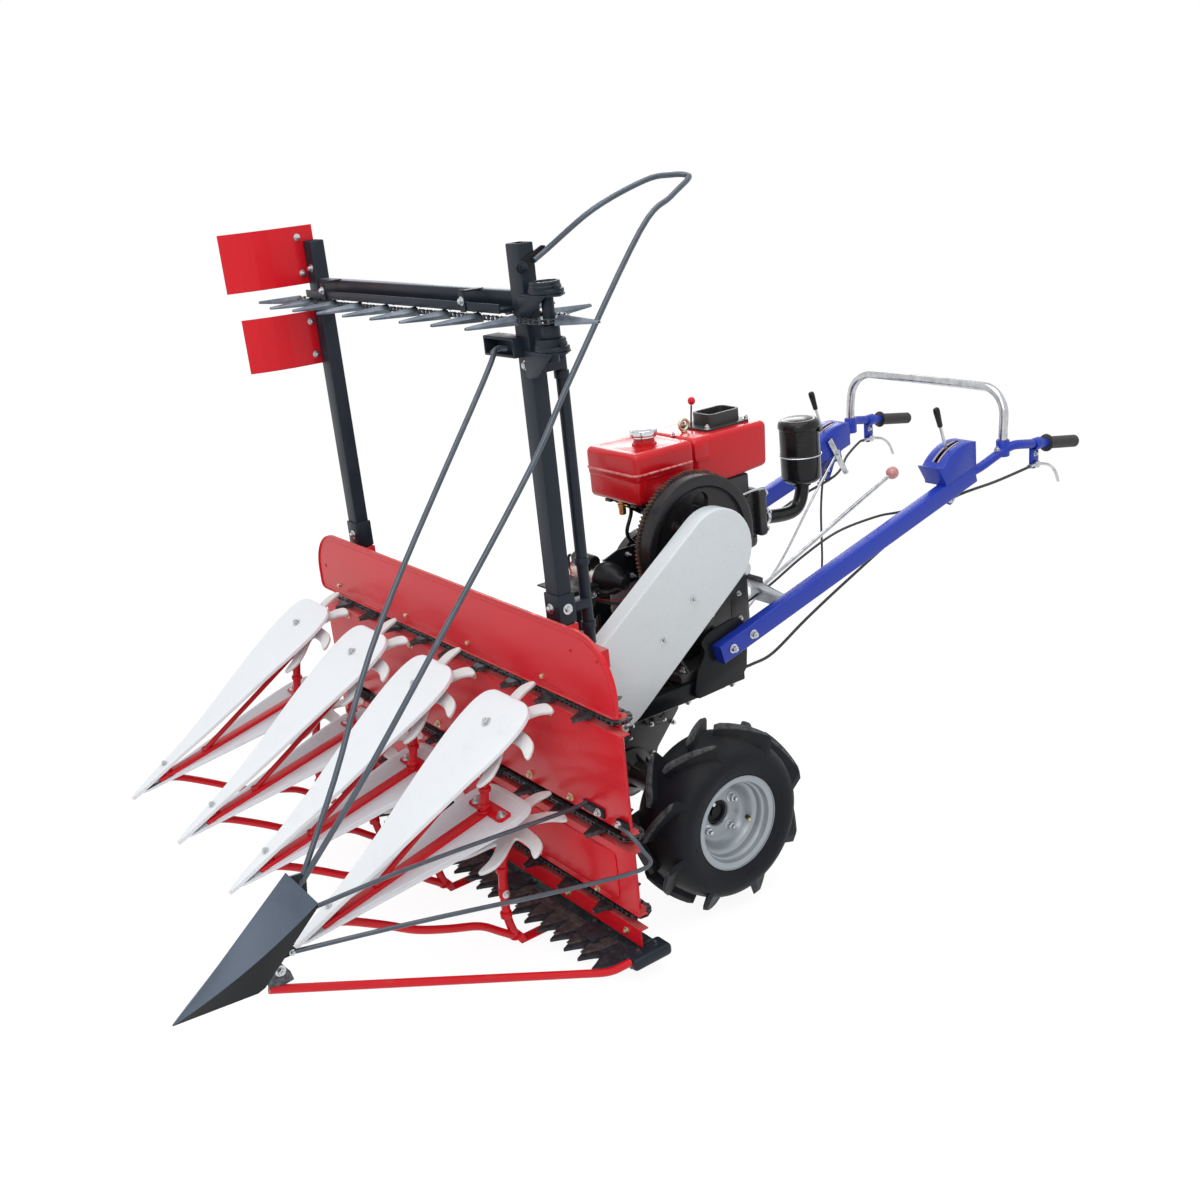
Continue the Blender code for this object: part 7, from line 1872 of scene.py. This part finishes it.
parts.append(shoe)
fit(block_end, "bar_shoe", "cutter_bar", slate, smooth=40)
fit(parts, "guard_bar", "cutter_bar", forged, whole=True)
spots = [((x + across, -0.3595, BAR_TOP + 0.004), (0, 0, 1)) for x in clip_x for across in (-0.027, 0.027)]
spots += [((HEADER_NEAR + 0.005, -0.372, BAR_TOP + 0.0152), (0, 0, 1), 0.9),
          ((HEADER_NEAR + 0.005, -0.328, BAR_TOP + 0.0152), (0, 0, 1), 0.9)]
bolts((0.01, 0.0048, 0.008, 0.003), spots, "guard_bar_bolts", "cutter_bar", steel)

# Knife
# The knife slides on the bar: a back strip with a hardened triangular section riveted over each
# guard. The ground edges of the sections are bright, and their backs are brown with use.

KNIFE_LOW = HEADER_FAR + 0.035
blade_steel = Finish("knife steel", (0.08, 0.08, 0.085), 0.35, 0.3)
use = blade_steel.noise(55, 6, 0.75)
blade_steel.set(Base_Color=blade_steel.mix(use.step(0.36, 0.62), (0.095, 0.098, 0.105),
                                           (0.036, 0.035, 0.035)), Roughness=0.26 + use * 0.35)
blade_steel.bump(blade_steel.node("TexWave", {"wave_type": "BANDS", "bands_direction": "X"},
                                  {"Vector": blade_steel.place(), "Scale": 160.0, "Distortion": 0.6},
                                  out=1), 0.35, 0.0006)
count = int((HEADER_NEAR - 0.06 - KNIFE_LOW) / FINGER_PITCH)
strip = boxed((KNIFE_LOW, -0.393, BAR_TOP + 0.0004),
              (KNIFE_LOW + count * FINGER_PITCH, -0.368, BAR_TOP + 0.0032), 0.0005)
section = extruded([Vector((x, y, BAR_TOP + 0.0004))
                    for x, y in ((0.0015, -0.388), (0.004, -0.404), (0.019, -0.4458), (0.031, -0.4458),
                                 (0.046, -0.404), (0.0485, -0.388))], (0, 0, 0.0026))
inset_faces(section, lambda face: face.normal.z > 0.99, (0.0034, 0.0))
for vertex in section.data.vertices:
    x, y, z = vertex.co
    flank = 0.0042 + (-0.404 - y) * 0.36
    if y < -0.4035 and (x < flank or x > 0.05 - flank) and z > BAR_TOP + 0.0025:
        vertex.co.z -= 0.0016
parts = [strip]
rivet = turned([(0.0, 0.0), (0.0, 0.003), (0.0006, 0.0028), (0.0011, 0.0018), (0.0013, 0.0)], (0, 0, 0),
               (0, 0, 1), 12)
for x in (KNIFE_LOW + index * FINGER_PITCH for index in range(count)):
    parts.append(copied(section, Matrix.Translation((x, 0, 0))))
    parts += [copied(rivet, Matrix.Translation((x + across, -0.38, BAR_TOP + 0.003)))
              for across in (0.014, 0.036)]
remove(section, rivet)
fit(parts, "knife_blades", "knife", blade_steel, smooth=25, body="knife", whole=True)

# Conveyor frame
# Two box posts stand in the header's sleeves and carry the beam that guides the finger chain.
# Beside the near one a drive tube and a shaft run up in flanged bearings on folded brackets.

POST_X = 0.45
POST_Y = -0.3
SHAFT_X = 0.525
TUBE_Y = -0.2345


def post(x):
    """A box tube with round corners and an open top."""
    made = boxed((x - 0.0225, POST_Y - 0.0175, 0.4655), (x + 0.0225, POST_Y + 0.0175, 1.3))
    bevelled(made, 0.003, 3)
    hollow_end(made, lambda face: face.normal.z > 0.99, 0.0014, (0, 0, -0.06))
    return made


def bearing(z, lift):
    """A two-bolt flanged bearing: an oval flange, an open housing and the shaft's ring inside it."""
    outline = ((0.04, 0), (0.03, 0.02), (0.005, 0.03), (-0.025, 0.025), (-0.04, 0.008), (-0.04, -0.008),
               (-0.025, -0.025), (0.005, -0.03), (0.03, -0.02))
    line = round_line([Vector((SHAFT_X + x, POST_Y + y, z)) for x, y in outline], 4)
    flange = extruded(line, (0, 0, 0.0095 * lift), 0.0022)
    housing = turned([(0.0, 0.0), (0.0, 0.031), (0.01, 0.031), (0.0115, 0.0295), (0.017, 0.0295),
                      (0.019, 0.028), (0.019, 0.0235), (0.012, 0.0225), (0.012, 0.0165), (0.0165, 0.016),
                      (0.0165, 0.012), (0.013, 0.0115), (0.013, 0.0)],
                     (SHAFT_X - 0.003, POST_Y, z + 0.004 * lift), (0, 0, lift), 36)
    return [flange, housing]


def gusset(z, web_line):
    """A folded bracket: a shelf for the bearing and a web back to the post."""
    shelf = extruded([Vector((x, y, z))
                      for x, y in ((0.466, POST_Y - 0.026), (0.466, POST_Y + 0.026),
                                   (0.545, POST_Y + 0.029), (0.57, POST_Y), (0.545, POST_Y - 0.029))],
                     (0, 0, 0.004), 0.0008)
    web = extruded([Vector((x, POST_Y - 0.0255, z + drop)) for x, drop in web_line], (0, 0.003, 0), 0.0008)
    return [shelf, web]


parts = [
    post(-POST_X),
    post(POST_X),
    boxed((-POST_X + 0.02, POST_Y - 0.012, 1.178), (POST_X - 0.02, POST_Y + 0.012, 1.209), 0.0022),
    boxed((-0.43, -0.3455, 1.1725), (0.43, POST_Y + 0.01, 1.1805), 0.001),
    boxed((-0.43, -0.349, 1.172), (0.43, -0.3455, 1.19), 0.001),
]
channel = boxed((0.342, -0.34, 1.086), (0.4515, -0.302, 1.125), 0.0018)
hollow_end(channel, lambda face: face.normal.y < -0.99, 0.0032, (0, 0.03, 0))
parts.append(channel)
webs = {1.096: ((0.462, 0.003), (0.558, 0.003), (0.505, -0.044), (0.476, -0.05), (0.462, -0.048)),
        1.203: ((0.462, 0.003), (0.558, 0.003), (0.545, -0.004), (0.476, -0.05), (0.462, -0.05))}
for z, web_line in webs.items():
    parts += gusset(z, web_line)
    parts += bearing(z + 0.0045, 1)
parts += [
    drum((SHAFT_X, POST_Y, 1.078), (0, 0, 1), 0.012, 0.146, 24, 0.001),
    drum((SHAFT_X, POST_Y, 1.122), (0, 0, 1), 0.0185, 0.028, 24, 0.002),
]
teeth = []
for count in range(11):
    turn = 2 * pi * (count + 0.5) / 11
    for swing, radius in ((-0.2, 0.024), (-0.09, 0.029), (0.09, 0.029), (0.2, 0.024)):
        teeth.append(Vector((SHAFT_X + radius * cos(turn + swing), POST_Y + radius * sin(turn + swing),
                             1.1575)))
parts.append(extruded(teeth, (0, 0, 0.005)))
for z in (0.56, 1.06):
    parts.append(boxed((POST_X - 0.016, POST_Y + 0.0165, z - 0.01), (POST_X + 0.016, TUBE_Y, z + 0.01),
                       0.002))
parts.append(drum((POST_X, TUBE_Y, 0.4655), (0, 0, 1), 0.0125, 0.619, 32, 0.001))
for z in (0.5, 0.64, 1.03):
    parts.append(drum((POST_X, TUBE_Y, z), (0, 0, 1), 0.0155, 0.016, 32, 0.0015))
for x in (-0.33, 0.3):
    parts += [
        boxed((x - 0.01, -0.3525, 1.17), (x + 0.01, -0.3492, 1.214), 0.001),
        boxed((x - 0.01, -0.3525, 1.209), (x + 0.01, POST_Y - 0.004, 1.2125), 0.001),
    ]
for x in (-POST_X, POST_X):
    parts.append(boxed((x - 0.0262, POST_Y - 0.0212, 0.533), (x + 0.0262, POST_Y + 0.0212, 0.598), 0.0025))
fit(parts, "conveyor_posts", "conveyor_frame", slate, whole=True)
# A thin pale strip laid on the beam's top: its lighter slate is a painted sheen, standing in for the sky's
# reflection along the top.
top_sheen_finish = Finish("slate painted sheen", (0.12, 0.15, 0.19), 0.34, 0.2)
top_sheen_tone = top_sheen_finish.noise(9, 5, 0.6)
top_sheen_finish.set(Base_Color=top_sheen_finish.mix(top_sheen_tone, (0.085, 0.108, 0.145), (0.175, 0.205, 0.25)),
               Roughness=0.28 + top_sheen_tone * 0.2)
top_sheen_finish.bump(top_sheen_finish.noise(60, 3, 0.5), 0.08, 0.0006)
fit(boxed((-POST_X + 0.023, POST_Y - 0.01, 1.2086), (POST_X - 0.023, POST_Y + 0.01, 1.2104), 0.0005),
    "beam_top_sheen", "conveyor_frame", top_sheen_finish)

spots = [((side * POST_X - side * 0.004, POST_Y - 0.0214, 0.566), (0, -1, 0)) for side in (-1, 1)]
spots += [((side * POST_X + side * 0.0264, POST_Y, 0.566), (side, 0, 0)) for side in (-1, 1)]
spots += [((-POST_X + 0.004, POST_Y - 0.0177, z), (0, -1, 0), 0.9) for z in (1.15, 1.236)]
spots += [((POST_X + 0.004, POST_Y - 0.0177, 1.07), (0, -1, 0), 0.9)]
spots += [((x, -0.3527, 1.192), (0, -1, 0), 0.8) for x in (-0.33, 0.3)]
bolts((0.013, 0.0055, 0.0115, 0.003), spots, "post_bolts", "conveyor_frame")
spots = [((SHAFT_X + x, POST_Y + y, z + 0.0095), (0, 0, 1), 0.8) for z in (1.1005, 1.2075)
         for x, y in ((0.0345, 0), (-0.0345, 0))]
bolts((0.011, 0.005, 0.0085, 0.004), spots, "bearing_bolts", "conveyor_frame", slate)

# Finger chain
# A roller chain under the beam carries long tapered fingers that sweep the cut crop sideways.
# Each finger is a folded steel blade, deep at its riveted foot and blunt at its tip.


def finger(reach):
    """A roofed blade pointing to -Y, made as a row of narrowing sections."""
    rows = 7

    def place(row, column):
        share = row / (rows - 1)
        wide = 0.0125 * (1 - share) ** 0.8 + 0.003
        deep = 0.0066 * (1 - share) + 0.0024
        across, lift = ((-1, -1), (-1, 0.0), (-0.5, 0.75), (0, 1), (0.5, 0.75), (1, 0.0), (1, -1))[column]
        return Vector((across * wide, 0.003 - reach * share, lift * deep))

    made = grid_of(rows, 7, place)
    modify(made, "SOLIDIFY", thickness=0.0022, offset=0.0, use_even_offset=True)
    foot = boxed((-0.0125, 0.0002, -0.006), (0.0125, 0.0032, 0.006), 0.001, 1)
    rivets = [drum((x, -0.008, 0.003), (0, 0, 1), 0.0028, 0.004, 10, 0.0008) for x in (-0.004, 0.004)]
    return join([made, foot, *rivets])


FINGER_Z = 1.16
FINGER_STEP = 0.127
TURN_RADIUS = 0.039

blade = finger(0.109)
low_x = -0.535
high_x = SHAFT_X + TURN_RADIUS
stops = belt_path(low_x + 0.003, high_x - 0.003, -0.336, -0.264)
chain = roller_chain(stops, FINGER_Z)
first = (low_x + high_x) / 2 - 3.5 * FINGER_STEP
spots = [((first + FINGER_STEP * count, y, FINGER_Z), turn) for count in range(8)
         for y, turn in ((-0.3395, 0.0), (-0.2605, pi))]
for centre, quarters in ((high_x - TURN_RADIUS, 0.04), (low_x + TURN_RADIUS, 1.52),
                         (low_x + TURN_RADIUS, 2.48)):
    turn = quarters * pi / 2
    spots.append(((centre + TURN_RADIUS * cos(turn), POST_Y + TURN_RADIUS * sin(turn), FINGER_Z),
                  turn + pi / 2))
fingers = [copied(blade, Matrix.Translation(place) @ Matrix.Rotation(turn, 4, "Z"))
           for place, turn in spots]
remove(blade)
fit(chain, "finger_conveyor_chain", "finger_chain", steel, smooth=30)
swept = Finish("swept steel", (0.15, 0.18, 0.22), 0.34, 0.55)
wiped = swept.noise(20, 5, 0.65)
swept.set(Base_Color=swept.mix(wiped.step(0.35, 0.75), (0.1, 0.122, 0.155), (0.23, 0.262, 0.305)),
          Roughness=0.28 + wiped * 0.2)
swept.bump(swept.noise(60, 3, 0.5), 0.08, 0.0006)
fit(fingers, "finger_conveyor", "finger_chain", swept, smooth=30, whole=True)

# Deflectors
# Two red sheet plates on a strip at the far post turn the crop down as it leaves the conveyor.
# Their outer edges are rolled, and each is held by bolts through the strip.

paint(frame["nodes"]["deflector"], worn_red)
spots = [(place, (side, 0, 0)) for side, x, y in ((-1, -0.4759, -0.034), (1, -0.4722, -0.03))
         for place in ((x, POST_Y + y, z) for z in (1.225, 1.31, 1.03, 1.11))]
bolts((0.01, 0.0045, 0.0085, 0.003), spots, "deflector_bolts", "deflector")

# Outer divider
# A folded steel point parts the crop at the near side. Round guide rods sweep up and back from it
# to the near post and the header, three of them held there by a flat bracket with a bolt.

DIVIDER_X = 0.62

rod_steel = Finish("blued rod", (0.07, 0.085, 0.105), 0.3, 0.4, Coat_Weight=0.1, Coat_Roughness=0.15)
streak = rod_steel.noise(24, 5, 0.65)
scuff = rod_steel.noise(70, 6, 0.8).step(0.64, 0.76)
rod_steel.set(Base_Color=rod_steel.mix(scuff * 0.4,
                                       rod_steel.mix(streak, (0.04, 0.052, 0.068), (0.105, 0.125, 0.155)),
                                       (0.22, 0.22, 0.22)), Roughness=0.24 + streak * 0.18 + scuff * 0.2)
rod_steel.bump(rod_steel.noise(110, 3, 0.5), 0.1, 0.0007)

x = DIVIDER_X
tip = Vector((x, -1.285, 0.135))
ridge = Vector((x, -1.04, 0.33))
flanks = ((Vector((x + 0.026, -1.128, 0.14)), Vector((x + 0.036, -1.002, 0.262))),
          (Vector((x - 0.028, -1.128, 0.14)), Vector((x - 0.04, -1.002, 0.262))))


def fold_place(row, column):
    """The folded sheet: 21 rows from the tip to the rear edge, 17 columns over the ridge."""
    share = 0.015 + 0.985 * (row / 20) ** 0.9
    across = abs(column - 8) / 8
    low, top = flanks[0] if column < 8 else flanks[1]
    edge = tip.lerp(low, share / 0.62) if share < 0.62 else low.lerp(top, (share - 0.62) / 0.38 * 0.97)
    crest = tip.lerp(ridge, share)
    fold = tip.lerp(top.lerp(ridge, 0.04), share)
    fold.x += (0.017 if column < 8 else -0.017) * sin(pi * min(1.0, share * 1.02)) ** 0.8
    soft = Vector((0, 0.4, -1)).normalized() * 0.0035 * max(0.0, 1 - across * 5) * min(1.0, share * 6)
    return crest.lerp(fold, across / 0.5) + soft if across < 0.5 else fold.lerp(edge, (across - 0.5) / 0.5)


point_steel = Finish("point steel", (0.1, 0.12, 0.15), 0.36, 0.2, Specular_IOR_Level=0.3)
# Faces that look up get a lighter blue-grey as painted light. Faces that look down or to the side get a
# near-black painted shade.
lit = point_steel.up().step(0.1, 0.34)
worn = point_steel.noise(26, 6, 0.7)
scored = point_steel.noise(80, 6, 0.8).step(0.66, 0.74)
skyward = point_steel.mix(worn, (0.06, 0.08, 0.115), (0.105, 0.13, 0.17))
painted_light_and_shade = point_steel.mix(lit, (0.008, 0.01, 0.012), skyward)
point_steel.set(Base_Color=point_steel.mix(scored * 0.4, painted_light_and_shade, (0.22, 0.23, 0.24)),
                Roughness=0.32 + worn * 0.2)
point_steel.bump(point_steel.noise(60, 3, 0.5), 0.08, 0.0007)
shell = grid_of(21, 17, fold_place)
modify(shell, "SOLIDIFY", thickness=0.0024, offset=-1.0, use_even_offset=False)
ear_line = [(-1.107, 0.181), (-1.086, 0.181), (-1.012, 0.236), (-1.004, 0.3), (-1.012, 0.315),
            (-1.04, 0.318), (-1.098, 0.272)]
ear = side_plate(ear_line, x - 0.002, x + 0.002, 0.0008)
fit([shell, ear], "divider_point", "outer_divider", point_steel, smooth=12, whole=True)

post_side = 0.4728
loop = [(x, -1.014, 0.296), (x + 0.02, -0.876, 0.452), (x + 0.03, -0.695, 0.66), (x + 0.04, -0.467, 0.925),
        (x + 0.04, -0.362, 1.065), (x + 0.04, -0.172, 1.305), (x + 0.032, -0.088, 1.356),
        (x + 0.014, -0.028, 1.382), (x - 0.004, -0.016, 1.389), (x - 0.02, -0.038, 1.392),
        (x - 0.036, -0.09, 1.388), (x - 0.07, -0.19, 1.348), (post_side + 0.014, -0.262, 1.283),
        (post_side + 0.0104, -0.292, 1.266)]
second = [(x, -1.02, 0.29), (x - 0.03, -0.907, 0.449), (x - 0.08, -0.745, 0.69), (0.46, -0.42, 1.06),
          (0.431, -0.372, 1.105), (0.431, -0.343, 1.105)]
low_a = [(x, -1.06, 0.24), (0.6, -0.827, 0.225), (0.57, -0.61, 0.195), (0.56, -0.42, 0.176),
         (0.56, -0.3612, 0.176)]
low_b = [(x + 0.006, -1.066, 0.179), (0.69, -0.851, 0.17), (0.728, -0.5, 0.11), (0.735, -0.35, 0.09),
         (0.732, -0.356, 0.13), (0.712, -0.366, 0.158), (0.68, -0.366, 0.165)]
rods = [rod_of(round_line(points, 6, closed=False), radius, smooth=False, sides=4)
        for points, radius in ((loop, 0.0054), (second, 0.0054), (low_a, 0.0045), (low_b, 0.0045))]
fit(rods, "guide_rods", "outer_divider", rod_steel, smooth=50)

strap = side_plate([(-0.331, 1.257), (-0.323, 1.246), (-0.312, 1.248), (-0.256, 1.276), (-0.26, 1.29),
                    (-0.268, 1.291), (-0.326, 1.264)], post_side + 0.0005, post_side + 0.0057, 0.001)
front = -0.3579
foot_a = extruded([Vector((x, front, z))
                   for x, z in ((0.545, 0.156), (0.615, 0.156), (0.6175, 0.1585), (0.6175, 0.176),
                                (0.615, 0.1785), (0.545, 0.1785))], (0, -0.0038, 0), 0.001)
foot_b = extruded([Vector((x, front, z))
                   for x, z in ((0.662, 0.157), (0.699, 0.157), (0.699, 0.175), (0.696, 0.178),
                                (0.665, 0.178), (0.662, 0.175))], (0, -0.0076, 0), 0.001)
tabs = [boxed((x - 0.001, -1.08, 0.174), (x + 0.011, -1.05, 0.184), 0.0012),
        boxed((x - 0.006, -1.076, 0.188), (x + 0.006, -1.05, 0.206), 0.0012)]
fit([strap, foot_a, foot_b, *tabs], "rod_brackets", "outer_divider", black)
spots = [((0.599, front - 0.0038, 0.167), (0, -1, 0), 0.9),
         ((0.674, front - 0.0076, 0.168), (0, -1, 0), 0.8), ((x + 0.011, -1.058, 0.179), (1, 0, 0), 0.6)]
spots += [((x + side * 0.002, y, z), (side, 0, 0)) for side in (1, -1)
          for y, z in ((-1.072, 0.22), (-1.032, 0.275))]
bolts((0.012, 0.0058, 0.0105, 0.004), spots, "rod_bolts", "outer_divider")
bolts((0.013, 0.0058, 0.011, 0.003), [((post_side + 0.0057, -0.315, 1.2565), (1, 0, 0))], "strap_bolt",
      "outer_divider", slate)

# Divider tube
# A bent red tube carries the point from the near end of the cutter bar. Its front end is held by
# a small steel bracket with one bolt.

start = Vector((HEADER_NEAR + 0.012, -0.4003, -0.121))
bend_at = Vector((HEADER_NEAR + 0.012, -0.45, -0.121))
front_end = Vector((DIVIDER_X, -1.108, 0.122))
aim = (front_end - bend_at).normalized()
bend_start, bend_end = start.lerp(bend_at, 0.55), bend_at + aim * 0.03
line = [start, bend_start]
for step in range(1, 6):
    share = step / 6
    line.append((1 - share) ** 2 * bend_start + 2 * share * (1 - share) * bend_at + share ** 2 * bend_end)
line += [bend_end, front_end]
pipe = rod_of(line, 0.0084, smooth=False, sides=5)
fit(pipe, "point_tube", "divider_tube", gloss_red, smooth=50, whole=True)
plate_line = ((-1.112, 0.144), (-1.092, 0.17), (-1.082, 0.169), (-1.066, 0.142), (-1.062, 0.123),
              (-1.108, 0.118))
bracket = side_plate(plate_line, DIVIDER_X + 0.002, DIVIDER_X + 0.006, 0.001)
fit(bracket, "tube_bracket", "divider_tube", steel)
end_bolts = [((DIVIDER_X + 0.0062, -1.084, 0.152), (1, 0, 0), 1.0)]
bolts((0.012, 0.0058, 0.0105, 0.004), end_bolts, "point_tube_bolt", "divider_tube")

# Studio
# A pale floor that runs out of sight under a plain white sky, with soft lamps overhead, beside the
# camera and behind. The camera stands where the photograph was taken from.

chalk = Finish("chalk floor", (0.86, 0.86, 0.86), 0.95)
select_only()
bpy.ops.mesh.primitive_plane_add(size=60.0, location=(0, 0, 0))
floor = bpy.context.object
floor.name = "studio_floor"
chalk.material.node_tree.nodes.remove(chalk.shader)
matt = chalk.node("BsdfDiffuse", sockets={"Color": (0.8, 0.8, 0.8, 1)})
glow = chalk.node("Emission", sockets={"Color": (1, 1, 1, 1), "Strength": 1.12})
seen = chalk.node("LightPath")
rays = [Link(chalk, seen.socket.node.outputs[key]) for key in ("Is Glossy Ray", "Is Transmission Ray")]
mirrored_ray = rays[0].maths("MAXIMUM", rays[0], rays[1])
camera_ray = Link(chalk, seen.socket.node.outputs["Is Camera Ray"])
veil = chalk.node("MixShader", sockets={0: camera_ray * 0.82 + mirrored_ray, 1: matt, 2: glow})
chalk.tree.links.new(veil.socket, chalk.tree.nodes["Material Output"].inputs["Surface"])
paint(floor, chalk)

sky = bpy.data.worlds.new("studio sky")
bpy.context.scene.world = sky
sky.use_nodes = True
sky.node_tree.nodes["Background"].inputs["Color"].default_value = (1.0, 1.0, 1.0, 1.0)
sky.node_tree.nodes["Background"].inputs["Strength"].default_value = 0.62
backing = sky.node_tree.nodes.new("ShaderNodeBackground")
backing.inputs["Color"].default_value = (1.0, 1.0, 1.0, 1.0)
backing.inputs["Strength"].default_value = 1.0
ray = sky.node_tree.nodes.new("ShaderNodeLightPath")
shown = ray.outputs["Is Camera Ray"]
for key in ("Is Glossy Ray", "Is Transmission Ray"):
    more = sky.node_tree.nodes.new("ShaderNodeMath")
    more.operation = "MAXIMUM"
    sky.node_tree.links.new(shown, more.inputs[0])
    sky.node_tree.links.new(ray.outputs[key], more.inputs[1])
    shown = more.outputs[0]
either = sky.node_tree.nodes.new("ShaderNodeMixShader")
sky.node_tree.links.new(shown, either.inputs[0])
sky.node_tree.links.new(sky.node_tree.nodes["Background"].outputs[0], either.inputs[1])
sky.node_tree.links.new(backing.outputs[0], either.inputs[2])
sky.node_tree.links.new(either.outputs[0], sky.node_tree.nodes["World Output"].inputs["Surface"])


def lamp(name, place, aim, power, size):
    select_only()
    bpy.ops.object.light_add(type="AREA", location=place)
    made = bpy.context.object
    made.name = name
    made.data.shape = "RECTANGLE"
    made.data.size = size[0]
    made.data.size_y = size[1]
    made.data.energy = power
    made.rotation_euler = (Vector(aim) - Vector(place)).to_track_quat("-Z", "Y").to_euler()
    return made


lamp("sky_panel", (0.6, -1.0, 4.6), (0.0, -0.1, 0.4), 95, (4.0, 4.0))
lamp("key_panel", (3.4, -3.6, 3.4), (0.0, -0.2, 0.5), 60, (2.4, 2.0))
lamp("rim_panel", (-3.4, 2.6, 2.8), (0.0, 0.0, 0.6), 45, (2.2, 2.0))

select_only()
bpy.ops.object.camera_add(location=(2.626, -1.97, 1.49),
                          rotation=(radians(90 - 15.055), 0.0, radians(53.47)))
camera = bpy.context.object
camera.name = "photograph_view"
camera.data.lens = 41.1
camera.data.sensor_width = 36.0
bpy.context.scene.camera = camera
bpy.context.scene.view_settings.view_transform = "Standard"
